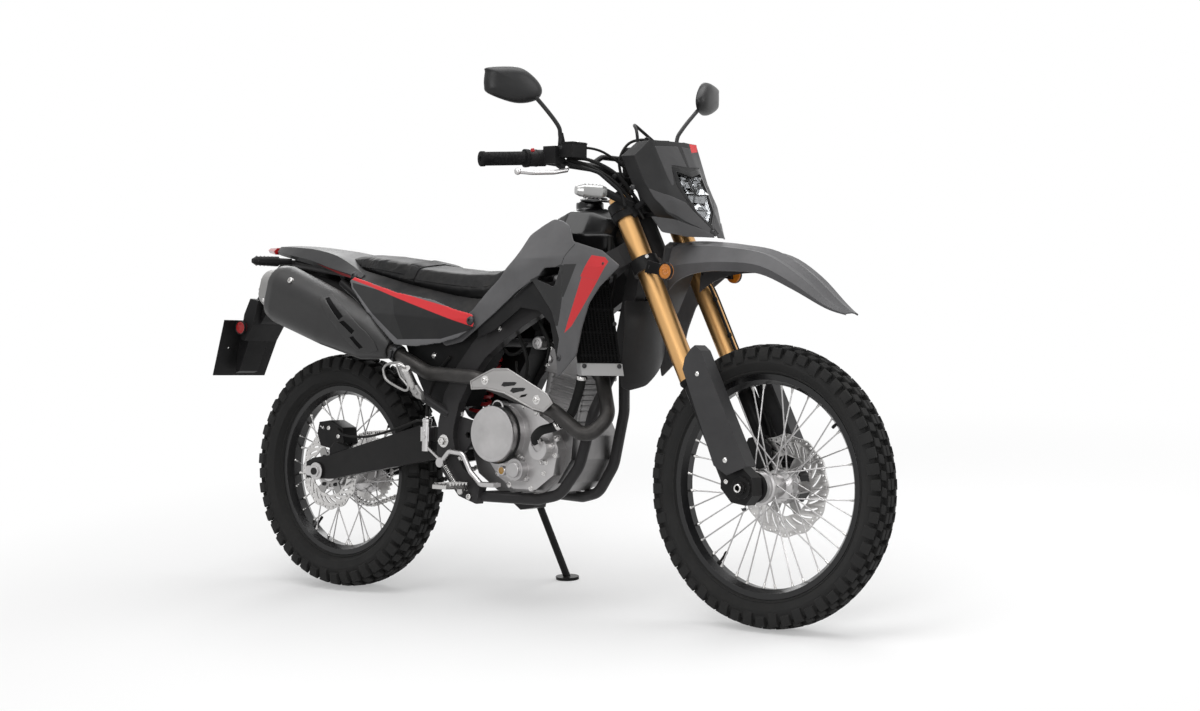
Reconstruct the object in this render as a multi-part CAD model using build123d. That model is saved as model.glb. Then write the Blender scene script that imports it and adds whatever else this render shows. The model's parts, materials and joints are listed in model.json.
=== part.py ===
"""Dual sport motorcycle, parked on its side stand, as an assembly of separate named pieces.

Everything is first built in the bike's own upright frame, in millimetres: X forward from the
rear axle, Y to the rider's left, Z up from the ground. The whole bike is then leaned over onto
its side stand, and its origin is moved to the bottom centre of the leaning bike's box.
"""

from build123d import *
import json
import os
from math import atan2, cos, pi, radians, sin, tan

# ---------------------------------------------------------------- driving dimensions, in mm
WHEELBASE = 1455.0
RAKE = 27.5                # steering axis from the vertical, in degrees
TRAIL = 109.0
LEAN = 10.0                # lean to the left on the side stand, in degrees

FRONT_TYRE_R = 348.0       # 80/100-21, out to the lugs' tips
FRONT_BEAD_R = 266.7
FRONT_RIM_HALF = 20.5
REAR_TYRE_R = 326.0        # 120/80-18
REAR_BEAD_R = 228.6
REAR_RIM_HALF = 27.5
CROWN_HALF = 13.0          # half width of the flat centre lugs of both treads
AXLE_R = 10.0
FRONT_AXLE_BORE_R = 6.5
RUNNING = 0.05             # radial clearance of a hub on its axle

FORK_HALF = 102.0          # fork tube centre from the bike's centre plane
CLAMP_OFFSET = 28.0        # fork tube centre ahead of the steering axis
FORK_TUBE_R = 27.0         # gold outer tube
FORK_LEG_R = 21.5          # inner tube
FORK_SPLIT = 590.0         # height on the axis where the inner tube leaves the outer one
LOW_CLAMP, TOP_CLAMP = 872.0, 1017.0   # clamp centres, heights on the axis

FRONT_DISC_R, FRONT_DISC_Y = 128.0, 62.0
REAR_DISC_R, REAR_DISC_Y = 110.0, -75.0
DISC_THICK = 4.0
CHAIN_PITCH = 15.875
REAR_TEETH, FRONT_TEETH = 40, 14
SPROCKET_R = CHAIN_PITCH / (2 * sin(pi / REAR_TEETH))
SMALL_SPROCKET_R = CHAIN_PITCH / (2 * sin(pi / FRONT_TEETH))
CHAIN_Y = 83.0             # chain line
CHAIN_WIDE = 15.0
SPAR_Y, SPAR_THICK = 140.0, 28.0       # frame beams beside the engine

PIVOT = (505.0, 428.0)                 # swingarm pivot, x and z
FRONT_SPROCKET = (572.0, 436.0)
STAND_PIVOT = Vector(546, 177, 264)
STAND_PIN_R = 6.0
STAND_DOWN = Vector(0.17, 0.36, -0.917).normalized()   # leg's direction when it is down
STAND_UP = Vector(-0.975, 0.13, -0.18).normalized()    # and when it is folded away
STAND_FOOT_THICK = 8.0

PLATE_CENTRE = Vector(-434, 0, 663)
PLATE_NORMAL = Vector(-0.930, 0, 0.367).normalized()
PLATE_HOLES = [PLATE_CENTRE + Vector(0, side, 0) for side in (-70, 70)]
PLATE_HOLE_R = 3.5

FRONT_AXLE = Vector(WHEELBASE, 0, FRONT_TYRE_R)
REAR_AXLE = Vector(0, 0, REAR_TYRE_R)
STEER_AXIS = Vector(-sin(radians(RAKE)), 0, cos(radians(RAKE)))
FLOOR_UP = Vector(0, -sin(radians(LEAN)), cos(radians(LEAN)))   # the floor's normal
FLOOR_LEVEL = -CROWN_HALF * sin(radians(LEAN))                  # its height along that normal
STAND_AXIS = STAND_DOWN.cross(STAND_UP).normalized()
SIDES = (-1, 1)            # right, left

parts = {}


# ---------------------------------------------------------------- helpers
def on_axis(height, ahead=0.0, side=0.0):
    """The point at that height on the steering axis, moved square to it and to the side."""
    x = WHEELBASE + TRAIL - height * tan(radians(RAKE))
    return Vector(x + ahead * cos(radians(RAKE)), side, height + ahead * sin(radians(RAKE)))


def on_fork(height, side):
    """The point at that height on one fork tube's centre line."""
    return on_axis(height, CLAMP_OFFSET, side * FORK_HALF)


def side_plate(points, y_low, y_high):
    """A plate between two Y values from its outline (x, z) in the side view."""
    face = make_face(Polyline(*[(x, y_low, z) for x, z in points], close=True))
    return extrude(face, amount=y_high - y_low, dir=(0, 1, 0))


def front_plate(points, x_low, x_high):
    """A plate between two X values from its outline (y, z) in the front view."""
    face = make_face(Polyline(*[(x_low, y, z) for y, z in points], close=True))
    return extrude(face, amount=x_high - x_low, dir=(1, 0, 0))


def rod(start, end, radius):
    """A round bar from start to end."""
    start, end = Vector(start), Vector(end)
    plane = Plane(origin=start, z_dir=(end - start))
    return extrude(plane * Circle(radius), amount=(end - start).length)


def across(x, z, y_low, y_high, radius):
    """A round bar across the bike."""
    return rod((x, y_low, z), (x, y_high, z), radius)


def pipe(points, radius, bends):
    """A round tube along straight runs joined by arcs, with one bend radius for each corner."""
    path = FilletPolyline(*points, radius=bends)
    return sweep(Plane(origin=path @ 0, z_dir=path % 0) * Circle(radius), path=path)


def both_sides(shape):
    """The shape and its mirror image across the bike's centre plane, as one node."""
    return Compound([*shape.solids(), *mirror(shape, about=Plane.XZ).solids()])


def joined(shape):
    """The shape fused with its mirror image across the bike's centre plane."""
    return shape + mirror(shape, about=Plane.XZ)


def turned(profile, centre):
    """A ring turned about the wheel's axle from its outline of (radius, y) points."""
    outline = Polyline(*[(r, y, 0) for r, y in profile], close=True)
    return revolve(make_face(outline), axis=Axis.Y).moved(Location(centre))


def round_wheel(sketch, centre, y_low, y_high):
    """A flat plate square to a wheel's axle from a sketch about the axle."""
    plane = Plane(origin=centre + Vector(0, y_high, 0), x_dir=(1, 0, 0), z_dir=(0, -1, 0))
    return extrude(plane * sketch, amount=y_high - y_low)


def body_along_x(table):
    """A ruled body through sections across the bike. Each row holds x and then its (half width,
    height) points from the bottom to the top on one side."""
    faces = []
    for x, *half in table:
        outline = [(x, y, z) for y, z in half]
        outline += [(x, -y, z) for y, z in reversed(half) if y > 0]
        faces.append(make_face(Polyline(*outline, close=True)))
    return loft(faces, ruled=True)


def skin_along_x(table, thick):
    """A bent panel's slab on the right side: each row holds x and then (half width, height)
    points of its outer face from the bottom to the top."""
    faces = []
    for x, *outer in table:
        outline = [(x, -y, z) for y, z in outer] + [(x, thick - y, z) for y, z in reversed(outer)]
        faces.append(make_face(Polyline(*outline, close=True)))
    return loft(faces, ruled=True)


def beam(table, thick):
    """A box section beam through rows (x, y, z, depth): as deep as its row says square to its
    run in the side view, and `thick` across the bike."""
    faces = []
    for i, (x, y, z, depth) in enumerate(table):
        before, after = table[max(i - 1, 0)], table[min(i + 1, len(table) - 1)]
        run = Vector(after[0] - before[0], 0, after[2] - before[2]).normalized()
        square = Vector(-run.Z, 0, run.X) * (depth / 2)
        centre = Vector(x, y, z)
        side = Vector(0, thick / 2, 0)
        corners = [centre + square + side, centre - square + side, centre - square - side,
                   centre + square - side]
        faces.append(make_face(Polyline(*corners, close=True)))
    return loft(faces, ruled=True)


def box(x_low, x_high, y_low, y_high, z_low, z_high):
    """A plain box between two corners."""
    size = (x_high - x_low, y_high - y_low, z_high - z_low)
    centre = ((x_high + x_low) / 2, (y_high + y_low) / 2, (z_high + z_low) / 2)
    return Box(*size).moved(Location(centre))


# ---------------------------------------------------------------- tyres
def ring_point(centre, count, step, radius, y):
    """A corner of a ring of flat sectors that touch a circle, the lowest one lying level."""
    angle = -pi / 2 + 2 * pi * (step - 0.5) / count
    reach = radius / cos(pi / count)
    return Vector(centre.X + reach * cos(angle), y, centre.Z + reach * sin(angle))


def knobbly_tyre(centre, count, half_profile, lug_bands):
    """A tyre as one closed skin of flat faces in `count` sectors.

    half_profile rows are (y, radius, lug_y, lug_radius) from the bead to the tread's centre;
    lug_bands gives, for a band of the whole profile, which sectors carry a lug (0 even, 1 odd).
    """
    rows = half_profile + [(-y, r, -lug_y, lug_r) for y, r, lug_y, lug_r in reversed(half_profile)]
    faces = []

    def face(*corners):
        faces.append(Face(Wire.make_polygon(corners, close=True)))

    def raised(band, step):
        return band in lug_bands and step % 2 == lug_bands[band]

    def corner(row, step, high):
        y, radius, lug_y, lug_radius = rows[row]
        if high:
            return ring_point(centre, count, step, lug_radius, lug_y)
        return ring_point(centre, count, step, radius, y)

    for step in range(count):
        last = len(rows) - 1
        face(corner(0, step, False), corner(0, step + 1, False),
             corner(last, step + 1, False), corner(last, step, False))
        for band in range(last):
            high = raised(band, step)
            face(corner(band, step, high), corner(band, step + 1, high),
                 corner(band + 1, step + 1, high), corner(band + 1, step, high))
            if not high:
                continue
            for row, beside in ((band, band - 1), (band + 1, band + 1)):
                if not raised(beside, step):
                    face(corner(row, step, False), corner(row, step + 1, False),
                         corner(row, step + 1, True), corner(row, step, True))
            for end in (step, step + 1):
                face(corner(band, end, False), corner(band + 1, end, False),
                     corner(band + 1, end, True), corner(band, end, True))
    return Solid(Shell(faces))


def tyres():
    """The two knobbly tyres; their rows run from the bead to the middle of the tread."""
    front_half = [(20.2, 266.7, 0, 0), (20.2, 275.3, 0, 0), (38.0, 301.0, 0, 0),
                  (38.5, 321.0, 42.0, 320.0), (33.0, 334.0, 38.0, 339.0),
                  (22.0, 339.5, 24.0, 345.0), (CROWN_HALF, 341.0, CROWN_HALF, FRONT_TYRE_R)]
    rear_half = [(27.2, 228.6, 0, 0), (27.2, 237.2, 0, 0), (58.0, 273.0, 0, 0),
                 (58.0, 294.0, 62.0, 293.0), (49.0, 309.0, 55.0, 314.5),
                 (33.0, 315.5, 35.0, 321.5), (26.0, 316.5, 25.0, 323.5),
                 (CROWN_HALF, 317.5, CROWN_HALF, REAR_TYRE_R)]
    # bands count across the whole tread from one bead to the other
    parts["front_tyre"] = knobbly_tyre(FRONT_AXLE, 54, front_half,
                                       {3: 1, 4: 1, 6: 0, 8: 1, 9: 1})
    parts["rear_tyre"] = knobbly_tyre(REAR_AXLE, 48, rear_half,
                                      {3: 1, 4: 1, 6: 0, 7: 0, 8: 0, 10: 1, 11: 1})


# ---------------------------------------------------------------- wheels
def rim(bead, half):
    """A spoked rim: two flanges, the bead seats and the well between them."""
    profile = [(bead + 8, half + 4), (bead + 8, half), (bead - 0.3, half)]
    profile += [(r, -y) for r, y in reversed(profile)]
    profile += [(bead - 6, -half - 4), (bead - 17, -half * 0.5), (bead - 17, half * 0.5),
                (bead - 6, half + 4)]
    return profile


def spokes(centre, hub_r, hub_y, rim_r, rim_y, count, lead):
    """Crossed wire spokes from both hub flanges to the rim's well."""
    made = []
    for flange in SIDES:
        for i in range(count // 2):
            turn = 360.0 * (i + 0.25 * flange) / (count // 2)
            way = 1 if i % 2 else -1
            hub_angle = radians(turn + way * lead)
            start = Vector(hub_r * cos(hub_angle), flange * (hub_y + 3 * way),
                           hub_r * sin(hub_angle))
            end = Vector(rim_r * cos(radians(turn)), flange * rim_y, rim_r * sin(radians(turn)))
            made.append(rod(start + centre, end + centre, 1.8))
    return made


def wheels():
    """Rims and hubs, each hub with its 36 spokes."""
    parts["front_rim"] = turned(rim(FRONT_BEAD_R, FRONT_RIM_HALF), FRONT_AXLE)
    parts["rear_rim"] = turned(rim(REAR_BEAD_R, REAR_RIM_HALF), REAR_AXLE)
    bore = AXLE_R + RUNNING
    disc_seat = FRONT_DISC_Y - DISC_THICK / 2
    # (radius, y) from the right end to the left end
    front = [(bore, -77.9), (15, -77.9), (15, -68), (36, -68), (39, -60), (39, -48), (44, -46),
             (44, -40), (30, -38), (42, -36), (42, -30), (28, -26), (28, 24), (42, 30), (42, 36),
             (34, 40), (43, 52), (43, disc_seat), (29, disc_seat), (29, 66), (15, 70), (15, 77.9),
             (bore, 77.9)]
    hub = turned(front, FRONT_AXLE)
    parts["front_hub"] = hub.fuse(*spokes(FRONT_AXLE, 36, 33, FRONT_BEAD_R - 17.6, 6, 36, 42))
    rear_seat = REAR_DISC_Y + DISC_THICK / 2
    sprocket_seat = CHAIN_Y - 3.5
    rear = [(bore, -97.9), (18, -97.9), (20, -86), (30, -82), (30, rear_seat), (54, rear_seat),
            (50, -62), (40, -56), (58, -50), (58, -42), (40, -36), (40, 36), (58, 42), (58, 50),
            (48, 54), (66, 60), (66, sprocket_seat), (40, sprocket_seat), (40, 88), (20, 92),
            (18, 97.9), (bore, 97.9)]
    hub = turned(rear, REAR_AXLE)
    parts["rear_hub"] = hub.fuse(*spokes(REAR_AXLE, 51, 46, REAR_BEAD_R - 17.6, 9, 36, 42))


def brake_disc(radius, inner, lobes, slot_low, slot_high):
    """A wave-edged brake disc with two rows of holes and slanted slots, drawn about its centre."""
    def at(reach, turn):
        return (reach * cos(turn), reach * sin(turn))

    step = 2 * pi / lobes
    valley = radius - 6
    edge = [ThreePointArc(at(valley, i * step), at(radius, (i + 0.5) * step),
                          at(valley, (i + 1) * step)) for i in range(lobes)]
    disc = make_face(Wire(edge)) - Circle(inner)
    cuts = []
    for i in range(lobes):
        middle = (i + 0.5) * step
        for turn, reach in ((-0.26, -8), (0.0, -7), (0.26, -8), (-0.5, -14.5)):
            cuts.append(Pos(*at(radius + reach, middle + turn * step)) * Circle(3.2))
        slot = [at(slot_low, middle - 0.30 * step), at(slot_low, middle + 0.10 * step),
                at(slot_high, middle + 0.42 * step), at(slot_high, middle + 0.08 * step)]
        cuts.append(make_face(Polyline(*slot, close=True)))
    return disc - cuts


def brakes_and_sprocket():
    """Both brake discs and the rear sprocket."""
    half = DISC_THICK / 2
    front = brake_disc(FRONT_DISC_R, 29.3, 12, 52, 104)
    parts["front_disc"] = round_wheel(front, FRONT_AXLE, FRONT_DISC_Y - half, FRONT_DISC_Y + half)
    rear = brake_disc(REAR_DISC_R, 30.3, 12, 60, 89)
    parts["rear_disc"] = round_wheel(rear, REAR_AXLE, REAR_DISC_Y - half, REAR_DISC_Y + half)
    # the teeth stay inside the chain's rollers
    tip, root = SPROCKET_R - 7.5, SPROCKET_R - 13
    points = []
    for i in range(REAR_TEETH):
        for turn, reach in ((-0.3, root), (-0.12, tip), (0.12, tip), (0.3, root)):
            angle = 2 * pi * (i + turn) / REAR_TEETH
            points.append((reach * cos(angle), reach * sin(angle)))
    windows = [Rot(0, 0, 72 * i) * Pos(73, 0) * RectangleRounded(16, 46, 7) for i in range(5)]
    sprocket = make_face(Polyline(*points, close=True)) - Circle(40.3) - windows
    parts["rear_sprocket"] = round_wheel(sprocket, REAR_AXLE, CHAIN_Y - 3.5, CHAIN_Y + 3.5)


def chain():
    """The drive chain as one loop around both sprockets, its side plates waisted at mid link."""
    rear, front = Vector(0, 0, REAR_TYRE_R), Vector(FRONT_SPROCKET[0], 0, FRONT_SPROCKET[1])
    span = front - rear
    slope = atan2(span.Z, span.X)
    lead = (SPROCKET_R - SMALL_SPROCKET_R) / span.length     # the two runs close in by this
    straight = span.length * cos(lead)
    runs = [straight, SMALL_SPROCKET_R * (pi - 2 * lead), straight, SPROCKET_R * (pi + 2 * lead)]
    links = round(sum(runs) / CHAIN_PITCH)

    def loop_point(distance, grow):
        top, low = slope + pi / 2 - lead, slope - pi / 2 + lead
        if distance < runs[0]:
            centre, radius, angle = rear, SPROCKET_R, top
            along = Vector(sin(top), 0, -cos(top)) * distance
        elif distance < runs[0] + runs[1]:
            centre, radius, along = front, SMALL_SPROCKET_R, Vector(0, 0, 0)
            angle = top - (distance - runs[0]) / SMALL_SPROCKET_R
        elif distance < runs[0] + runs[1] + runs[2]:
            centre, radius, angle = front, SMALL_SPROCKET_R, low
            along = Vector(sin(low), 0, -cos(low)) * (distance - runs[0] - runs[1])
        else:
            centre, radius, along = rear, SPROCKET_R, Vector(0, 0, 0)
            angle = low - (distance - runs[0] - runs[1] - runs[2]) / SPROCKET_R
        reach = radius + grow
        return (centre.X + reach * cos(angle) + along.X, centre.Z + reach * sin(angle) + along.Z)

    pitch = sum(runs) / links
    outer = [loop_point(i * pitch / 2, 7.0 if i % 2 == 0 else 5.2) for i in range(2 * links)]
    inner = [loop_point(i * pitch, -5.5) for i in range(links)
             if i * pitch > runs[0] or i % 9 == 0]
    y_low, y_high = CHAIN_Y - CHAIN_WIDE / 2, CHAIN_Y + CHAIN_WIDE / 2
    parts["chain"] = side_plate(outer, y_low, y_high) - side_plate(inner, y_low - 1, y_high + 1)


# ---------------------------------------------------------------- front fork
def fork():
    """Fork tubes, legs with their feet and the hollow axle, guards, and both yokes."""
    tubes, legs, guards = [], [], []
    foot_outline = [(1393, 404), (1446, 404), (1484, 374), (1487, 330), (1466, 306), (1424, 312),
                    (1392, 345)]
    guard_outline = [(1309, 681), (1322, 690), (1339, 677), (1482, 401), (1423, 378),
                     (1384, 400), (1285, 631), (1292, 660)]
    for side in SIDES:
        y = side * FORK_HALF
        tubes.append(rod(on_fork(FORK_SPLIT, side), on_fork(1043, side), FORK_TUBE_R)
                     + rod(on_fork(1043, side), on_fork(1049, side), FORK_TUBE_R - 4))
        leg = rod(on_fork(345, side), on_fork(FORK_SPLIT - 0.5, side), FORK_LEG_R)
        foot = side_plate(foot_outline, y - 20, y + 20) + across(WHEELBASE, FRONT_TYRE_R,
                                                               y - 24, y + 24, 27)
        legs.append(leg + foot)
        # the guard is a tray: its outer face and front edge are 4 mm thick and its back is open
        reach = [side * 141, side * 100]
        tray = side_plate(guard_outline, min(reach), max(reach))
        inner = [side * 137, side * 99]
        hollow = side_plate([(x - 4.5, z - 2.5) for x, z in guard_outline], min(inner), max(inner))
        sleeve = rod(on_fork(FORK_SPLIT - 4, side), on_fork(1040, side), FORK_TUBE_R + 1.5)
        guard = tray - hollow - sleeve - legs[-1]
        guards.append(max(guard.solids(), key=lambda s: s.volume))
    parts["fork_tubes"] = Compound([s for tube in tubes for s in tube.solids()])
    axle = rod(FRONT_AXLE + Vector(0, -140, 0), FRONT_AXLE + Vector(0, 132, 0), AXLE_R)
    nut = rod(FRONT_AXLE + Vector(0, -133, 0), FRONT_AXLE + Vector(0, -125, 0), 15)
    bore = rod(FRONT_AXLE + Vector(0, -141, 0), FRONT_AXLE + Vector(0, 133, 0),
               FRONT_AXLE_BORE_R)
    parts["fork_legs"] = legs[0] + legs[1] + axle + nut - bore
    parts["fork_guards"] = Compound(guards)

    low, top = on_axis(LOW_CLAMP), on_axis(TOP_CLAMP)
    yokes = rod(low, top, 13)
    for centre, thick in ((low, 36), (top, 26)):
        plane = Plane(origin=centre - STEER_AXIS * thick / 2, z_dir=STEER_AXIS, x_dir=(0, 1, 0))
        # local x is across the bike, local -y is ahead
        web = Polyline((-112, -60), (-44, -40), (44, -40), (112, -60), (112, 3), (62, 8),
                       (28, 20), (-28, 20), (-62, 8), (-112, 3), close=True)
        outline = make_face(web) + Circle(26)
        outline += [Pos(side * FORK_HALF, -CLAMP_OFFSET) * Circle(FORK_TUBE_R + 9)
                    for side in SIDES]
        outline -= [Pos(side * FORK_HALF, -CLAMP_OFFSET) * Circle(FORK_TUBE_R + 0.05)
                    for side in SIDES]
        outline -= [Pos(side * 52, -22) * RectangleRounded(34, 20, 6) for side in SIDES]
        yokes += extrude(plane * outline, amount=thick)
    parts["yokes"] = yokes + rod(top, on_axis(TOP_CLAMP + 26), 17)


def front_fender():
    """The high front fender, a thin peaked shell that steers, with its skirt behind the tyre."""
    # x, then (half width, height) of the edge, the fold above it, the shoulder and the ridge
    outer = [(1178, (66, 824), (70, 880), (52, 934), (0, 948)),
             (1215, (74, 850), (76, 888), (54, 936), (0, 950)),
             (1275, (78, 868), (80, 892), (54, 936), (0, 948)),
             (1360, (82, 872), (84, 894), (56, 930), (0, 940)),
             (1468, (82, 864), (84, 884), (56, 912), (0, 921)),
             (1560, (72, 826), (74, 842), (50, 862), (0, 870)),
             (1640, (50, 778), (52, 788), (36, 799), (0, 806)),
             (1683, (26, 756), (27, 764), (20, 770), (0, 774))]
    wall = 3.5
    inner = []
    for x, (edge, low), (fold, mid), (shoulder, high), (_, ridge) in outer:
        inner.append((x, (edge - wall, low - 14), (fold - wall, mid - 1),
                      (shoulder - wall, high - wall), (0, ridge - wall)))
    inner[0] = (1170, *inner[0][1:])
    inner[-1] = (1676, *inner[-1][1:])
    cover = body_along_x(outer) - body_along_x(inner)
    skirt_outline = [(1181, 946), (1165, 936), (1152, 868), (1112, 772), (1116, 770),
                     (1156, 866), (1169, 932), (1181, 940)]
    skirt = side_plate(skirt_outline, -66, 66)
    mount = side_plate([(1165, 925), (1200, 935), (1200, 946), (1160, 940)], -40, 40)
    fender = cover + skirt + mount - parts["yokes"]
    parts["front_fender"] = max(fender.solids(), key=lambda s: s.volume)


MASK_ROWS = [(0, (1148, 1203), (1202, 1096), (1240, 1026), (1276, 956)),
             (40, (1146, 1203), (1199, 1096), (1236, 1026), (1270, 957)),
             (92, (1138, 1202), (1176, 1100), (1208, 1040), (1222, 990)),
             (130, (1108, 1162), (1124, 1100), (1146, 1050), (1163, 1003))]


def mask_block(inset, depth):
    """The mask's full form, its faces moved in by inset and closed off at that depth behind."""
    faces = []
    rows = [(-y, *line) for y, *line in reversed(MASK_ROWS[1:])] + MASK_ROWS
    for y, top, upper, lower, bottom in rows:
        y_in = y - inset if y > 100 else y + inset if y < -100 else y
        front = [(top[0] - inset, y_in, top[1] - inset), (upper[0] - inset, y_in, upper[1]),
                 (lower[0] - inset, y_in, lower[1]),
                 (bottom[0] - inset, y_in, bottom[1] + inset)]
        back = [(x - depth, y_in, z) for x, y_in, z in (front[-1], front[0])]
        faces.append(make_face(Polyline(*front, *back, close=True)))
    return loft(faces, ruled=True)


def headlight():
    """The headlight mask, a thin shell, and the lamp in its notched opening."""
    mask = mask_block(0, 52) - mask_block(3.5, 90)
    opening = [(0, 1112), (50, 1124), (52, 1080), (34, 1018), (0, 986), (-34, 1018), (-52, 1080),
               (-50, 1124)]
    mask -= front_plate(opening, 1090, 1300)
    for side in SIDES:
        vent = [(side * y, z) for y, z in ((84, 1043), (118, 1021), (112, 1010), (74, 1018))]
        mask -= front_plate(vent, 1100, 1300)
    parts["headlight_mask"] = max(mask.solids(), key=lambda s: s.volume)
    inner = [(y * 0.965, 1055 + (z - 1055) * 0.97) for y, z in opening]
    lamp = (mask_block(9, 34)) & front_plate(inner, 1090, 1300)
    parts["headlamp"] = lamp


# ---------------------------------------------------------------- cockpit
BAR_END = Vector(855, -404, 1142)
BAR_BEND = Vector(906, -280, 1150)
BAR_R, GRIP_R = 11.1, 16.5
GRIP_LONG = 122.0


def mirror_head(side, centre, inward):
    """A mirror's head: its outline on the glass side, lofted to a smaller face ahead."""
    # (distance toward the bike's centre, height) about the head's centre
    outline = [(-76, 22), (-71, 34), (-2, 41), (34, 34), (70, 8), (82, -18), (62, -41),
               (8, -49), (-66, -30), (-78, -10)]
    turn = radians(inward)
    toward = Vector(sin(turn), -side * cos(turn), 0)
    ahead = Vector(cos(turn), side * sin(turn), 0)
    faces = []
    for depth, scale in ((0, 0.98), (9, 1.0), (22, 0.86), (31, 0.55)):
        points = [centre + toward * (u * scale) + ahead * depth + Vector(0, 0, v * scale)
                  for u, v in outline]
        faces.append(make_face(Polyline(*points, close=True)))
    return loft(faces, ruled=True)


def cockpit():
    """Handlebar, clamps, grips, controls, mirrors, instrument, stays and front signals."""
    centre_bar = on_axis(1085)
    right = [(centre_bar.X + 4, 0, 1106), (centre_bar.X + 4, -52, 1106), (1014, -118, 1128),
             tuple(BAR_BEND), tuple(BAR_END)]
    bar = joined(pipe(right, BAR_R, [30, 40, 90]))
    brace = pipe([(990, -148, 1138), (996, -112, 1160), (996, 112, 1160), (990, 148, 1138)], 7,
                 [24, 24])
    parts["handlebar"] = bar + brace
    for side in SIDES:
        foot = on_axis(TOP_CLAMP, 0, side * 40)
        riser = rod(foot, Vector(centre_bar.X + 4, side * 40, 1100), 15)
        riser += across(centre_bar.X + 4, 1106, side * 40 - 17, side * 40 + 17, 20)
        parts["yokes"] += riser - bar

    line = (BAR_END - BAR_BEND).normalized()
    grip_start = BAR_END - line * GRIP_LONG
    core = rod(BAR_BEND - line * 20, BAR_END, BAR_R)
    grip = rod(grip_start + line * 6, BAR_END + line * 3, GRIP_R)
    grip += rod(grip_start, grip_start + line * 6, 23) + rod(BAR_END - line * 5,
                                                          BAR_END + line * 4, 19)
    parts["grips"] = both_sides(grip - core)

    pod = rod(grip_start - line * 50, grip_start - line * 1, 21)
    pod += box(930, 970, -262, -224, 1136, 1180)
    perch = rod(grip_start - line * 56, grip_start - line * 72, 17)
    perch += rod(grip_start - line * 64, Vector(985, -236, 1122), 9)
    reservoir = box(968, 1012, -245, -190, 1152, 1186)
    controls = ((pod + perch + reservoir) - core) - bar
    lever_line = [(988, -238, 1120), (982, -280, 1112), (962, -340, 1108), (944, -372, 1110)]
    lever = pipe(lever_line, 5.5, [30, 60]) + Sphere(8.5).moved(Location(lever_line[-1]))
    parts["hand_controls"] = both_sides(controls)
    parts["levers"] = both_sides(lever - controls)

    # side, head's centre, head's turn toward the rider, stem's points from the bar to the head
    heads = [(-1, Vector(905, -356, 1330), 21,
              [(969, -236, 1160), (972, -246, 1204), (976, -262, 1232), (946, -300, 1290),
               (921, -330, 1318)]),
             (1, Vector(946, 378, 1354), 21,
              [(969, 236, 1160), (956, 246, 1228), (960, 266, 1262), (968, 316, 1312),
               (961, 352, 1340)])]
    mirrors = []
    for side, centre, inward, stem in heads:
        shape = pipe(stem, 5.5, [14, 14, 26]) + mirror_head(side, centre, inward)
        shape += rod(stem[0], Vector(stem[0]) + Vector(0, 0, 22), 9)
        mirrors += (shape - parts["hand_controls"]).solids()
    parts["mirrors"] = Compound(mirrors)

    screen = box(1038, 1068, -80, 80, 1112, 1186)
    parts["instrument"] = fillet(screen.edges().filter_by(Axis.X), 14)

    stay = []
    for side in SIDES:
        stalk = rod(on_fork(1020, side) + Vector(34, side * 6, 4), (1064, side * 178, 1067), 10)
        ring = rod(on_fork(988, side), on_fork(1004, side), FORK_TUBE_R + 8)
        tongue = rod(on_fork(996, side), (1132, side * 84, 1060), 8)
        post = rod(on_fork(996, side) + Vector(30, 0, 0), (1064, side * 140, 1067), 9)
        stay.append(ring + tongue + post + stalk)
    bridge = rod((1132, -84, 1060), (1132, 84, 1060), 8) + box(1070, 1140, -40, 40, 1052, 1068)
    holder = box(1068, 1078, -30, 30, 1060, 1140)
    lamp_stay = stay[0] + stay[1] + bridge + holder
    tubes = [rod(on_fork(800, side), on_fork(1080, side), FORK_TUBE_R + 0.05) for side in SIDES]
    lamp_stay -= tubes
    lamp_stay -= parts["instrument"]
    parts["lamp_stay"] = lamp_stay - parts["yokes"] - parts["handlebar"]
    root = Plane(origin=(1064, -178, 1067), z_dir=(-0.50, -0.86, 0.03), x_dir=(0.86, -0.50, 0))
    lens = loft([root * RectangleRounded(26, 24, 9), root.offset(14) * RectangleRounded(40, 32, 13),
                 root.offset(64) * RectangleRounded(36, 30, 12),
                 root.offset(78) * RectangleRounded(22, 20, 8)], ruled=True)
    parts["front_signals"] = both_sides(lens)
    parts["lamp_stay"] -= parts["front_signals"]
    reflectors = []
    for side in SIDES:
        reflectors.append(across(1229, 870, side * 140 - 4, side * 140 + 4, 21))
    parts["front_reflectors"] = Compound(reflectors)
    arms = []
    for side in SIDES:
        arms.append(side_plate([(1158, 868), (1168, 898), (1228, 884), (1230, 858)],
                               side * 132 - 3.95, side * 132 + 3.95))
        arms.append(rod(on_fork(LOW_CLAMP, side) + Vector(28, side * 18, 0),
                        (1176, side * 132, 880), 7))
    parts["yokes"] = (parts["yokes"] + arms) - tubes


def cables():
    """The control cables and the brake hose between the handlebar and the fork."""
    # radius, bend radius, points
    runs = [(4.0, 40, [(1010, -214, 1168), (1058, -150, 1160), (1096, -76, 1112),
                       (1112, -62, 1036)]),
            (4.0, 40, [(992, 228, 1132), (1010, 196, 1152), (1024, 124, 1182),
                       (1018, 44, 1224), (1030, -30, 1250), (1070, -64, 1228),
                       (1082, -70, 1150), (1090, -70, 1086)]),
            (4.5, 40, [(978, -222, 1140), (1040, -176, 1116), (1086, -143, 1068),
                       (1094, -136, 1034)])]
    made = []
    for radius, bend, points in runs:
        bends = [bend] * (len(points) - 2)
        cable = pipe(points, radius, bends)
        for name in ("hand_controls", "handlebar", "lamp_stay", "headlight_mask"):
            cable = cable - parts[name]
        made.append(max(cable.solids(), key=lambda s: s.volume))
    parts["cables"] = Compound(made)


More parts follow.
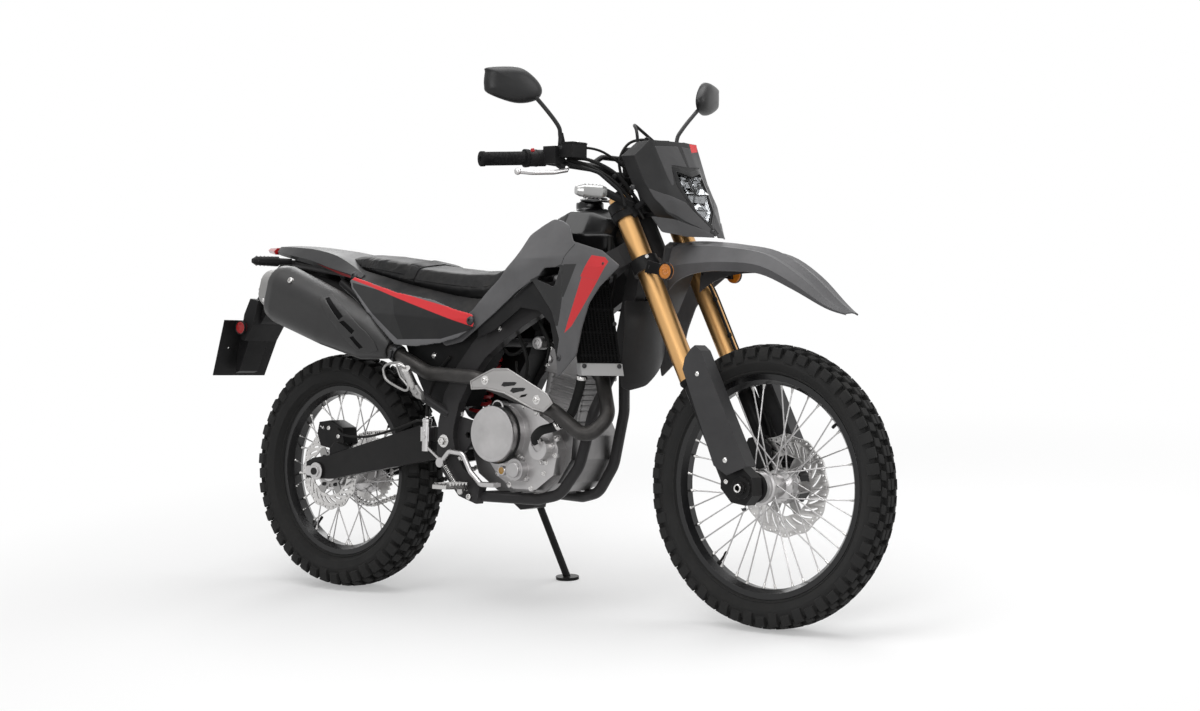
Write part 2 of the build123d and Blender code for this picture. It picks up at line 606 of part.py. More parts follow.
# ---------------------------------------------------------------- frame
def frame():
    """Twin beams from the steering head, down tube, cradle and pivot plates, in one weldment."""
    head = rod(on_axis(893), on_axis(1000), 30)
    # x, y, z, depth of the right beam's centre line
    spar = [(1078, -22, 948, 60), (1020, -44, 913, 54), (925, -104, 850, 64), (789, -130, 778, 62),
            (700, -SPAR_Y, 724, 60), (628, -SPAR_Y, 672, 59), (572, -SPAR_Y, 610, 58),
            (530, -SPAR_Y, 540, 58), (511, -SPAR_Y, 470, 56), (508, -SPAR_Y, 400, 52)]
    y_low, y_high = -SPAR_Y - SPAR_THICK / 2, -SPAR_Y + SPAR_THICK / 2
    plate = side_plate([(482, 440), (536, 440), (546, 400), (572, 362), (634, 312), (622, 268),
                        (560, 286), (500, 348), (480, 400)], y_low, y_high)
    bracket = side_plate([(528, 470), (552, 492), (598, 482), (606, 452), (566, 402), (544, 392)],
                         y_high - 10, y_high - 2)
    bracket -= across(574, 446, y_low, y_high, 9)
    hanger = rod((512, y_low + 8, 500), (450, -196, 552), 12)
    right = beam(spar, SPAR_THICK) + plate + bracket + hanger
    tube = pipe([(975, -16, 640), (940, -62, 515), (902, -70, 375), (845, -78, 300),
                 (780, -92, 285), (610, -130, 288)], 14.5, [80, 90, 60, 70])
    down = beam([(1056, 0, 930, 44), (1033, 0, 880, 34), (1022, 0, 830, 40), (1000, 0, 730, 40),
                 (966, 0, 616, 36)], 40)
    weldment = joined(right + tube) + head + down
    for x, z, radius in ((PIVOT[0], PIVOT[1], 10), (600, 286, 13), (640, 690, 12)):
        weldment += across(x, z, -SPAR_Y, SPAR_Y, radius)
    stand_lug = side_plate([(530, 316), (604, 276), (596, 246), (548, 238), (520, 256)],
                           y_high - 20 + 2 * SPAR_Y - SPAR_THICK, SPAR_Y + SPAR_THICK / 2)
    stand_pin = rod(STAND_PIVOT - STAND_AXIS * 32, STAND_PIVOT + STAND_AXIS * 13, STAND_PIN_R)
    weldment += stand_lug + stand_pin
    weldment -= rod(on_axis(800), on_axis(1100), 18.5)
    swing_space = across(PIVOT[0], PIVOT[1], -126.1, -10, 24.1)
    parts["main_frame"] = weldment - swing_space.cut(across(PIVOT[0], PIVOT[1], -130, 0, 10))

    upper = [(700, -104, 740), (380, -110, 800), (60, -98, 878), (-160, -66, 904)]
    lower = [(548, -118, 640), (300, -112, 704), (60, -98, 850)]
    rails = joined(pipe(upper, 12, [200, 200]) + pipe(lower, 11, [150]))
    for x, y, z in ((560, 108, 766), (60, 98, 866)):
        rails += across(x, z, -y, y, 9)
    parts["subframe"] = rails - parts["main_frame"]


def swingarm():
    """The swingarm with the rear axle."""
    arm = side_plate([(524, 462), (382, 463), (45, 372), (-20, 362), (-46, 350), (-46, 306),
                      (45, 306), (401, 369), (524, 394)], -124, -98)
    window = side_plate([(300, 424), (130, 378), (130, 348), (300, 378)], -99, -111)
    lug = across(0, REAR_TYRE_R, -130, -124, 19)
    arms = joined(arm - window + lug)
    tube = across(PIVOT[0], PIVOT[1], -124, 124, 24)
    cross = box(372, 424, -98, 98, 378, 420)
    axle = across(0, REAR_TYRE_R, -142, 138, AXLE_R)
    parts["swingarm"] = arms + tube + cross + axle - across(*PIVOT, -130, 130, 10.05)


# ---------------------------------------------------------------- engine
def engine():
    """The crankcase block with its covers, the cylinder and the head."""
    outline = [(572, 345), (640, 303), (800, 303), (846, 330), (890, 392), (896, 452),
               (868, 500), (800, 520), (640, 530), (566, 500), (548, 470), (552, 400)]
    cases = side_plate(outline, -90, 90)
    pocket = across(*FRONT_SPROCKET, CHAIN_Y - 12, 91, SMALL_SPROCKET_R + 13)
    run_out = side_plate([(500, 380), (590, 384), (590, 490), (500, 490)], CHAIN_Y - 12, 91)
    ribs = []
    for x in (660, 700, 740, 780):
        ribs.append(box(x - 3, x + 3, -60, 60, 297, 306))
    parts["crankcase"] = cases - pocket - run_out - parts["main_frame"] + ribs

    right_cover = side_plate([(618, 402), (672, 340), (722, 312), (800, 312), (858, 352),
                              (874, 420), (842, 486), (760, 530), (650, 534), (612, 480)],
                             -122, -90)
    clutch = across(684, 453, -140, -122, 77) + across(684, 453, -166, -144, 74)
    seal = across(684, 453, -144, -140, 70)
    clutch_face = fillet((clutch + seal).edges().group_by(Axis.Y)[0], 5)
    filter_cap = across(745, 362, -146, -122, 29) + across(745, 362, -152, -146, 20)
    filler = across(690, 522, -150, -122, 17)
    pump = across(824, 420, -146, -122, 30) + rod((824, -136, 420), (823, -150, 436), 14)
    window = across(686, 357, -128, -122, 12)
    right = right_cover + clutch_face + filter_cap + filler + pump + window
    left_cover = side_plate([(650, 352), (712, 308), (812, 312), (872, 380), (870, 452),
                             (806, 512), (680, 512), (640, 450)], 90, 124)
    flywheel = across(768, 412, 124, 152, 70) + across(768, 412, 152, 158, 30)
    guard = side_plate([(530, 402), (560, 376), (652, 372), (652, 500), (560, 496), (532, 474)],
                       95, 112)
    left = left_cover + flywheel + guard
    parts["engine_covers"] = Compound([*right.solids(), *left.solids()])

    lean = (0.20, 0, 1)
    base = Plane(origin=(822, 0, 500), z_dir=lean, x_dir=(1, 0, -0.20))
    barrel = extrude(base * RectangleRounded(116, 126, 26), amount=112)
    studs = []
    for x in (-48, 48):
        for y in (-56, 56):
            studs.append(extrude(base * Pos(x, y) * Circle(12), amount=112))
    barrel = (barrel + studs) - cases
    top = base.offset(112)
    head = extrude(top * RectangleRounded(136, 150, 18), amount=70)
    head += extrude(top.offset(8) * Pos(66, 0) * RectangleRounded(34, 70, 8), amount=44)
    cam_boss = rod((776, -96, 690), (776, -70, 690), 17)
    cover = extrude(top.offset(70) * RectangleRounded(118, 140, 20), amount=32, taper=12)
    for x in (-46, 0, 46):
        cover += extrude(top.offset(70) * Pos(x, 0) * RectangleRounded(8, 134, 3), amount=36)
    parts["cylinder"] = barrel + head + cover + cam_boss


def exhaust():
    """The header pipe, its shield and the slab-sided muffler."""
    header = pipe([(905, -50, 652), (974, -70, 602), (1026, -106, 506), (988, -146, 450),
                   (905, -180, 520), (640, -183, 598), (470, -180, 606), (324, -174, 668)],
                  19, [36, 44, 38, 60, 80, 90])
    header = header - parts["cylinder"]
    parts["exhaust_pipe"] = max(header.solids(), key=lambda s: s.volume)
    axis = Plane(origin=(330, -172, 668), z_dir=(-0.939, -0.046, 0.343), x_dir=(0, 1, 0.134))
    # distance back, width, height, corner radius
    rows = [(0, 56, 56, 27), (90, 92, 128, 42), (240, 110, 158, 52), (425, 116, 166, 55),
            (452, 104, 152, 48)]
    can = loft([axis.offset(back) * RectangleRounded(wide, high, corner)
                for back, wide, high, corner in rows], ruled=True)
    cap_rows = [(452, 88, 128, 40), (496, 70, 96, 33)]
    cap = loft([axis.offset(back) * RectangleRounded(wide, high, corner)
                for back, wide, high, corner in cap_rows], ruled=True)
    outlet = axis.offset(470) * Pos(0, -8) * Circle(22)
    muffler = can + cap - extrude(outlet, amount=40)
    parts["muffler"] = muffler - parts["exhaust_pipe"]
    outline = [(654, 569), (650, 588), (690, 606), (728, 621), (777, 622), (910, 561), (928, 540),
               (899, 518), (864, 524), (766, 562), (700, 572)]
    shield = chamfer(side_plate(outline, -212, -204).faces().sort_by(Axis.Y)[0].edges(), 3)
    for x, z in ((808, 566), (832, 555)):
        slot = [(x - 14, z - 5), (x - 8, z + 2), (x + 14, z + 6), (x + 8, z - 1)]
        shield -= side_plate(slot, -220, -200)
    shield += across(690, 590, -206, -199, 8) + across(880, 542, -206, -199, 8)
    parts["heat_shield"] = shield - parts["exhaust_pipe"]


def radiator():
    """The radiator on the right, its slatted guard and the hose to the water pump."""
    # plan view corners, front edge first; the top stands further back than the bottom
    plan = [(1004, -190), (1060, -102), (1032, -84), (976, -172)]

    def slab(z_low, z_high, grow):
        faces = []
        for z in (z_low, z_high):
            back = (z - 640) * 0.20
            cx, cy = 1018 - back, -137
            corners = [(cx + (x - 1018) * grow, cy + (y + 137) * grow, z) for x, y in plan]
            faces.append(make_face(Polyline(*corners, close=True)))
        return loft(faces, ruled=True)

    core = slab(640, 850, 1.0) + slab(610, 640, 1.06) + slab(850, 874, 1.04)
    parts["radiator"] = core - parts["main_frame"]
    front, along = Vector(1004, -190, 0), Vector(56, 88, 0)
    outward = Vector(88, -56, 0).normalized()
    slats = []
    for i in range(11):
        foot = front + along * ((i + 0.5) / 11) + outward * 1.5
        low, high = foot + Vector(-1, 0, 646), foot + Vector(-41, 0, 846)
        slats.append(rod(low, high, 2.6))
    for i in range(4):
        z = 660 + i * 58
        shift = Vector(-(z - 640) * 0.20, 0, z) + outward * 1.5
        slats.append(rod(front + shift, front + along + shift, 2.6))
    grille = slats[0].fuse(*slats[1:])
    parts["radiator_grille"] = grille - parts["radiator"]
    hose = pipe([(960, -136, 611), (944, -128, 560), (936, -122, 508), (900, -124, 468),
                 (850, -140, 458), (823, -152, 436)], 12, [60, 50, 40, 22])
    parts["coolant_hose"] = hose - parts["radiator"] - parts["engine_covers"]


# ---------------------------------------------------------------- bodywork
def tank_and_shrouds():
    """The fuel tank, the shrouds beside it and the panels behind them."""
    # x, then (half width, height) from the bottom to the top
    tank = [(650, (62, 812), (78, 862), (46, 898), (0, 902)),
            (740, (84, 850), (102, 912), (62, 960), (0, 968)),
            (800, (92, 860), (112, 946), (72, 1004), (0, 1016)),
            (860, (94, 870), (112, 966), (76, 1028), (0, 1042)),
            (920, (72, 890), (92, 968), (62, 1026), (0, 1038)),
            (962, (48, 915), (66, 968), (44, 1010), (0, 1022)),
            (984, (34, 935), (46, 966), (30, 992), (0, 1000))]
    cap = rod((866, 0, 1036), (866, 0, 1056), 36) + rod((866, 0, 1056), (866, 0, 1060), 24)
    parts["fuel_tank"] = body_along_x(tank) + cap - parts["main_frame"]

    # x, then (distance from the centre plane, height) of the right shroud's outer face
    face = [(500, (176, 640), (174, 770), (160, 910)),
            (640, (182, 640), (178, 790), (152, 910)),
            (760, (190, 600), (176, 880), (128, 985)),
            (850, (204, 590), (184, 905), (120, 1014)),
            (935, (213, 590), (196, 905), (146, 1000)),
            (1000, (218, 590), (212, 900), (180, 962)),
            (1090, (222, 590), (228, 880), (214, 940)),
            (1165, (226, 590), (235, 868), (232, 905))]
    outline = [(785, 967), (820, 990), (851, 1007), (890, 1001), (927, 985), (962, 946),
               (1088, 920), (1157, 882), (1125, 858), (1086, 829), (1050, 790), (1026, 730),
               (1009, 661), (945, 604), (938, 651), (945, 700), (912, 770), (832, 849),
               (772, 818), (700, 765), (640, 725), (586, 690), (525, 678), (500, 700),
               (560, 735), (626, 776), (669, 821), (709, 855), (751, 905), (769, 933)]
    hole = [(874, 880), (936, 882), (916, 831), (848, 850)]
    panel = skin_along_x(face, 4.5) & side_plate(outline, -260, -100)
    # a darker infill panel lies a little further in, behind the hole and below the strip
    infill_outline = [(832, 849), (848, 852), (914, 829), (946, 880), (960, 800), (946, 690),
                      (938, 640), (905, 740), (860, 772), (790, 780), (700, 722), (640, 700),
                      (640, 726), (700, 766), (772, 819)]
    infill = skin_along_x([(x, *[(y - 5, z) for y, z in row]) for x, *row in face], 3.5)
    infill &= side_plate(infill_outline, -260, -100)
    panel = panel - side_plate(hole, -260, -100)
    parts["shrouds"] = both_sides(max(panel.solids(), key=lambda s: s.volume))
    parts["shroud_infills"] = both_sides(max((infill - panel).solids(), key=lambda s: s.volume))


def seat():
    """The long seat, drawn in along its base, with a step for the passenger."""
    rows = [(48, (44, 896), (60, 908), (52, 922), (0, 927)),
            (120, (76, 880), (92, 892), (78, 918), (0, 925)),
            (200, (100, 862), (114, 878), (94, 910), (0, 920)),
            (330, (112, 834), (128, 852), (106, 892), (0, 905)),
            (345, (112, 832), (128, 850), (104, 884), (0, 896)),
            (430, (116, 816), (130, 838), (106, 874), (0, 886)),
            (520, (114, 800), (128, 826), (98, 866), (0, 878)),
            (600, (108, 794), (118, 826), (84, 866), (0, 879)),
            (670, (90, 806), (100, 848), (66, 892), (0, 904)),
            (720, (74, 845), (86, 880), (54, 922), (0, 934)),
            (764, (66, 890), (74, 925), (46, 960), (0, 971))]
    body = body_along_x(rows)
    parts["seat"] = body - parts["fuel_tank"] - parts["main_frame"] - parts["subframe"]


def side_covers_and_tail():
    """The side covers, the tail cowl and its lamp."""
    face = [(140, (206, 660), (192, 770), (142, 880)),
            (350, (208, 660), (200, 760), (156, 860)),
            (500, (204, 660), (196, 750), (160, 850)),
            (700, (194, 660), (184, 750), (158, 850))]
    outline = [(144, 852), (163, 830), (369, 680), (445, 676), (530, 686), (586, 700), (640, 730),
               (628, 762), (560, 776), (480, 800), (342, 820), (207, 852), (160, 862)]
    cover = skin_along_x(face, 4) & side_plate(outline, -260, -100)
    trim_space = parts["muffler"].moved(Location((0, 0, 1)))
    right = max((cover - trim_space - parts["shrouds"]).solids(), key=lambda s: s.volume)
    left = mirror(max((cover - parts["shrouds"]).solids(), key=lambda s: s.volume),
                  about=Plane.XZ)
    parts["side_covers"] = Compound([right, *left.solids()])

    rows = [(-273, (24, 938), (28, 944), (20, 954), (0, 957)),
            (-235, (58, 930), (64, 938), (48, 954), (0, 958)),
            (-150, (84, 916), (92, 926), (70, 950), (0, 955)),
            (-60, (96, 898), (106, 912), (82, 942), (0, 947)),
            (30, (108, 878), (120, 890), (92, 924), (0, 932)),
            (110, (122, 862), (132, 874), (104, 893), (0, 896)),
            (170, (126, 852), (136, 860), (124, 868), (0, 870))]
    body = body_along_x(rows)
    under = [(x + (4 if x < -200 else 0), *[(max(y - 5, 0), z - 7) for y, z in row])
             for x, *row in rows[1:]]
    body -= body_along_x([(180, *under[-1][1:])] + under[::-1])
    body -= parts["subframe"]
    body = body - parts["seat"] - parts["side_covers"]
    parts["tail"] = max(body.solids(), key=lambda s: s.volume)

    lamp = body_along_x([(-312, (26, 938), (32, 946), (22, 952), (0, 953)),
                         (-262, (50, 932), (57, 940), (44, 951), (0, 954))])
    reflector = rod((-384, -63, 722), (-384, -71, 722), 19)
    lamps = (lamp - parts["tail"]).solids() + both_sides(reflector).solids()
    parts["tail_lamp"] = Compound(lamps)


def rear_mudguard():
    """The inner mudguard, the plate bracket and its panel, and the rear signals."""
    centre_line = [(424, 505, 0), (410, 560, 4), (330, 676, 8), (200, 768, 10), (60, 838, 10),
                   (-150, 893, 8)]
    faces = []
    for i, (x, z, drop) in enumerate(centre_line):
        before = centre_line[max(i - 1, 0)]
        after = centre_line[min(i + 1, len(centre_line) - 1)]
        run = Vector(after[0] - before[0], 0, after[1] - before[1]).normalized()
        up = Vector(run.Z, 0, -run.X)
        at = Vector(x, 0, z)
        half = Vector(0, 78, 0)
        low = up * -(12 + drop)
        corners = [at - half + low, at - half * 0.86, at + half * 0.86, at + half + low,
                   at + half + low + Vector(0, -4, 0), at + half * 0.82 - up * 4,
                   at - half * 0.82 - up * 4, at - half + low + Vector(0, 4, 0)]
        faces.append(make_face(Polyline(*corners, close=True)))
    guard = loft(faces, ruled=True) - parts["subframe"] - parts["main_frame"]
    guard = guard - parts["tail"] - parts["seat"]
    parts["inner_fender"] = max(guard.solids(), key=lambda s: s.volume)

    plane = Plane(origin=PLATE_CENTRE, z_dir=PLATE_NORMAL, x_dir=(0, 1, 0))
    outline = plane * make_face(Polyline((-115, -86), (115, -86), (100, 86), (-100, 86),
                                         close=True))
    plate = extrude(outline, amount=1.5, both=True)
    holes = [rod(p - PLATE_NORMAL * 5, p + PLATE_NORMAL * 5, PLATE_HOLE_R) for p in PLATE_HOLES]
    parts["plate_panel"] = plate - holes
    spine = side_plate([(-170, 905), (-240, 918), (-300, 868), (-352, 806), (-400, 752),
                        (-432, 660), (-440, 590), (-424, 596), (-378, 700), (-330, 740),
                        (-262, 826), (-190, 880)], -36, 36)
    wings = side_plate([(-353, 806), (-378, 760), (-392, 690), (-374, 684), (-340, 730),
                        (-318, 800)], -62, 62)
    bracket = spine + wings - parts["tail"] - parts["subframe"]
    bracket = bracket - parts["inner_fender"] - parts["tail_lamp"]
    bracket -= side_plate([(-520, 560), (-405, 560), (-345, 780), (-420, 800), (-520, 700)],
                          -130, 130) & extrude(plane.offset(-1.5) * Rectangle(300, 300),
                                               amount=60)
    parts["plate_carrier"] = max(bracket.solids(), key=lambda s: s.volume)
    root = Plane(origin=(-172, -104, 909), z_dir=(-0.28, -0.96, 0), x_dir=(0.96, -0.28, 0))
    arm = loft([root.offset(-22) * RectangleRounded(26, 18, 6),
                root.offset(20) * RectangleRounded(26, 20, 8)], ruled=True)
    lens = loft([root.offset(20) * RectangleRounded(34, 28, 10),
                 root.offset(84) * RectangleRounded(28, 24, 9),
                 root.offset(96) * RectangleRounded(14, 12, 4)], ruled=True)
    signal = arm + lens - parts["tail"] - parts["subframe"] - parts["muffler"]
    parts["rear_signals"] = both_sides(max(signal.solids(), key=lambda s: s.volume))


def airbox_and_splash():
    """The black box behind the engine and the panel beside the radiator."""
    outline = [(352, 690), (372, 644), (428, 548), (466, 520), (540, 520), (580, 600),
               (620, 660), (640, 720), (600, 760), (440, 760), (360, 740)]
    side = side_plate(outline, -148, -52)
    side = side - parts["main_frame"] - parts["subframe"] - parts["side_covers"]
    side = side - parts["seat"] - parts["exhaust_pipe"] - parts["inner_fender"]
    side = side - parts["passenger_pegs"]
    parts["airbox"] = both_sides(max(side.solids(), key=lambda s: s.volume))

    # z, half width, x of the edge, x of the ridge: the apron behind the front wheel
    rows = [(572, 58, 1034, 1040), (590, 74, 1034, 1046), (660, 76, 1040, 1056),
            (740, 76, 1049, 1062), (800, 70, 1052, 1060)]
    faces = []
    for z, half, edge, ridge in rows:
        corners = [(edge, -half, z), (ridge, 0, z), (edge, half, z), (edge - 4, half, z),
                   (ridge - 4, 0, z), (edge - 4, -half, z)]
        faces.append(make_face(Polyline(*corners, close=True)))
    apron = loft(faces, ruled=True)
    apron += box(984, 1053, -14, 14, 640, 652)
    parts["splash_panel"] = apron - parts["main_frame"]


# ---------------------------------------------------------------- pegs, pedals, brakes
def pegs_and_controls():
    """Footpegs, the brake pedal with its pump, and the shift lever."""
    saw = []
    for i in range(7):
        y = -162 - i * 12
        saw += [(y, 316), (y - 6, 324)]
    peg_face = [(-160, 306), *saw, (-250, 318), (-250, 308)]
    peg = front_plate(peg_face, 556, 604) - front_plate([(-168, 300), (-168, 330), (-242, 330),
                                                         (-242, 300)], 568, 592)
    peg += across(580, 300, -172, -154.5, 9)
    parts["rider_pegs"] = both_sides(peg - parts["main_frame"])

    base, tip = Vector(452, -206, 556), Vector(466, -262, 618)
    flat = rod(base, tip, 12) + rod((450, -196.5, 552.5), base, 13)
    wire = pipe([tuple(base + Vector(0, -6, -4)), (424, -238, 596), (432, -266, 634),
                 tuple(tip + Vector(-2, 0, 4))], 3, [16, 12])
    parts["passenger_pegs"] = both_sides((flat + wire) - parts["main_frame"])

    pedal = pipe([(506, -164, 372), (538, -168, 402), (590, -172, 398), (622, -176, 352),
                  (664, -182, 322), (724, -186, 323)], 7, [18, 22, 22, 22])
    pedal += across(506, 372, -172, -154.5, 13) + box(676, 724, -200, -172, 318, 328)
    pump = rod((428, -140, 398), (430, -140, 478), 12) + box(414, 444, -148, -124.5, 424, 462)
    pump += rod((429, -140, 410), (500, -158, 376), 4)
    parts["brake_pedal"] = pedal + pump - parts["main_frame"] - parts["swingarm"]
    shift = pipe([(612, 134, 352), (648, 150, 334), (716, 158, 330), (748, 160, 334)], 6,
                 [20, 24])
    shift += across(748, 334, 152, 186, 9)
    shift += across(612, 352, 114, 142, 9)
    parts["shift_lever"] = shift - parts["engine_covers"] - parts["main_frame"]


def brakes():
    """Both calipers and the rear shock."""
    gap = 5.3
    rear = side_plate([(-14, 462), (30, 468), (78, 448), (84, 404), (40, 388), (-8, 396),
                       (-22, 430)], -108, -52)
    rear -= across(0, REAR_TYRE_R, REAR_DISC_Y - DISC_THICK / 2 - gap,
                   REAR_DISC_Y + DISC_THICK / 2 + gap, REAR_DISC_R + gap)
    bracket = side_plate([(60, 410), (84, 404), (120, 392), (120, 378), (40, 372), (40, 392)],
                         -120, -98)
    parts["rear_caliper"] = rear + bracket - parts["swingarm"]
    front = side_plate([(1338, 436), (1352, 462), (1384, 470), (1416, 446), (1420, 410),
                        (1390, 384), (1352, 392)], 42, 80)
    front -= across(WHEELBASE, FRONT_TYRE_R, FRONT_DISC_Y - DISC_THICK / 2 - gap,
                    FRONT_DISC_Y + DISC_THICK / 2 + gap, FRONT_DISC_R + gap)
    front += across(1394, 404, 78, 86, 12) + across(1378, 452, 78, 90, 10)
    front += side_plate([(1366, 452), (1390, 462), (1404, 440), (1390, 430)], 74, 90)
    parts["front_caliper"] = front - parts["fork_legs"] - parts["fork_guards"]
    coils = []
    low, high = Vector(474, 0, 488), Vector(540, 0, 690)
    way = (high - low).normalized()
    for i in range(9):
        coils.append(rod(low + way * (28 + 17 * i), low + way * (37 + 17 * i), 31))
    body = rod(low - way * 4, high, 20) + rod(low + way * 185, high - way * 10, 30)
    parts["shock"] = body + coils - parts["main_frame"] - parts["swingarm"]


def side_stand():
    """The side stand: a leg on a pin, with a foot that is flat on the floor."""
    drop = STAND_PIVOT.dot(FLOOR_UP) - FLOOR_LEVEL - 0.5 * STAND_FOOT_THICK
    foot_end = STAND_PIVOT + STAND_DOWN * (drop / -STAND_DOWN.dot(FLOOR_UP))
    leg = rod(STAND_PIVOT, foot_end, 10)
    boss = rod(STAND_PIVOT - STAND_AXIS * 11, STAND_PIVOT + STAND_AXIS * 11, 17)
    floor_plane = Plane(origin=foot_end, z_dir=FLOOR_UP, x_dir=(1, 0, 0))
    foot = extrude(floor_plane.offset(-STAND_FOOT_THICK / 2) * Ellipse(36, 25),
                   amount=STAND_FOOT_THICK)
    pin_hole = rod(STAND_PIVOT - STAND_AXIS * 30, STAND_PIVOT + STAND_AXIS * 30,
                   STAND_PIN_R + RUNNING)
    parts["side_stand"] = leg + boss + foot - pin_hole


# ---------------------------------------------------------------- the lean onto the stand
BUILDERS = [tyres, wheels, brakes_and_sprocket, chain, fork, front_fender, headlight, cockpit,
            cables, frame, swingarm, engine, exhaust, radiator, tank_and_shrouds, seat,
            side_covers_and_tail, rear_mudguard, pegs_and_controls, airbox_and_splash, brakes,
            side_stand]


def main():
    """Builds every piece, leans the bike, centres it and writes one STEP file for each node."""
    for build in BUILDERS:
        build()
    lean = Rotation(-LEAN, 0, 0)
    leaned = {name: shape.moved(lean) for name, shape in parts.items()}
    boxes = [shape.bounding_box(optimal=True) for shape in leaned.values()]
    low = [min(b.min.X for b in boxes), min(b.min.Y for b in boxes), min(b.min.Z for b in boxes)]
    high = [max(b.max.X for b in boxes), max(b.max.Y for b in boxes)]
    shift = Location((-(low[0] + high[0]) / 2, -(low[1] + high[1]) / 2, -low[2]))
    os.makedirs("parts", exist_ok=True)
    for old in os.listdir("parts"):
        os.remove(os.path.join("parts", old))
    for name, shape in leaned.items():
        export_step(shape.moved(shift), f"parts/{name}.step")
    place = shift * lean
    foot = STAND_PIVOT + STAND_DOWN * ((STAND_PIVOT.dot(FLOOR_UP) - FLOOR_LEVEL)
                                       / -STAND_DOWN.dot(FLOOR_UP))
    points = {"front_axle": FRONT_AXLE, "rear_axle": REAR_AXLE, "head": on_axis(950),
              "stand_pivot": STAND_PIVOT, "stand_foot": foot, "origin": Vector(0, 0, 0),
              "plate_left": PLATE_HOLES[1], "plate_right": PLATE_HOLES[0]}
    ways = {"steer": STEER_AXIS, "across": Vector(0, 1, 0), "stand": STAND_AXIS,
            "plate": PLATE_NORMAL, "up": Vector(0, 0, 1)}
    print("PLACES", json.dumps({
        "points": {k: tuple((place * Location(tuple(v))).position) for k, v in points.items()},
        "ways": {k: tuple((lean * Location(tuple(v))).position) for k, v in ways.items()}}))


if __name__ == "__main__":
    main()
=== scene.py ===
# %% [markdown]
# # A dual sport motorcycle, dressed in Blender
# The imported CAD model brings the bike's construction: frame, wheels, engine castings and panels at
# their real size. This lesson adds what the eye looks for: finishes, tread lugs, chain links,
# fasteners, a soft seat, lamp glass and the small fittings. We start by loading that frame and
# keeping its box, because nothing that we add may make the bike larger.

import json
from math import asin, atan2, cos, degrees, pi, radians, sin, tan

import bmesh
import bpy
from mathutils import Matrix, Vector
from mathutils.bvhtree import BVHTree

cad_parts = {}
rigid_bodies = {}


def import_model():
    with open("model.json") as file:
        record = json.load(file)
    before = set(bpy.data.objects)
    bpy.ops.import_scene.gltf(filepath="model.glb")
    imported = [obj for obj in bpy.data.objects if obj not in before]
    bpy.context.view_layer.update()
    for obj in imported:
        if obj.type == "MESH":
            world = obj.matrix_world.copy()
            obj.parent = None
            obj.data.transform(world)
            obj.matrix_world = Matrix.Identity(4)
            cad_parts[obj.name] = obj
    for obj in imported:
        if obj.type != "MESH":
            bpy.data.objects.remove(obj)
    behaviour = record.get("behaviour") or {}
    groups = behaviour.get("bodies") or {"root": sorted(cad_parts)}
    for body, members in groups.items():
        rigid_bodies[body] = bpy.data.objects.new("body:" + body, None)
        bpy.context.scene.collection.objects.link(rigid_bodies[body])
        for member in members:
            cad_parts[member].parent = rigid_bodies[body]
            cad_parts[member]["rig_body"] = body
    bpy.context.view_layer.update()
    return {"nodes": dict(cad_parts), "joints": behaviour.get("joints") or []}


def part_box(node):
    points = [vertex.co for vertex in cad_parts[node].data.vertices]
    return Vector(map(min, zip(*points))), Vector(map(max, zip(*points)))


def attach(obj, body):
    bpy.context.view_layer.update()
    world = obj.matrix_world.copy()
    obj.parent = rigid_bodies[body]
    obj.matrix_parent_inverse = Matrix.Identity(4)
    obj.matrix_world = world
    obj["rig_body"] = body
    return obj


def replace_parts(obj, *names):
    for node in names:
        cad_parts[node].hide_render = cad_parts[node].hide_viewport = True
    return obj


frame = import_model()

# %% [markdown]
# A parked bike leans, and it's awkward to place a bolt in a leaning frame. So every piece here is
# built in millimetres in the bike's own upright frame, X forward from the rear axle, Y to the
# rider's left and Z up from the ground. One matrix then leans it over with the rest. The rear
# wheel's joint gives that matrix: its place is the axle and its axis shows how far the bike leans.

# %% the bike's own frame
joints = {joint["name"]: joint for joint in frame["joints"]}
rear_axle = Vector(joints["rear_wheel"]["pos_m"])
LEAN = asin(-joints["rear_wheel"]["axis"][2])
MM = 0.001
REAR_TYRE_R, FRONT_TYRE_R = 326.0, 348.0
WHEELBASE = 1455.0
RAKE = radians(27.5)
TO_ROW = (Matrix.Translation(rear_axle) @ Matrix.Rotation(-LEAN, 4, "X")
    @ Matrix.Translation((0, 0, -REAR_TYRE_R * MM)) @ Matrix.Scale(MM, 4))
SIDES = (-1, 1)            # right and left
RIGHT = SIDES[0]
TO_RIGHT, TO_LEFT = (0, -1, 0), (0, 1, 0)
print("lean", round(degrees(LEAN), 2), "degrees")

# %% [markdown]
# ## Camera
# The camera comes first, because every later choice is judged through it. A long lens from the
# right front quarter, at tank height, keeps the wheels nearly round. It is placed in the bike's
# frame too, so it leans with the bike and the bike stands upright in the picture.

# %% an object in the scene
def in_scene(name, data):
    """A new object that shows some data."""
    thing = bpy.data.objects.new(name, data)
    bpy.context.scene.collection.objects.link(thing)
    return thing


# %% camera
AZIMUTH, ELEVATION, ROLL = radians(39.585), radians(0.247), radians(0.834)
DISTANCE = 6415.8
LOOK_AT = Vector((907.0, 0.0, 659.8))
LENS, SENSOR = 74.61, 36.0

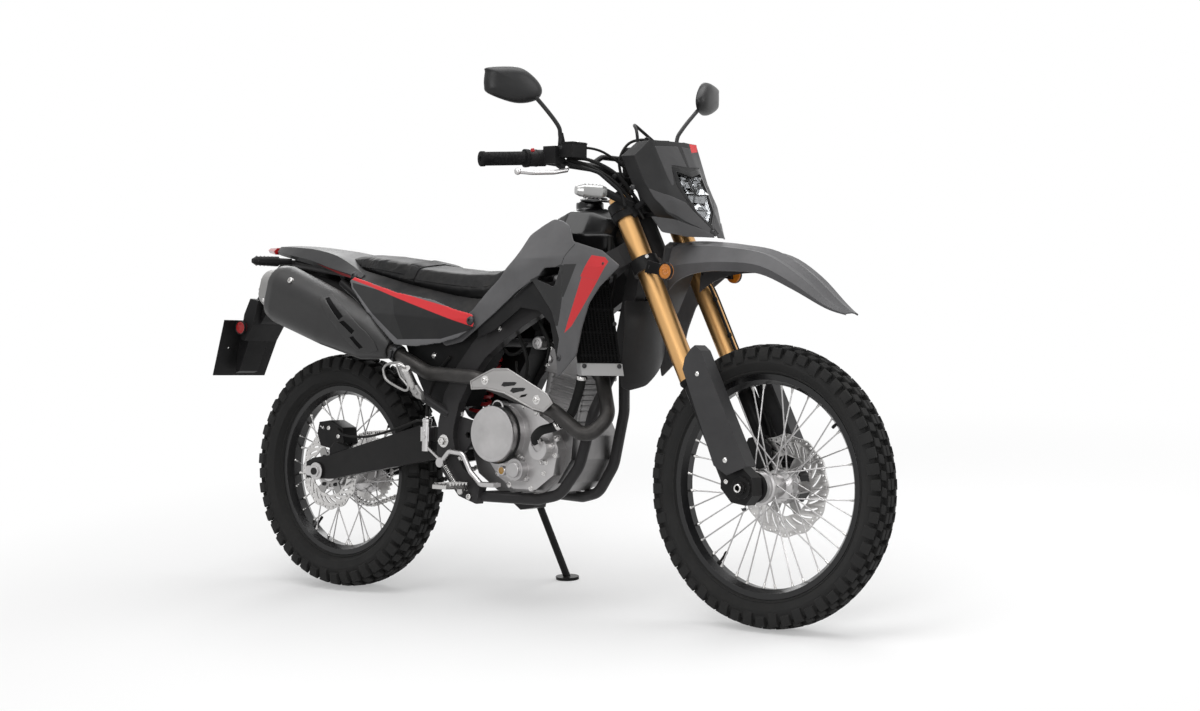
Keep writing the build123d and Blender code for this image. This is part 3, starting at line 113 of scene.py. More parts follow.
towards = Vector((sin(AZIMUTH) * cos(ELEVATION), -cos(AZIMUTH) * cos(ELEVATION), sin(ELEVATION)))
level = (-towards).cross(Vector((0, 0, 1))).normalized()
upward = level.cross(-towards)
right_hand = level * cos(ROLL) + upward * sin(ROLL)
up_hand = upward * cos(ROLL) - level * sin(ROLL)
seat_of_camera = Matrix.Translation(LOOK_AT + towards * DISTANCE)
turn = Matrix((right_hand, up_hand, towards)).transposed().to_4x4()
camera_data = bpy.data.cameras.new("camera")
camera_data.lens, camera_data.sensor_width = LENS, SENSOR
camera = in_scene("camera", camera_data)
placed = TO_ROW @ seat_of_camera @ turn
camera.matrix_world = Matrix.LocRotScale(placed.translation, placed.to_quaternion(), None)
bpy.context.scene.camera = camera
bpy.context.scene.view_settings.view_transform = "Standard"
print("camera at", tuple(round(v, 2) for v in camera.location))

# %% [markdown]
# ## Floor and light
# Dark satin plastic only shows its form through what it mirrors, so the studio has broad soft
# lamps: one long panel overhead, one on the camera's side and a weaker one behind. The floor is
# pale and keeps the shadow. For rays from the camera, and for rays that metal or glass sends
# back, part of it glows, so it reads as white paper without more light falling on the bike.

# %% node helpers
def feed(tree, socket, value):
    """Gives a socket a value, or a link where the value is another node's socket."""
    if isinstance(value, bpy.types.NodeSocket):
        tree.links.new(value, socket)
    else:
        socket.default_value = value


def add_node(tree, kind, **inputs):
    """One shader node; inputs go by their names, or by i and a number where they have none."""
    node = tree.nodes.new("ShaderNode" + kind)
    for name, value in inputs.items():
        key = int(name[1:]) if name[0] == "i" and name[1:].isdigit() else name.replace("_", " ")
        feed(tree, node.inputs[key], value)
    return node


def math_node(tree, operation, *values):
    """A Math node's output for one, two or three values or sockets."""
    node = tree.nodes.new("ShaderNodeMath")
    node.operation = operation
    for socket, value in zip(node.inputs, values):
        feed(tree, socket, value)
    return node.outputs[0]


def ranged(tree, value, low=0.0, high=1.0, to_low=0.0, to_high=1.0):
    """A value's range from low to high, stretched over another range."""
    return add_node(tree, "MapRange", Value=value, From_Min=low, From_Max=high, To_Min=to_low,
                    To_Max=to_high).outputs[0]


def vector_math(tree, operation, *values):
    """The Value that a Vector Math node gives for its vectors or sockets."""
    node = tree.nodes.new("ShaderNodeVectorMath")
    node.operation = operation
    for socket, value in zip(node.inputs, values):
        feed(tree, socket, value)
    return node.outputs["Value"]


def seen_directly(tree):
    """1 for camera, mirror and glass rays, 0 for the light that rays carry around."""
    path = add_node(tree, "LightPath")
    first = math_node(tree, "MAXIMUM", path.outputs["Is Camera Ray"], path.outputs["Is Glossy Ray"])
    return math_node(tree, "MAXIMUM", first, path.outputs["Is Transmission Ray"])


# %% floor and world
FLOOR_R = 60.0             # metres; so wide that its rim lies at the horizon
FLOOR_GAP = 0.0005         # metres that it lies below the tyres, so that no face is shared
GLOW_NEAR, GLOW_FAR = 0.36, 1.0     # share of the floor's white that it gives by itself
GLOW_START, GLOW_END = 0.9, 2.6     # metres from the bike over which that share grows
WORLD_LIGHT = 0.22

floor_mesh = bmesh.new()
bmesh.ops.create_circle(floor_mesh, cap_ends=True, segments=96, radius=FLOOR_R)
floor_data = bpy.data.meshes.new("floor")
floor_mesh.to_mesh(floor_data)
floor_mesh.free()
floor = in_scene("floor", floor_data)
floor.location.z = -FLOOR_GAP

paper = bpy.data.materials.new("studio_paper")
paper.use_nodes = True
tree = paper.node_tree
tree.nodes.clear()
matt = add_node(tree, "BsdfDiffuse", Color=(0.9, 0.9, 0.9, 1))
glow = add_node(tree, "Emission", Color=(1, 1, 1, 1), Strength=1.0)
spot = add_node(tree, "TexCoord")
away = vector_math(tree, "LENGTH", spot.outputs["Object"])
glowing = add_node(tree, "MapRange", Value=away, From_Min=GLOW_START,
                   From_Max=GLOW_END, To_Min=GLOW_NEAR, To_Max=GLOW_FAR)
glowing.interpolation_type = "SMOOTHSTEP"
share = math_node(tree, "MULTIPLY", seen_directly(tree), glowing.outputs[0])
mixed = add_node(tree, "MixShader", i0=share, i1=matt.outputs[0], i2=glow.outputs[0])
add_node(tree, "OutputMaterial", Surface=mixed.outputs[0])
floor_data.materials.append(paper)

world = bpy.data.worlds.new("studio")
bpy.context.scene.world = world
world.use_nodes = True
tree = world.node_tree
tree.nodes.clear()
room = add_node(tree, "Background", Color=(1, 1, 1, 1), Strength=WORLD_LIGHT)
white = add_node(tree, "Background", Color=(1, 1, 1, 1), Strength=1.0)
mixed = add_node(tree, "MixShader", i0=seen_directly(tree), i1=room.outputs[0],
                 i2=white.outputs[0])
add_node(tree, "OutputWorld", Surface=mixed.outputs[0])


# %% lamps
def soft_lamp(name, place, aim, wide, high, power):
    """A rectangular soft box; place and aim in metres in the row frame."""
    data = bpy.data.lights.new(name, "AREA")
    data.shape = "RECTANGLE"
    data.size, data.size_y, data.energy = wide, high, power
    lamp = in_scene(name, data)
    lamp.location = place
    lamp.rotation_euler = (Vector(aim) - Vector(place)).to_track_quat("-Z", "Y").to_euler()


soft_lamp("overhead", (0.3, -0.2, 3.2), (0.1, -0.1, 0.5), 4.2, 2.2, 112)
soft_lamp("camera_side", (2.6, -3.6, 2.2), (0.1, 0, 0.6), 2.4, 1.4, 46)
soft_lamp("front_quarter", (3.6, 1.4, 1.8), (0.2, 0, 0.6), 1.4, 2.0, 30)
soft_lamp("behind", (-2.6, 2.4, 2.4), (0, 0, 0.7), 2.2, 1.4, 34)

# %% [markdown]
# ## Shared effects
# Moulded plastic, castings and paint all vary in the same few ways: a fine grain, broad mottling,
# worn corners and dust that settles on top faces. On the tyre the lighter corners are partly a
# painted highlight on its blocks. Each effect is one node group with named inputs, built once and
# placed in every finish with its own values. The groups put out only masks, heights and normals, so
# the shader itself stays in the material.

# %% group helper
def new_group(name, inputs, outputs):
    """An empty node group; inputs are (name, kind, default), outputs are (name, kind)."""
    group = bpy.data.node_groups.new(name, "ShaderNodeTree")
    for label, kind, value in inputs:
        socket = group.interface.new_socket(label, in_out="INPUT", socket_type="NodeSocket" + kind)
        if value is not None:
            socket.default_value = value
    for label, kind in outputs:
        group.interface.new_socket(label, in_out="OUTPUT", socket_type="NodeSocket" + kind)
    return group, group.nodes.new("NodeGroupInput"), group.nodes.new("NodeGroupOutput")


def use_group(tree, group, **inputs):
    """Places a group in a material and returns the node."""
    node = tree.nodes.new("ShaderNodeGroup")
    node.node_tree = group
    for name, value in inputs.items():
        feed(tree, node.inputs[name.replace("_", " ")], value)
    return node


# %% [markdown]
# *Bike place* turns a point of the surface back into the upright frame of the bike. Paint lines
# and dust then follow the bike, not the room.

# %% bike place
def make_bike_place():
    group, _, out = new_group("bike_place", [], [("Place", "Vector")])
    back = (Matrix.Translation((0, 0, REAR_TYRE_R * MM)) @ Matrix.Rotation(LEAN, 4, "X")
            @ Matrix.Translation(-rear_axle))
    coords = add_node(group, "TexCoord")
    mapping = add_node(group, "Mapping", Vector=coords.outputs["Object"],
                       Location=back.translation, Rotation=(LEAN, 0, 0))
    group.links.new(mapping.outputs[0], out.inputs["Place"])
    return group


bike_place = make_bike_place()


# %% [markdown]
# *Grain* is the fine pebble of a mould or a casting, with a slower mottling for colour. The *worn
# and sheen edge* compares the surface normal with one softened by a Bevel node: where they differ
# there is a corner, and corners lose their paint first; on the tyre these lighter corners are partly
# a painted highlight on the blocks. It hands on the softened normal as well, so crisp CAD corners
# catch a thin highlight. *Dust* gathers where the surface looks up, in patches.

# %% grain, worn edge and dust
def make_grain():
    inputs = [("Place", "Vector", None), ("Scale", "Float", 900.0), ("Depth", "Float", 0.3),
              ("Patches", "Float", 9.0)]
    group, given, out = new_group("grain", inputs, [("Height", "Float"), ("Mottle", "Float")])
    fine = add_node(group, "TexNoise", Vector=given.outputs["Place"],
                    Scale=given.outputs["Scale"], Detail=2.0)
    broad = add_node(group, "TexNoise", Vector=given.outputs["Place"],
                     Scale=given.outputs["Patches"], Detail=4.0, Roughness=0.6)
    height = math_node(group, "MULTIPLY", fine.outputs[0], given.outputs["Depth"])
    group.links.new(height, out.inputs["Height"])
    group.links.new(ranged(group, broad.outputs[0], 0.35, 0.65), out.inputs["Mottle"])
    return group


def make_worn_and_sheen_edge():
    inputs = [("Place", "Vector", None), ("Width", "Float", 0.0012), ("Amount", "Float", 0.5)]
    group, given, out = new_group("worn_and_sheen_edge", inputs, [("Mask", "Float"), ("Normal", "Vector")])
    bevel = add_node(group, "Bevel", Radius=given.outputs["Width"])
    bevel.samples = 3
    plain = add_node(group, "NewGeometry")
    alike = vector_math(group, "DOT_PRODUCT", bevel.outputs[0], plain.outputs["Normal"])
    corner = ranged(group, alike, 0.985, 0.86)
    chips = add_node(group, "TexNoise", Vector=given.outputs["Place"], Scale=120.0, Detail=3.0)
    mask = math_node(group, "MULTIPLY", corner, ranged(group, chips.outputs[0], 0.42, 0.62))
    mask = math_node(group, "MULTIPLY", mask, given.outputs["Amount"])
    group.links.new(mask, out.inputs["Mask"])
    group.links.new(bevel.outputs[0], out.inputs["Normal"])
    return group


def make_dust():
    inputs = [("Place", "Vector", None), ("Amount", "Float", 0.1)]
    group, given, out = new_group("dust", inputs, [("Mask", "Float")])
    plain = add_node(group, "NewGeometry")
    parts = add_node(group, "SeparateXYZ", Vector=plain.outputs["Normal"])
    facing_up = ranged(group, parts.outputs["Z"], 0.1, 1.0, 0.25)
    patches = add_node(group, "TexNoise", Vector=given.outputs["Place"], Scale=26.0,
                       Detail=5.0, Roughness=0.65)
    mask = math_node(group, "MULTIPLY", facing_up, ranged(group, patches.outputs[0], 0.4, 0.7))
    mask = math_node(group, "MULTIPLY", mask, given.outputs["Amount"])
    group.links.new(mask, out.inputs["Mask"])
    return group


grain, worn_and_sheen_edge, dust = make_grain(), make_worn_and_sheen_edge(), make_dust()


# %% [markdown]
# *Zone* is a painted area with a straight-sided outline, such as a stripe. Each side of the
# outline is a line in the side view, and a point is inside when it is on the inner side of all of
# them. That keeps the paint line razor sharp at any distance, with no picture.

# %% zone
PAINT_EDGE = 0.0006        # metres over which a paint line fades


def turn_of(outline):
    """1 for an outline that runs anticlockwise, -1 for one that runs clockwise."""
    area = sum(a[0] * b[1] - b[0] * a[1] for a, b in zip(outline, outline[1:] + outline[:1]))
    return 1 if area > 0 else -1


def zone(tree, place, outline):
    """A mask that is 1 inside a convex outline of the side view, in millimetres."""
    parts = add_node(tree, "SeparateXYZ", Vector=place)
    inside = None
    for (x0, z0), (x1, z1) in zip(outline, outline[1:] + outline[:1]):
        away = Vector((z1 - z0, x0 - x1)).normalized() * turn_of(outline)
        reach = (away.x * x0 + away.y * z0) * MM
        line = math_node(tree, "MULTIPLY_ADD", parts.outputs["X"], away.x, -reach)
        line = math_node(tree, "MULTIPLY_ADD", parts.outputs["Z"], away.y, line)
        inside = line if inside is None else math_node(tree, "MAXIMUM", inside, line)
    return ranged(tree, inside, PAINT_EDGE, -PAINT_EDGE)


def outside(tree, place):
    """A mask that is 1 on faces that look away from the bike's middle plane."""
    coords = add_node(tree, "TexCoord")
    leftward = vector_math(tree, "DOT_PRODUCT", coords.outputs["Normal"],
                           (0, cos(LEAN), -sin(LEAN)))
    side = add_node(tree, "SeparateXYZ", Vector=place).outputs["Y"]
    turned = math_node(tree, "MULTIPLY", leftward, math_node(tree, "SIGN", side))
    return math_node(tree, "GREATER_THAN", turned, 0.15)

# %% [markdown]
# ## Finishes
# One function mixes the shared effects into a Principled shader. What differs between two
# finishes is only their values: a colour and a second tone for the mottling, how rough they are,
# how deep the grain is, what shows where a corner is worn (on the tyre partly a painted highlight)
# and how much dust they hold.

# %% a finish from its values
DUST = (0.22, 0.2, 0.18, 1)
BUMP_STRENGTH, BUMP_HEIGHT = 0.25, 0.0004     # of the full grain, and in metres


def finish(name, colour, tone=None, rough=0.5, metallic=0.0, grain_size=900.0, depth=0.25,
           patches=9.0, bevel=0.0012, wear=0.3, bare_and_sheen=(0.2, 0.2, 0.2), dusty=0.1,
           specular=0.12, coat=0.0, paint=(), brushed=None):
    """A material in which every surface of the bike is finished. paint is a list of (mask maker,
    colour) laid over the ground colour; brushed is the grain's stretch along X, Y and Z."""
    material, tree, shader, place = new_material(name)
    grain_place = place
    if brushed:
        stretched = add_node(tree, "Mapping", Vector=place, Scale=brushed)
        grain_place = stretched.outputs[0]
    rub = use_group(tree, grain, Place=grain_place, Scale=grain_size, Depth=depth, Patches=patches)
    edge = use_group(tree, worn_and_sheen_edge, Place=place, Width=bevel, Amount=wear)
    settled = use_group(tree, dust, Place=place, Amount=dusty)
    tone = tone or tuple(v * 0.8 for v in colour)
    mixed = mix_colour(tree, rub.outputs["Mottle"], (*colour, 1), (*tone, 1))
    for make_mask, over in paint:
        mixed = mix_colour(tree, make_mask(tree, place), mixed, (*over, 1))
    mixed = mix_colour(tree, edge.outputs["Mask"], mixed, (*bare_and_sheen, 1))
    mixed = mix_colour(tree, settled.outputs["Mask"], mixed, DUST)
    tree.links.new(mixed, shader.inputs["Base Color"])
    roughness = ranged(tree, rub.outputs["Mottle"], to_low=rough * 0.88,
                       to_high=min(1, rough * 1.14))
    dulled = math_node(tree, "MULTIPLY", settled.outputs["Mask"], 0.3)
    tree.links.new(math_node(tree, "ADD", roughness, dulled), shader.inputs["Roughness"])
    bump = add_node(tree, "Bump", Strength=BUMP_STRENGTH, Distance=BUMP_HEIGHT,
                    Height=rub.outputs["Height"])
    if bevel:
        tree.links.new(edge.outputs["Normal"], bump.inputs["Normal"])
    tree.links.new(bump.outputs[0], shader.inputs["Normal"])
    shader.inputs["Metallic"].default_value = metallic
    shader.inputs["Specular IOR Level"].default_value = specular
    shader.inputs["Coat Weight"].default_value = coat
    shader.inputs["Coat Roughness"].default_value = 0.12
    return material


def mix_colour(tree, share, first, second):
    """A colour mix; the share and both colours are values or sockets."""
    node = tree.nodes.new("ShaderNodeMix")
    node.data_type = "RGBA"
    for name, value in (("Factor", share), ("A", first), ("B", second)):
        feed(tree, node.inputs[name], value)
    return node.outputs["Result"]


def new_material(name):
    """A material with its tree, its Principled shader and the place in the bike's frame."""
    material = bpy.data.materials.new(name)
    material.use_nodes = True
    tree = material.node_tree
    return (material, tree, tree.nodes["Principled BSDF"],
            use_group(tree, bike_place).outputs["Place"])


# %% [markdown]
# The plain finishes go in one table. Metals keep a full Metallic value and differ in colour and
# roughness; plastics keep none. Names say what the real surface is.

# %% plain finishes
GREY, SMOKE, SOOT, INK = (0.105, 0.104, 0.107), (0.024, 0.024, 0.025), (0.010, 0.010, 0.0105), (
    0.005, 0.005, 0.0055)
SILVER, DULL_SILVER, CAST = (0.55, 0.54, 0.54), (0.36, 0.35, 0.35), (0.26, 0.255, 0.255)
RED = (0.56, 0.035, 0.04)

FINISHES = {
    "black_plastic": dict(colour=SOOT, depth=0.5, dusty=0.06),
    "black_steel": dict(colour=SOOT, rough=0.36, depth=0.15, wear=0.5, bare_and_sheen=DULL_SILVER),
    "body_dark": dict(colour=SMOKE, rough=0.46, depth=0.35, dusty=0.05),
    "body_grey": dict(colour=GREY, tone=(0.094, 0.093, 0.096), rough=0.36, depth=0.1,
                      specular=0.2, dusty=0.03),
    "clear_lens": dict(colour=(0.34, 0.34, 0.335), rough=0.14, depth=0.0, metallic=0.5,
                       specular=0.6, coat=0.5),
    "engine_grey": dict(colour=CAST, rough=0.42, metallic=1.0, grain_size=1400.0, depth=0.5,
                        bevel=0.002, bare_and_sheen=SILVER, dusty=0.12),
    "engine_silver": dict(colour=(0.47, 0.46, 0.46), rough=0.34, metallic=1.0, grain_size=1500.0,
                          depth=0.4, bevel=0.002, bare_and_sheen=SILVER),
    "exhaust_steel": dict(colour=(0.05, 0.048, 0.047), rough=0.42, metallic=0.6, depth=0.3,
                          patches=30.0, dusty=0.12),
    "frame_grey": dict(colour=(0.034, 0.033, 0.034), rough=0.34, depth=0.15, wear=0.35,
                       bare_and_sheen=DULL_SILVER, dusty=0.06),
    "grip_rubber": dict(colour=INK, rough=0.7, depth=0.6, dusty=0.05),
    "lamp_glass": dict(colour=(0.6, 0.62, 0.64), rough=0.08, depth=0.0, coat=1.0),
    "muffler_grey": dict(colour=(0.03, 0.0297, 0.03), tone=(0.026, 0.0257, 0.026), rough=0.4,
                         specular=0.3, wear=0.2, dusty=0.05),
    "radiator_silver": dict(colour=DULL_SILVER, rough=0.4, metallic=1.0, depth=0.3),
    "rim_black": dict(colour=INK, rough=0.2, depth=0.04, bare_and_sheen=DULL_SILVER, specular=0.4,
                      dusty=0.02),
    "silver": dict(colour=SILVER, rough=0.3, metallic=1.0, wear=0.1, bare_and_sheen=SILVER),
    "spring_red": dict(colour=(0.4, 0.02, 0.025), rough=0.3, coat=0.4),
    "steel": dict(colour=(0.58, 0.57, 0.56), rough=0.26, metallic=1.0, depth=0.3,
                  brushed=(1, 1, 0.2), wear=0.1, bare_and_sheen=SILVER),
    # tyre: its lugs' corners take a lighter grey, partly scuffed rubber and partly a painted
    # highlight on the blocks
    "tyre": dict(colour=(0.016, 0.016, 0.016), tone=(0.021, 0.0208, 0.0205), rough=0.8,
                 depth=0.5, grain_size=600.0, wear=0.5, bare_and_sheen=(0.07, 0.069, 0.067), dusty=0.04,
                 specular=0.2),
    "seat_vinyl": dict(colour=(0.009, 0.009, 0.0095), depth=1.0, grain_size=1100.0,
                       bevel=0.0005, wear=0.0, dusty=0.06),
    "gold": dict(colour=(0.6, 0.35, 0.145), tone=(0.54, 0.31, 0.125), rough=0.36, metallic=1.0,
                 depth=0.4, brushed=(1, 1, 0.03), wear=0.1, bare_and_sheen=SILVER, dusty=0.03),
    "red_lens": dict(colour=(0.42, 0.012, 0.014), rough=0.14, depth=0.1, coat=0.8),
    "amber_lens": dict(colour=(0.62, 0.20, 0.015), rough=0.16, depth=0.1, coat=0.8),
    "mirror_glass": dict(colour=(0.82, 0.84, 0.86), rough=0.03, metallic=1.0, depth=0.02,
                         wear=0.0, dusty=0.04),
    "black_glass": dict(colour=INK, rough=0.07, depth=0.0, wear=0.0, specular=0.5, coat=1.0),
    "lamp_chrome": dict(colour=(0.36, 0.365, 0.37), rough=0.12, metallic=1.0, depth=0.02, wear=0.0,
                        dusty=0.0),
    "mirror_black": dict(colour=(0.016, 0.016, 0.0165), rough=0.36, depth=0.08, dusty=0.02,
                         specular=0.25),
    "brake_steel": dict(colour=(0.6, 0.59, 0.58), rough=0.3, metallic=1.0, depth=0.2,
                        brushed=(1, 1, 12)),
    "arm_steel": dict(colour=(0.34, 0.335, 0.33), rough=0.34, metallic=0.8, depth=0.15),
    "gloss_black": dict(colour=(0.006, 0.006, 0.0065), rough=0.2, depth=0.05, specular=0.3,
                        dusty=0.02),
    "core_black": dict(colour=(0.004, 0.004, 0.0042), rough=0.55, depth=0.1, specular=0.06,
                       dusty=0.0),
    "screw_steel": dict(colour=(0.66, 0.65, 0.64), rough=0.24, metallic=1.0, depth=0.2,
                        bevel=0.0005, wear=0.0),
    "dark_bolt": dict(colour=(0.05, 0.05, 0.052), rough=0.4, metallic=0.6, depth=0.3,
                      bevel=0.0005, bare_and_sheen=DULL_SILVER),
    "gold_window": dict(colour=(0.55, 0.30, 0.06), rough=0.1, depth=0.0, coat=1.0),
    "hose_rubber": dict(colour=(0.012, 0.012, 0.012), rough=0.6, depth=0.5, dusty=0.08),
}
finishes = {name: finish(name, **values) for name, values in FINISHES.items()}
print("finishes:", len(finishes))

# %% [markdown]
# The lamp's cover is real glass: it has full transmission and no colour mix, so the facets behind
# it stay sharp. A low index keeps the thin sheet from acting as a lens.

# %% lamp cover
clear_cover, tree, shader, place = new_material("clear_cover")
streaks = use_group(tree, grain, Place=place, Scale=260.0, Depth=0.1, Patches=14.0)
rough = ranged(tree, streaks.outputs["Mottle"], to_low=0.015, to_high=0.05)
tree.links.new(rough, shader.inputs["Roughness"])
shader.inputs["Base Color"].default_value = (0.93, 0.94, 0.95, 1)
shader.inputs["Transmission Weight"].default_value = 1.0
shader.inputs["IOR"].default_value = 1.12
print("glass:", clear_cover.name)

# %% [markdown]
# Each CAD node came in with a flat material named for its slot in the record. Here the slot's
# finish takes that place. The few nodes with paint lines get a finish of their own further on.

# %% dress the CAD nodes
def slot_of(node):
    """The record's slot that a CAD node was packed with."""
    return node.material_slots[0].material.name.split(".")[0]


node_slot = {name: slot_of(node) for name, node in frame["nodes"].items()}
for name, node in frame["nodes"].items():
    if node_slot[name] in finishes:
        for slot in node.material_slots:
            slot.material = finishes[node_slot[name]]
    else:
        print("no finish for slot", node_slot[name], "of", name)

# %% [markdown]
# ## Tools for making pieces
# Almost every fitting on a bike is turned, cut from plate or bent from tube. So there are three
# makers: *lathe* spins a profile, *slab* cuts an outline out of plate and breaks its edges, and
# *sweep* runs a round section along smoothed points. Each adds to a bmesh, so that twenty bolts
# become one piece. *add_piece* leans the result over with the bike and lets it ride on a body.

# %% piece maker
SMOOTH_UNDER = radians(38)
made = {}                  # the faces of each piece


def material_of(look):
    """A finish by its name, or the material itself."""
    return look if isinstance(look, bpy.types.Material) else finishes[look]


def add_piece(name, bm, look, body, slot=None, smooth=SMOOTH_UNDER, in_row=False):
    """Turns a bmesh in the bike's frame into an object that rides on a body."""
    bmesh.ops.recalc_face_normals(bm, faces=bm.faces)
    data = bpy.data.meshes.new(name)
    bm.to_mesh(data)
    bm.free()
    if not in_row:
        data.transform(TO_ROW)
    data.polygons.foreach_set("use_smooth", [True] * len(data.polygons))
    data.set_sharp_from_angle(angle=smooth)
    data.materials.append(material_of(look))
    piece = in_scene(name, data)
    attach(piece, body)
    if slot or look in node_slot.values():
        slot or look
    made[name] = len(data.polygons)
    return piece


def ring(bm, points):
    return [bm.verts.new(p) for p in points]


def bridge(bm, low, high, closed=True):
    """Quads between two rings of the same length."""
    count = len(low)
    for i in range(count if closed else count - 1):
        j = (i + 1) % count
        bm.faces.new((low[i], low[j], high[j], high[i]))


def fan(bm, tip, rim):
    """Triangles from a tip to a closed ring."""
    for i in range(len(rim)):
        bm.faces.new((tip, rim[i], rim[(i + 1) % len(rim)]))


def stack(bm, rings):
    """Walls from each ring to the next, and a flat face at both ends."""
    for low, high in zip(rings, rings[1:]):
        bridge(bm, low, high)
    bm.faces.new(rings[0])
    bm.faces.new(rings[-1])


# %% lathe
def frame_along(way):
    """Two unit vectors square to a direction."""
    way = Vector(way).normalized()
    side = way.cross(Vector((0, 0, 1)))
    if side.length < 0.1:
        side = way.cross(Vector((1, 0, 0)))
    side.normalize()
    return way, side, way.cross(side)


def circle(centre, side, other, radius, steps):
    """Points round a centre, in the plane of two unit vectors."""
    return [centre + (side * cos(a) + other * sin(a)) * radius
            for a in (2 * pi * i / steps for i in range(steps))]


def lathe(bm, at, way, profile, steps=32, closed=False):
    """Spins (radius, distance) points round a direction; a profile that starts or ends at radius 0
    is closed there, others get flat ends unless the profile is closed on itself."""
    way, side, other = frame_along(way)
    rings = []
    for radius, along in profile:
        centre = Vector(at) + way * along
        if radius == 0:
            rings.append([bm.verts.new(centre)])
            continue
        rings.append(ring(bm, circle(centre, side, other, radius, steps)))
    pairs = list(zip(rings, rings[1:])) + ([(rings[-1], rings[0])] if closed else [])
    for low, high in pairs:
        if len(low) == 1 or len(high) == 1:
            fan(bm, *((low[0], high) if len(low) == 1 else (high[0], low)))
        else:
            bridge(bm, low, high)
    if not closed:
        for end in (rings[0], rings[-1]):
            if len(end) > 2:
                bm.faces.new(end)


def collar(bm, at, way, profile, steps):
    """A turned ring with a hole; its profile is a closed outline."""
    lathe(bm, at, way, profile, steps, closed=True)


# %% [markdown]
# A screw is three turned shapes: a washer face, a head with a broken edge, and the recess that the
# tool goes into. A hexagon is only a lathe with six steps.

# %% screws
def screw(bm, at, way, size, kind="flange"):
    """A screw head; size is the radius of the head in millimetres."""
    if kind == "flange":
        lathe(bm, at, way,
              [(size * 1.35, -0.6), (size * 1.35, 0.5), (size * 1.15, 1.1), (size * 0.5, 1.2)], 24)
        lathe(bm, at, way, [(size, 0.8), (size, size * 0.85), (size * 0.84, size),
                            (size * 0.5, size), (size * 0.42, size * 0.8), (0, size * 0.8)], 6)
    elif kind == "socket":
        lathe(bm, at, way,
              [(size, -0.6), (size, size * 0.75), (size * 0.86, size * 0.92),
               (size * 0.55, size * 0.92), (size * 0.5, size * 0.35), (0, size * 0.35)], 24)
    elif kind == "pan":
        lathe(bm, at, way,
              [(size * 1.3, -0.5), (size * 1.3, 0.3), (size * 1.1, size * 0.35),
               (size * 0.75, size * 0.55), (size * 0.45, size * 0.6), (size * 0.4, size * 0.3),
               (0, size * 0.28)], 20)


def screw_pairs(bm, rows):
    """Screws on both sides; a row is the left one's place and way, its size and its kind."""
    for side in SIDES:
        for (x, y, z), (ahead, out, up), size, kind in rows:
            screw(bm, (x, side * y, z), (ahead, side * out, up), size, kind)


# %% slab and sweep
def slab(bm, outline, y_inner, y_outer, edge=1.0):
    """A plate cut from a side view outline, with its outer edge broken."""
    centre = Vector((sum(p[0] for p in outline), sum(p[1] for p in outline))) / len(outline)
    count = len(outline)
    inset = []
    for i in range(count):
        before, here, after = (Vector(outline[(i + k) % count]) for k in (-1, 0, 1))
        a, b = (here - before).normalized(), (after - here).normalized()
        turn_way = 1 if (a.x * b.y - a.y * b.x) >= 0 else -1
        bisector = (b - a)
        if bisector.length < 1e-4:
            bisector = Vector((-a.y, a.x)) * (1 if (centre - here).dot(Vector((-a.y, a.x))) > 0
                                              else -1)
        inward = bisector.normalized() * turn_way * turn_of(outline)
        inset.append(here + inward * edge)
    step = edge if y_outer > y_inner else -edge
    stack(bm, [ring(bm, [(x, y, z) for x, z in line]) for line, y in
               ((outline, y_inner), (outline, y_outer - step), (inset, y_outer))])


def smooth_line(points, steps=8, closed=False):
    """A Catmull-Rom line through the points."""
    points = [Vector(p) for p in points]
    count = len(points)
    line = []
    spans = count if closed else count - 1
    for i in range(spans):
        if closed:
            p0, p1, p2, p3 = (points[(i + k) % count] for k in (-1, 0, 1, 2))
        else:
            p0, p1, p2, p3 = (points[min(max(i + k, 0), count - 1)] for k in (-1, 0, 1, 2))
        for s in range(steps):
            t = s / steps
            line.append(0.5 * (2 * p1 + (p2 - p0) * t + (2 * p0 - 5 * p1 + 4 * p2 - p3) * t * t
                               + (3 * p1 - p0 - 3 * p2 + p3) * t ** 3))
    if not closed:
        line.append(points[-1])
    return line


def quartered(outline):
    """A closed outline with each straight side cut in four, so that its corners stay tight."""
    return [Vector(a).lerp(Vector(b), k / 4) for a, b in zip(outline, outline[1:] + outline[:1])
            for k in range(4)]


def sweep(bm, line, radius, steps=12, closed=False):
    """A round section along a line; radius is a number or a function of the way along (0..1)."""
    line = [Vector(p) for p in line]
    count = len(line)
    rings, side = [], None
    for i, point in enumerate(line):
        if closed:
            way = (line[(i + 1) % count] - line[i - 1]).normalized()
        else:
            way = (line[min(i + 1, count - 1)] - line[max(i - 1, 0)]).normalized()
        if side is None:
            _, side, _ = frame_along(way)
        side = (side - way * side.dot(way)).normalized()
        other = way.cross(side)
        size = radius(i / (count - 1)) if callable(radius) else radius
        rings.append(ring(bm, circle(point, side, other, size, steps)))
    if closed:
        for low, high in zip(rings, rings[1:] + rings[:1]):
            bridge(bm, low, high)
    else:
        stack(bm, rings)


def tube(bm, points, radius, steps=10, fine=6):
    """A hose or a wire: a round section along a smoothed line through the points."""
    sweep(bm, smooth_line(points, fine), radius, steps)


# %% [markdown]
# CAD panels have razor edges and flat facets, while moulded plastic has neither. *moulded* copies a
# node, wraps it in a fine voxel skin, relaxes that skin a little and keeps it within the node's own
# box. The creases stay, but with the small radius that a mould gives them.

# %% moulded copy
def final_mesh(thing):
    """The mesh that an object's modifiers make of it; the object itself goes."""
    data = bpy.data.meshes.new_from_object(
        thing.evaluated_get(bpy.context.evaluated_depsgraph_get()))
    bpy.data.objects.remove(thing)
    return data


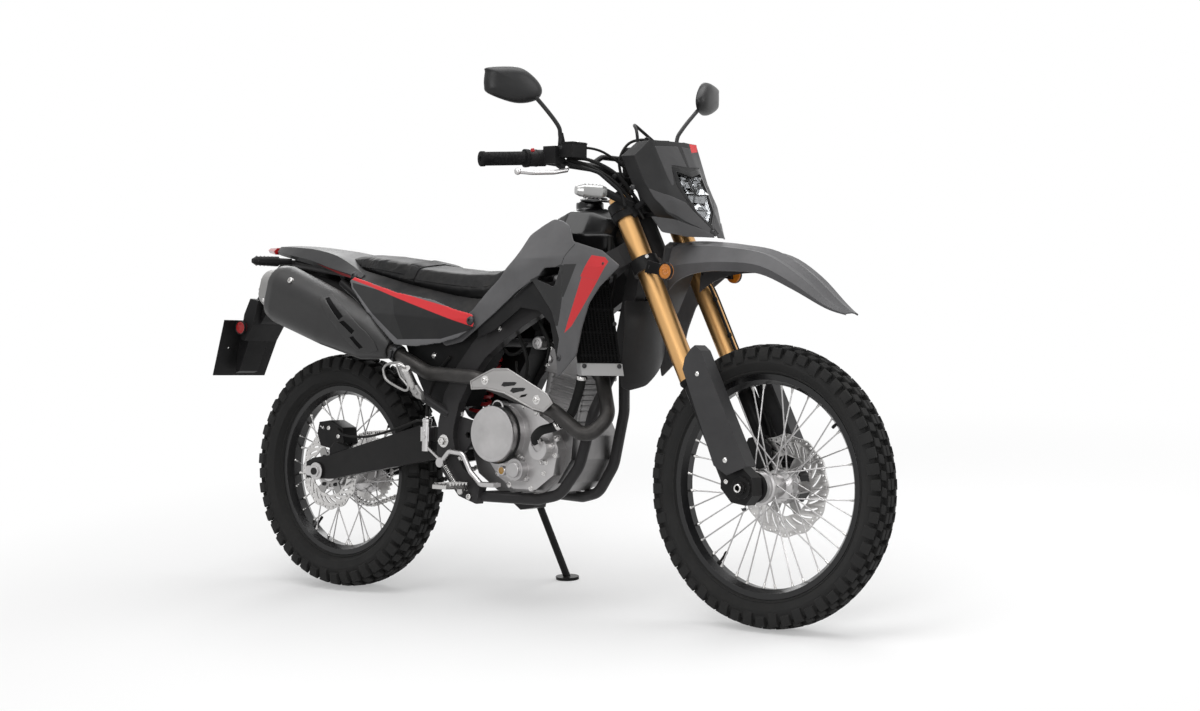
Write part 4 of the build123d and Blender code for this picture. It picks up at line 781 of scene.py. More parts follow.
def skin_of(node, voxel, rounds):
    """A CAD node's voxel skin, relaxed that many rounds."""
    work = in_scene("work", frame["nodes"][node].data.copy())
    skin = work.modifiers.new("skin", "REMESH")
    skin.mode, skin.voxel_size = "VOXEL", voxel * MM
    relax = work.modifiers.new("relax", "SMOOTH")
    relax.factor, relax.iterations = 0.5, rounds
    return final_mesh(work)


def stand_in(name, bm, look, node, slot=None):
    """A soft piece that takes a node's place, kept in the node's own box."""
    low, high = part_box(node)
    for v in bm.verts:
        v.co = Vector(min(max(c, a), b) for c, a, b in zip(v.co, low, high))
    piece = add_piece(name, bm, look, frame["nodes"][node]["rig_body"], slot or node_slot[node],
                      smooth=radians(180), in_row=True)
    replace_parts(piece, node)
    return piece


def moulded(node, look, voxel, rounds, slot=None):
    """A softened copy of a CAD node that stands in for it."""
    bm = bmesh.new()
    bm.from_mesh(skin_of(node, voxel, rounds))
    return stand_in(node + "_skin", bm, look, node, slot)

# %% [markdown]
# Sheet metal, discs and moulded panels are all flat outlines with holes. A filled 2-D curve makes
# such a plate with a broken edge. Cutting it in a lattice afterwards gives it points to bend with,
# so one plate can be laid on any curved panel.

# %% finding a place on a surface
def surface_of(*objects):
    """A search tree of some objects' faces in the bike's frame."""
    back = TO_ROW.inverted()
    points, faces = [], []
    for o in objects:
        first = len(points)
        points += [back @ v.co for v in o.data.vertices]
        faces += [[first + i for i in p.vertices] for p in o.data.polygons]
    return BVHTree.FromPolygons(points, faces)


OUTSIDE = 400.0            # a distance from the middle plane that is outside everything


def lay(surface, origin, aim, lift):
    """The surface's first point on the way from origin to aim, lifted off it, and its normal."""
    origin, aim = Vector(origin), Vector(aim)
    hit, normal, _, _ = surface.ray_cast(origin, (aim - origin).normalized())
    if hit is None:
        return None, None
    if normal.dot(aim - origin) > 0:
        normal = -normal
    return hit + normal * lift, normal


# %% plates from outlines
def plate_mesh(outlines, thick, edge, cell=None, round_by=0.0):
    """A flat plate of the first outline less the others: x, y and thickness along z."""
    curve = bpy.data.curves.new("outline", "CURVE")
    curve.dimensions, curve.fill_mode = "2D", "BOTH"
    curve.extrude, curve.bevel_depth, curve.offset = thick / 2 - edge, edge, -edge
    curve.bevel_resolution = 1
    for points in outlines:
        if round_by:
            points = rounded(points, round_by)
        spline = curve.splines.new("POLY")
        spline.points.add(len(points) - 1)
        for place, (x, y) in zip(spline.points, points):
            place.co = (x, y, 0, 1)
        spline.use_cyclic_u = True
    work = bpy.data.objects.new("outline", curve)
    bm = bmesh.new()
    bm.from_mesh(bpy.data.meshes.new_from_object(work))
    bpy.data.objects.remove(work)
    bmesh.ops.remove_doubles(bm, verts=bm.verts, dist=1e-3)
    if cell:
        for axis in (0, 1):
            low = min(v.co[axis] for v in bm.verts)
            high = max(v.co[axis] for v in bm.verts)
            normal = (1, 0, 0) if axis == 0 else (0, 1, 0)
            for k in range(1, int((high - low) / cell) + 1):
                at = [0, 0, 0]
                at[axis] = low + k * cell
                bmesh.ops.bisect_plane(bm, geom=bm.verts[:] + bm.edges[:] + bm.faces[:],
                                       plane_co=at, plane_no=normal, dist=1e-4)
    return bm


def rounded(points, reach, steps=4):
    """A closed outline with each corner cut by a short curve."""
    result = []
    count = len(points)
    for i in range(count):
        before, here, after = (Vector(points[i - 1]), Vector(points[i]),
                               Vector(points[(i + 1) % count]))
        a = here + (before - here).normalized() * min(reach, (before - here).length * 0.45)
        b = here + (after - here).normalized() * min(reach, (after - here).length * 0.45)
        for k in range(steps + 1):
            t = k / steps
            result.append(tuple(a * (1 - t) ** 2 + here * 2 * t * (1 - t) + b * t ** 2))
    return result


def put(bm, part, move):
    """Copies a mesh into another, each point moved by a function."""
    fresh = {v: bm.verts.new(move(v.co)) for v in part.verts}
    for face in part.faces:
        bm.faces.new([fresh[v] for v in face.verts])
    part.free()


def upright(axle, y):
    """A mover that stands a flat plate in the wheel's plane at that distance to the side."""
    return lambda p: Vector((axle[0] + p.x, y + p.z, axle[1] + p.y))


def laid_on(skin, side, out):
    """A mover that lays a plate on a skin seen from a side; its thickness stands out from the
    skin. Where the skin is missed, the nearest place found before gives the distance."""
    found = {}

    def move(p):
        hit = lay(skin, (p.x, side * OUTSIDE, p.y), (p.x, 0, p.y), 0.0)[0]
        if hit is not None:
            found[(p.x, p.y)] = hit.y
        else:
            near = min(found, key=lambda q: (q[0] - p.x) ** 2 + (q[1] - p.y) ** 2)
            hit = Vector((p.x, found[near], p.y))
        return hit + Vector((0, side, 0)) * (p.z + out)
    return move


def shell(bm, rows, wall, steps=4):
    """A thin cover given by half sections along x; the crease lines between the points stay."""
    lines = [smooth_line([(row[0], *row[c]) for row in rows], steps)
             for c in range(1, len(rows[0]))]
    outer, inner = [], []
    for half in zip(*lines):
        full = [*half, *(Vector((p.x, -p.y, p.z)) for p in reversed(half[:-1]))]
        core = Vector((full[0].x, 0, min(p.z for p in full) - 12))
        outer.append(full)
        inner.append([p + (core - p).normalized() * wall for p in full])
    outer, inner = ([ring(bm, line) for line in side] for side in (outer, inner))
    for side in (outer, inner):
        for a, b in zip(side, side[1:]):
            bridge(bm, a, b, closed=False)
    for k in (0, -1):
        for a, b, c, d in zip(outer, outer[1:], inner, inner[1:]):
            bm.faces.new((a[k], b[k], d[k], c[k]))
        bridge(bm, outer[k], inner[k], closed=False)

# %% [markdown]
# ## Body panels
# The panels are one grey moulding in several tones: the shrouds have a red wedge, the side covers
# a dark infill inside a light rim with a red stripe above it, and the dark lamp mask a lighter
# band on each side. The paint lines are zones of the bike's side view, so both sides match.

# %% paint lines of the shrouds, side covers, tail and mask
DARK_PANEL, DEEP_PANEL, LIGHT_RIM = (0.018, 0.018, 0.0185), (0.010, 0.010, 0.0105), (
    0.13, 0.129, 0.133)
# outlines in the side view, x and z
WEDGE = [[(1054, 909), (1104, 903), (1118, 892), (1082, 845), (1018, 857)],
    [(1018, 857), (1082, 845), (991, 734), (962, 714), (977, 749)]]
SHROUD_STRIP = [[(825, 850), (936, 888), (956, 884), (948, 806), (938, 733), (900, 733)],
    [(950, 888), (1002, 888), (955, 806), (946, 806)]]
COVER_FIELD = [[(160, 847), (640, 757), (660, 742), (640, 724), (530, 697), (378, 694), (168, 834)]]
COVER_FRONT = [[(330, 812), (640, 752), (633, 724), (530, 697), (398, 695)]]
COVER_STRIPE = [[(138, 868), (238, 847), (238, 835), (138, 859)],
    [(236, 843), (604, 768), (640, 757), (634, 728), (571, 745), (432, 779), (236, 833)]]
TAIL_STRIPE = [[(-40, 905), (120, 868), (236, 842), (236, 836), (110, 858)]]


def zones(outlines):
    """A maker of the mask of several outlines together, on the panels' outer faces only."""
    def make(tree, place):
        mask = None
        for outline in outlines:
            part = zone(tree, place, outline)
            mask = part if mask is None else math_node(tree, "MAXIMUM", mask, part)
        return math_node(tree, "MULTIPLY", mask, outside(tree, place))
    return make


def body_paint(name, colour, **changes):
    """The body's finish in one colour, without the grey's second tone."""
    return finish(name, **{**FINISHES["body_grey"], "tone": None, "colour": colour, **changes})


shroud_paint = body_paint("shroud_paint", GREY, paint=[(zones(SHROUD_STRIP), DARK_PANEL),
                                                       (zones(WEDGE), RED)])
cover_paint = body_paint("cover_paint", LIGHT_RIM,
                         paint=[(zones(COVER_FIELD), DARK_PANEL), (zones(COVER_FRONT), DEEP_PANEL),
                                (zones(COVER_STRIPE), RED)])
# the tail's grey is partly its own dark colour and partly painted shade that tones down the light on
# its top
tail_grey_and_shade = body_paint("tail_grey_and_shade", (0.045, 0.045, 0.046), specular=0.1,
                        paint=[(zones(TAIL_STRIPE), RED)])
mask_paint = body_paint("mask_paint", (0.026, 0.026, 0.0265), specular=0.12)
CAN_FOOT, CAN_WAY = Vector((330, 668)), Vector((-0.939, 0.343))
CAN_CAP = [[tuple(CAN_FOOT + CAN_WAY * back + Vector((0.343, 0.939)) * up)
    for back, up in ((453, -110), (453, 110), (560, 110), (560, -110))]]
muffler_paint = finish("muffler_paint", **FINISHES["muffler_grey"],
                       paint=[(zones(CAN_CAP), (0.30, 0.295, 0.29))])

# %% panels from their sections
SHROUD_ROWS = [
    (500, (176, 640), (174, 770), (160, 910)), (640, (182, 640), (178, 790), (152, 910)),
    (760, (190, 600), (176, 880), (128, 985)), (850, (204, 590), (184, 905), (120, 1014)),
    (935, (213, 590), (196, 905), (146, 1000)), (1000, (218, 590), (212, 900), (180, 962)),
    (1090, (222, 590), (228, 880), (214, 940)), (1165, (226, 590), (235, 868), (232, 905))]
SHROUD_EDGE = [(785, 967), (820, 990), (851, 1007), (890, 1001), (927, 985), (962, 946),
    (1088, 920), (1157, 882), (1125, 858), (1086, 829), (1050, 790), (1026, 730),
    (1009, 661), (945, 604), (938, 651), (945, 700), (912, 770), (832, 849), (772, 818),
    (700, 765), (640, 725), (586, 690), (525, 678), (500, 700), (560, 735), (626, 776),
    (669, 821), (709, 855), (751, 905), (769, 933)]
SHROUD_HOLE = [(874, 880), (936, 882), (916, 831), (848, 850)]
SEAM_SHADE_LINES = [[(975, 938), (955, 915), (942, 888)], [(842, 852), (800, 828), (768, 806)],
    [(944, 872), (948, 806), (938, 735)]]


def line_at(line, at):
    """The second number of a line of pairs where the first is at; the firsts rise or fall."""
    for (a0, b0), (a1, b1) in zip(line, line[1:]):
        if (at - a1) * (a1 - a0) <= 0:
            break
    return b0 + (b1 - b0) * (at - a0) / (a1 - a0)


def face_at(sections, at, along):
    """How far out a panel's face lies, between two of its sections, each (place, line)."""
    for low, high in zip(sections, sections[1:]):
        if at <= high[0]:
            break
    share = (at - low[0]) / (high[0] - low[0])
    return line_at(low[1], along) * (1 - share) + line_at(high[1], along) * share


SHROUD_FACE = [(x, sorted((high, out) for out, high in points)) for x, *points in SHROUD_ROWS]
SHROUD_WALL = 4.5


def beside(side):
    """A mover that bends a flat plate into a shroud."""
    return lambda p: Vector((p.x, side * (face_at(SHROUD_FACE, p.x, p.y) + p.z
                                          - SHROUD_WALL / 2), p.y))


bm = bmesh.new()
for side in SIDES:
    put(bm, plate_mesh([SHROUD_EDGE, SHROUD_HOLE], SHROUD_WALL, 1.3, 13.0, 8.0), beside(side))
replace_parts(add_piece("shroud_panels", bm, shroud_paint, "chassis", slot=node_slot["shrouds"]),
            "shrouds")
# gloss black beads along the panel seams: painted shade of the gaps between the panels
bm = bmesh.new()
for side in SIDES:
    for seam in SEAM_SHADE_LINES:
        sweep(bm, [Vector((x, side * (face_at(SHROUD_FACE, x, z) - 0.7), z))
                   for x, z, _ in smooth_line([(*p, 0) for p in seam], 5)], 1.3, 8)
add_piece("shroud_seam_shade", bm, "gloss_black", "chassis", slot="black_plastic")

# %% front fender and tail
cheek_paint = body_paint("cheek_paint", (0.066, 0.0655, 0.067), specular=0.12)
# the fender's grey is darker than the body's grey: a painted shade that tones down the light on its
# top
fender_shaded_grey = body_paint("fender_shaded_grey", (0.088, 0.087, 0.09), depth=0.02, wear=0.0, bevel=0.0,
                          specular=0.12)
FENDER = [(1178, (66, 824), (70, 880), (52, 934), (26, 944), (0, 948)),
    (1215, (74, 850), (76, 888), (54, 936), (28, 946), (0, 950)),
    (1275, (78, 868), (80, 892), (54, 936), (30, 941), (0, 948)),
    (1360, (82, 872), (84, 894), (56, 930), (30, 931), (0, 940)),
    (1468, (82, 864), (84, 884), (56, 912), (32, 911), (0, 921)),
    (1560, (72, 826), (74, 842), (50, 862), (28, 861), (0, 870)),
    (1640, (50, 782), (52, 789), (36, 799), (20, 799), (0, 806)),
    (1683, (27, 767), (28, 769.5), (20, 771.5), (11, 772.5), (0, 774))]
TAIL = [(-273, (24, 938), (28, 944), (20, 954), (0, 957)),
    (-235, (58, 930), (64, 938), (48, 954), (0, 958)),
    (-150, (84, 916), (92, 926), (70, 950), (0, 955)),
    (-60, (96, 898), (106, 912), (82, 942), (0, 947)),
    (30, (108, 878), (120, 890), (92, 924), (0, 932)),
    (110, (122, 862), (132, 874), (104, 893), (0, 896)),
    (170, (126, 852), (136, 860), (124, 868), (0, 870))]
bm = bmesh.new()
shell(bm, FENDER, 3.2, 5)
fender_skin = add_piece("front_fender_cover", bm, fender_shaded_grey, "steering", smooth=radians(16))
bm = bmesh.new()
put(bm, plate_mesh([[(1181, 946), (1165, 936), (1152, 868), (1112, 772), (1116, 770),
                     (1156, 866), (1169, 932), (1181, 940)]], 132, 1.2, 22.0),
    lambda p: Vector((p.x, p.z * (1 - 0.14 * max(0.0, (870 - p.y) / 100)), p.y)))
skirt = add_piece("front_fender_skirt", bm, cheek_paint, "steering")
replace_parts(fender_skin, "front_fender")
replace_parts(skirt, "front_fender")
bm = bmesh.new()
shell(bm, TAIL, 4.5, 5)
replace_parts(add_piece("tail_cover", bm, tail_grey_and_shade, "chassis", slot=node_slot["tail"],
                      smooth=radians(14)), "tail")

# %% mask, with its flash, cheeks and lamp surround
MASK_ROWS = [(0, [(1148, 1203), (1202, 1096), (1240, 1026), (1276, 956)]),
    (40, [(1146, 1203), (1199, 1096), (1236, 1026), (1270, 957)]),
    (92, [(1138, 1202), (1176, 1100), (1208, 1040), (1222, 990)]),
    (130, [(1108, 1162), (1124, 1100), (1146, 1050), (1163, 1003)])]
MASK_FACE = [(y, [(z, x) for x, z in line]) for y, line in MASK_ROWS]


def mask_x(y, z):
    """How far forward the mask's face lies at y, z."""
    return face_at(MASK_FACE, abs(y), z)


def on_mask(out):
    return lambda p: Vector((mask_x(p.x, p.y) + p.z + out, p.x, p.y))


band_paint = body_paint("band_paint", (0.062, 0.0615, 0.063), specular=0.12)
flash_paint = finish("flash_paint", colour=(0.68, 0.05, 0.055), rough=0.32, depth=0.05)
LAMP_HOLE = [(0, 1110), (48, 1122), (50, 1080), (33, 1019), (0, 988), (-33, 1019), (-50, 1080),
    (-48, 1122)]
FACE = [(-96, 1200), (96, 1200), (127, 1160), (119, 1082), (103, 1016), (84, 993), (0, 960),
    (-84, 993), (-103, 1016), (-119, 1082), (-127, 1160)]
BAND = [(-88, 1184), (-8, 1188), (-4, 1134), (-56, 1138), (-66, 1090), (-74, 1084)]
FLASH = [(52, 1199), (90, 1199), (84, 1180), (44, 1175)]
CHEEK = [(-7, 981), (-38, 1012), (-57, 1044), (-99, 1063), (-118, 1077), (-114, 1050),
    (-101, 1018), (-72, 996), (-20, 966)]
WING = [(-126, 1007), (-98, 1001), (-60, 985), (-8, 964), (-8, 957), (-80, 957), (-116, 968)]
CENTRE = [(-58, 1136), (0, 1123), (58, 1136), (60, 1082), (41, 1016), (0, 976), (-41, 1016),
    (-60, 1082)]
for name, outlines, thick, out, look, both in (
        ("mask_front", [FACE, LAMP_HOLE], 2.6, 0.0, mask_paint, False),
        ("mask_bands", [BAND], 1.6, 1.3, band_paint, True),
        ("mask_flash", [FLASH], 1.6, 1.4, flash_paint, False),
        ("mask_cheeks", [CHEEK], 2.4, 1.2, cheek_paint, True),
        ("mask_wings", [WING], 4.0, 1.6, cheek_paint, True),
        ("lamp_surround", [CENTRE, LAMP_HOLE], 2.4, 1.3, "gloss_black", False)):
    bm = bmesh.new()
    for side in ((1, -1) if both else (1,)):
        flipped = [[(side * y, z) for y, z in line] for line in outlines]
        put(bm, plate_mesh(flipped, thick, 0.6, 8.0, 3.0), on_mask(out))
    piece = add_piece(name, bm, look, "steering", slot=node_slot["headlight_mask"])
    if name == "mask_front":
        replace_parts(piece, "headlight_mask")
bm = bmesh.new()
SIDE_LINE = [(-30, 1201.5), (-94, 1199), (-126, 1160), (-118, 1082), (-102, 1016), (-86, 995)]
for side in SIDES:
    rows = []
    for deep, inset in ((0.5, 0.0), (20, -0.5), (46, -3.0), (46, -6.0), (20, -4.0), (0.5, -4.0)):
        rows.append(ring(bm, [Vector((mask_x(y, z) - deep, -side * (y - inset),
                                      z + (inset if z > 1170 else 0)))
                              for y, z in SIDE_LINE]))
    for low, high in zip(rows, rows[1:] + rows[:1]):
        bridge(bm, low, high, closed=False)
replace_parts(add_piece("mask_sides", bm, mask_paint, "steering",
                      slot=node_slot["headlight_mask"]), "headlight_mask")

# %% [markdown]
# Behind the front wheel an apron joins the left shroud and keeps mud off the engine. Black
# skirts close the gap between the seat's base and the covers beside it.

# %% apron and seat skirts
APRON_RIDGE = [(572, 1040), (590, 1046), (660, 1056), (740, 1062), (800, 1060), (860, 1050)]
APRON = [(-74, 800), (-76, 620), (-66, 582), (-40, 572), (20, 584), (96, 628), (150, 690),
    (176, 770), (170, 800)]


def apron_place(p):
    """Bends the apron's flat plate back from its ridge, whose (z, x) are in the table."""
    return Vector((line_at(APRON_RIDGE, p.y) - 1.5 - (p.x / 76) ** 2 * 14 + p.z, p.x, p.y))


bm = bmesh.new()
put(bm, plate_mesh([APRON], 3.0, 0.8, 12.0, 10.0), apron_place)
lathe(bm, (1040, 0, 646), (1, 0, 0), [(14, -60), (14, 2), (12, 4), (0, 4)], 24)
apron_paint = body_paint("apron_paint", (0.03, 0.0298, 0.0305), specular=0.1)
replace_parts(add_piece("front_apron", bm, apron_paint, "chassis", slot=node_slot["splash_panel"]),
            "splash_panel")

SEAT_FOOT = [(110, 90, 884), (200, 110, 868), (330, 114, 840), (430, 118, 822), (520, 116, 806),
    (600, 112, 800), (664, 96, 814)]
COVER_TOP = [(150, 143, 862), (207, 151, 852), (342, 160, 820), (480, 166, 799), (560, 168, 776),
    (622, 170, 762), (664, 160, 776)]
bm = bmesh.new()
for side in SIDES:
    rows = []
    for shift in (0, -3):
        a = smooth_line([(x, side * y, z + 4 + shift) for x, y, z in SEAT_FOOT], 4)
        b = smooth_line([(x, side * y, z - 6 + shift) for x, y, z in COVER_TOP], 4)
        mid = [p.lerp(q, 0.5) + Vector((0, 0, -2)) for p, q in zip(a, b)]
        rows.append([ring(bm, line) for line in (a, mid, b)])
    for a, b in zip(rows[0] + rows[1][::-1], rows[0][1:] + rows[1][::-1] + rows[0][:1]):
        bridge(bm, a, b, closed=False)
add_piece("seat_skirts", bm, "black_plastic", "chassis")

# %% remaining panels as mouldings
moulded("side_covers", cover_paint, 2.6, 3)
moulded("fuel_tank", "gloss_black", 4.0, 5, slot="body_dark")
moulded("muffler", muffler_paint, 3.5, 8)
moulded("rear_caliper", "black_steel", 1.8, 5)
moulded("front_caliper", "black_steel", 1.8, 5)
print("panels:", made)

# %% [markdown]
# Some nodes share a slot but not a look. The fork's feet are black, the swingarm is darker than
# the frame, the plate and its bracket are black, the radiator is black above its silver lower
# tank, and the guards are a mid grey. These nodes get their own finish here.

# %% finishes for single nodes
def dress(look, *nodes):
    for name in nodes:
        for slot in frame["nodes"][name].material_slots:
            slot.material = material_of(look)


RADIATOR_FOOT = [[(900, 641), (1100, 641), (1100, 560), (900, 560)]]
arm_grey = finish("arm_grey", colour=(0.017, 0.0168, 0.017), rough=0.36, depth=0.12,
                  bare_and_sheen=DULL_SILVER, dusty=0.05)
guard_grey = finish("guard_grey", colour=(0.05, 0.0495, 0.051), rough=0.4, depth=0.3,
                    specular=0.15, dusty=0.05)
radiator_paint = finish("radiator_paint", colour=(0.003, 0.003, 0.0031), rough=0.6, depth=0.1,
                        dusty=0.0, specular=0.04,
                        paint=[(lambda tree, place: zone(tree, place, RADIATOR_FOOT[0]),
                                (0.42, 0.42, 0.42))])
shield_steel = finish("shield_steel", colour=(0.4, 0.39, 0.385), rough=0.32, metallic=1.0,
                      depth=0.3, bevel=0.002, bare_and_sheen=SILVER, brushed=(0.3, 1, 1))
dress(arm_grey, "swingarm")
dress(guard_grey, "fork_guards")
dress(radiator_paint, "radiator")
dress("core_black", "radiator_grille")
dress("black_plastic", "plate_panel", "rear_signals", "shroud_infills")
dress("black_steel", "fork_legs", "front_caliper", "rear_caliper")
dress(shield_steel, "heat_shield")

# %% [markdown]
# ## Tyres
# An off-road tyre is a smooth casing with rubber blocks moulded onto it. The casing is a lathe
# profile. For the blocks we need the casing's surface as a formula: a table of base and top points
# from the centre line out to the side wall, read at any place *s* between. One function then makes
# a block with tapered sides and a broken top edge, and three rows of blocks make the tread.

# %% tread tables
# s, casing (y, radius), top of a block (y, radius)
FRONT_TREAD = [(0.0, (0, 335), (0, 347.6)), (0.3, (13, 335), (13, 347.6)),
    (0.52, (21, 333), (24, 344.8)), (0.82, (31, 327), (38.5, 339)),
    (1.0, (35.5, 317), (42, 321)), (1.25, (37.5, 303), (39.8, 304))]
REAR_TREAD = [(0.0, (0, 311), (0, 325.6)), (0.24, (13, 311), (13, 325.6)),
    (0.52, (30, 308.5), (33, 322.4)), (0.82, (46, 301), (55.5, 314.6)),
    (1.0, (54, 289), (62, 293)), (1.25, (57, 275), (59.4, 276))]


def between(table, s, column):
    """The (y, radius) of a tread table at s, negative s on the right side."""
    side, s = (1 if s >= 0 else -1), abs(s)
    for low, high in zip(table, table[1:]):
        if s <= high[0]:
            t = (s - low[0]) / (high[0] - low[0])
            (y0, r0), (y1, r1) = low[column], high[column]
            return side * (y0 + (y1 - y0) * t), r0 + (r1 - r0) * t
    return side * table[-1][column][0], table[-1][column][1]


def tread_block(bm, axle, table, s0, s1, middle, length, skew=0.0, cut=1.3):
    """One block; middle and length are its place and size round the tyre, in radians."""
    steps = [s0 + (s1 - s0) * k / 3 for k in range(4)]

    def corner(s, turn_to, column, lift=0.0):
        y, r = between(table, s, column)
        angle = middle + turn_to + skew * (s - s0)
        return Vector((axle[0] + (r + lift) * cos(angle), y, axle[1] + (r + lift) * sin(angle)))

    half = length / 2
    trim = cut / between(table, s0, 2)[1]
    trim_s = cut / 60 * (1 if s1 > s0 else -1)
    tops = [steps[0] + trim_s, steps[1], steps[2], steps[3] - trim_s]
    foot = [corner(s, -half * 1.12, 1, -1.5) for s in steps] + [
        corner(s, half * 1.12, 1, -1.5) for s in reversed(steps)]
    shoulder = [corner(s, -half, 2, -cut) for s in steps] + [
        corner(s, half, 2, -cut) for s in reversed(steps)]
    crown = [corner(s, -half + trim, 2) for s in tops] + [
        corner(s, half - trim, 2) for s in reversed(tops)]
    foot, shoulder, crown = ring(bm, foot), ring(bm, shoulder), ring(bm, crown)
    bridge(bm, foot, shoulder)
    bridge(bm, shoulder, crown)
    for k in range(3):
        bm.faces.new((crown[k], crown[k + 1], crown[6 - k], crown[7 - k]))


def tyre(name, body, axle, table, bead, half, pitches):
    """Casing, side wall rings and tread of one tyre."""
    bm = bmesh.new()
    wall_y, wall_r = table[-1][1]
    tread = [between(table, s, 1) for s in (1.0, 0.82, 0.52, 0.3, 0.0)]
    half_profile = [(bead + 0.4, half), (bead + 7, half + 0.5), (bead + 11, half + 5),
                    (bead + 12.5, half + 9), (bead + 14.5, half + 9.4), (bead + 16, half + 8),
                    (bead + 26, half + (wall_y - half) * 0.86), (wall_r - 4, wall_y),
                    (wall_r - 2, wall_y + 0.9), (wall_r + 1, wall_y + 0.9)]
    half_profile += [(r, y) for y, r in tread]
    profile = half_profile + [(r, -y) for r, y in reversed(half_profile[:-1])]
    collar(bm, (axle[0], 0, axle[1]), TO_LEFT, profile, 180)
    pitch = 2 * pi / pitches
    centre_end = table[1][0]
    for i in range(pitches):
        at = -pi / 2 + i * pitch
        for side in SIDES:
            tread_block(bm, axle, table, side * 0.035, side * centre_end, at, pitch * 0.62,
                        skew=side * 0.02)
            tread_block(bm, axle, table, side * (centre_end + 0.08), side * 0.66,
                        at + pitch / 2, pitch * 0.56, skew=side * 0.05)
            reach = 1.16 if i % 2 else 1.02
            tread_block(bm, axle, table, side * 0.72, side * reach, at, pitch * 0.66)
    piece = add_piece(name, bm, "tyre", body, smooth=radians(34))
    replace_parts(piece, body.replace("_wheel", "_tyre"))


FRONT_AXLE, REAR_AXLE = (WHEELBASE, FRONT_TYRE_R), (0.0, REAR_TYRE_R)
FRONT_BEAD_R, REAR_BEAD_R = 266.7, 228.6
tyre("front_tread_tyre", "front_wheel", FRONT_AXLE, FRONT_TREAD, FRONT_BEAD_R, 20.5, 54)
tyre("rear_tread_tyre", "rear_wheel", REAR_AXLE, REAR_TREAD, REAR_BEAD_R, 27.5, 46)
print("tyres:", made["front_tread_tyre"], made["rear_tread_tyre"], "faces")

# %% [markdown]
# Each wire spoke ends in a nipple, a little turned nut with a tapered neck, and crosses its
# neighbour. The valve, the rim's bolt, the hub's dust covers and the disc's screws belong to the
# wheel too, so they turn with it.

# %% nipples, valves and hub fittings
NIPPLE = [(2.0, 12.0), (2.6, 10.5), (3.0, 7.0), (3.4, 2.5), (4.6, 1.0), (4.6, -1.0)]
SIDE_SPOKES = 18           # on each side of a wheel
SPOKE_LEAD = radians(42)   # how far round the hub a spoke starts from where it ends
RIM_DEPTH = 17.6           # of the nipples' seats inside the tyre's bead


def wheel_fittings(name, body, axle, spoke_rim_r, spoke_rim_y, hub_r, hub_y):
    """36 nipples on one rim, where the spokes meet it, and its valve."""
    bm = bmesh.new()
    for flange in SIDES:
        for i in range(SIDE_SPOKES):
            angle = radians(360.0 * (i + 0.25 * flange) / SIDE_SPOKES)
            lead = SPOKE_LEAD * (1 if i % 2 else -1)
            foot = Vector((hub_r * cos(angle + lead), flange * hub_y, hub_r * sin(angle + lead)))
            end = Vector((spoke_rim_r * cos(angle), flange * spoke_rim_y,
                          spoke_rim_r * sin(angle)))
            way = foot - end
            lathe(bm, end + Vector((axle[0], 0, axle[1])), way, NIPPLE, 10)
    add_piece(name + "_nipples", bm, "steel", body)
    bm = bmesh.new()
    for turn_to, long in ((radians(-128), 34), (radians(40), 16)):
        way = Vector((-cos(turn_to), 0, -sin(turn_to)))
        at = Vector((axle[0], 0, axle[1])) - way * spoke_rim_r
        lathe(bm, at, way, [(6.5, -1), (6.5, 3), (4, 4), (3.2, 5), (3.2, long - 9),
                            (4.2, long - 8), (4.2, long), (3.4, long + 1.5), (0, long + 1.5)], 14)
    add_piece(name + "_valve", bm, "hose_rubber", body)


wheel_fittings("front", "front_wheel", FRONT_AXLE, FRONT_BEAD_R - RIM_DEPTH, 6, 36, 33)
wheel_fittings("rear", "rear_wheel", REAR_AXLE, REAR_BEAD_R - RIM_DEPTH, 9, 51, 46)


def circle_of_screws(bm, axle, y, radius, count, size, way, kind="socket"):
    for i in range(count):
        angle = 2 * pi * i / count
        screw(bm, (axle[0] + radius * cos(angle), y, axle[1] + radius * sin(angle)), (0, way, 0),
              size, kind)


bm = bmesh.new()
circle_of_screws(bm, FRONT_AXLE, 64.2, 37, 6, 5.2, 1)
circle_of_screws(bm, FRONT_AXLE, 59.8, 37, 6, 5.2, -1)
add_piece("front_disc_screws", bm, "dark_bolt", "front_wheel")
bm = bmesh.new()
circle_of_screws(bm, REAR_AXLE, -77.2, 44, 6, 5.2, -1)
add_piece("rear_disc_screws", bm, "dark_bolt", "rear_wheel")
bm = bmesh.new()
circle_of_screws(bm, REAR_AXLE, 86.8, 54, 6, 6.5, 1, "flange")
add_piece("sprocket_nuts", bm, "screw_steel", "rear_wheel")
bm = bmesh.new()
collar(bm, (WHEELBASE, -68, FRONT_TYRE_R), TO_RIGHT,
      [(16, 0.2), (34, 0.2), (36.5, -2), (37.5, 1), (35, 4), (30, 5.5), (24, 5.5), (22, 8),
       (16, 8)], 40)
add_piece("front_hub_dust_cover", bm, "black_plastic", "front_wheel")

# %% [markdown]
# A brake disc is cut from sheet: a wavy edge, drilled holes near it, and long swept slots in the
# braking ring. The ring hangs on thin arms from a dished carrier that the hub's screws hold.

# %% brake discs
def arc_slot(reach_in, reach_out, start, sweep_by, wide, steps=7):
    """A long slot that leans round the disc, with round ends."""
    line = []
    for k in range(steps + 1):
        t = k / steps
        reach = reach_in + (reach_out - reach_in) * t
        angle = start + sweep_by * t
        line.append(Vector((reach * cos(angle), reach * sin(angle))))
    left, right = [], []
    for k, p in enumerate(line):
        way = (line[min(k + 1, steps)] - line[max(k - 1, 0)]).normalized()
        out = Vector((-way.y, way.x)) * wide / 2 * (0.6 if k in (0, steps) else 1)
        left.append(tuple(p + out))
        right.append(tuple(p - out))
    return left + right[::-1]


def hole(reach, angle, radius, count=10):
    return [(reach * cos(angle) + radius * cos(2 * pi * k / count),
             reach * sin(angle) + radius * sin(2 * pi * k / count)) for k in range(count)]


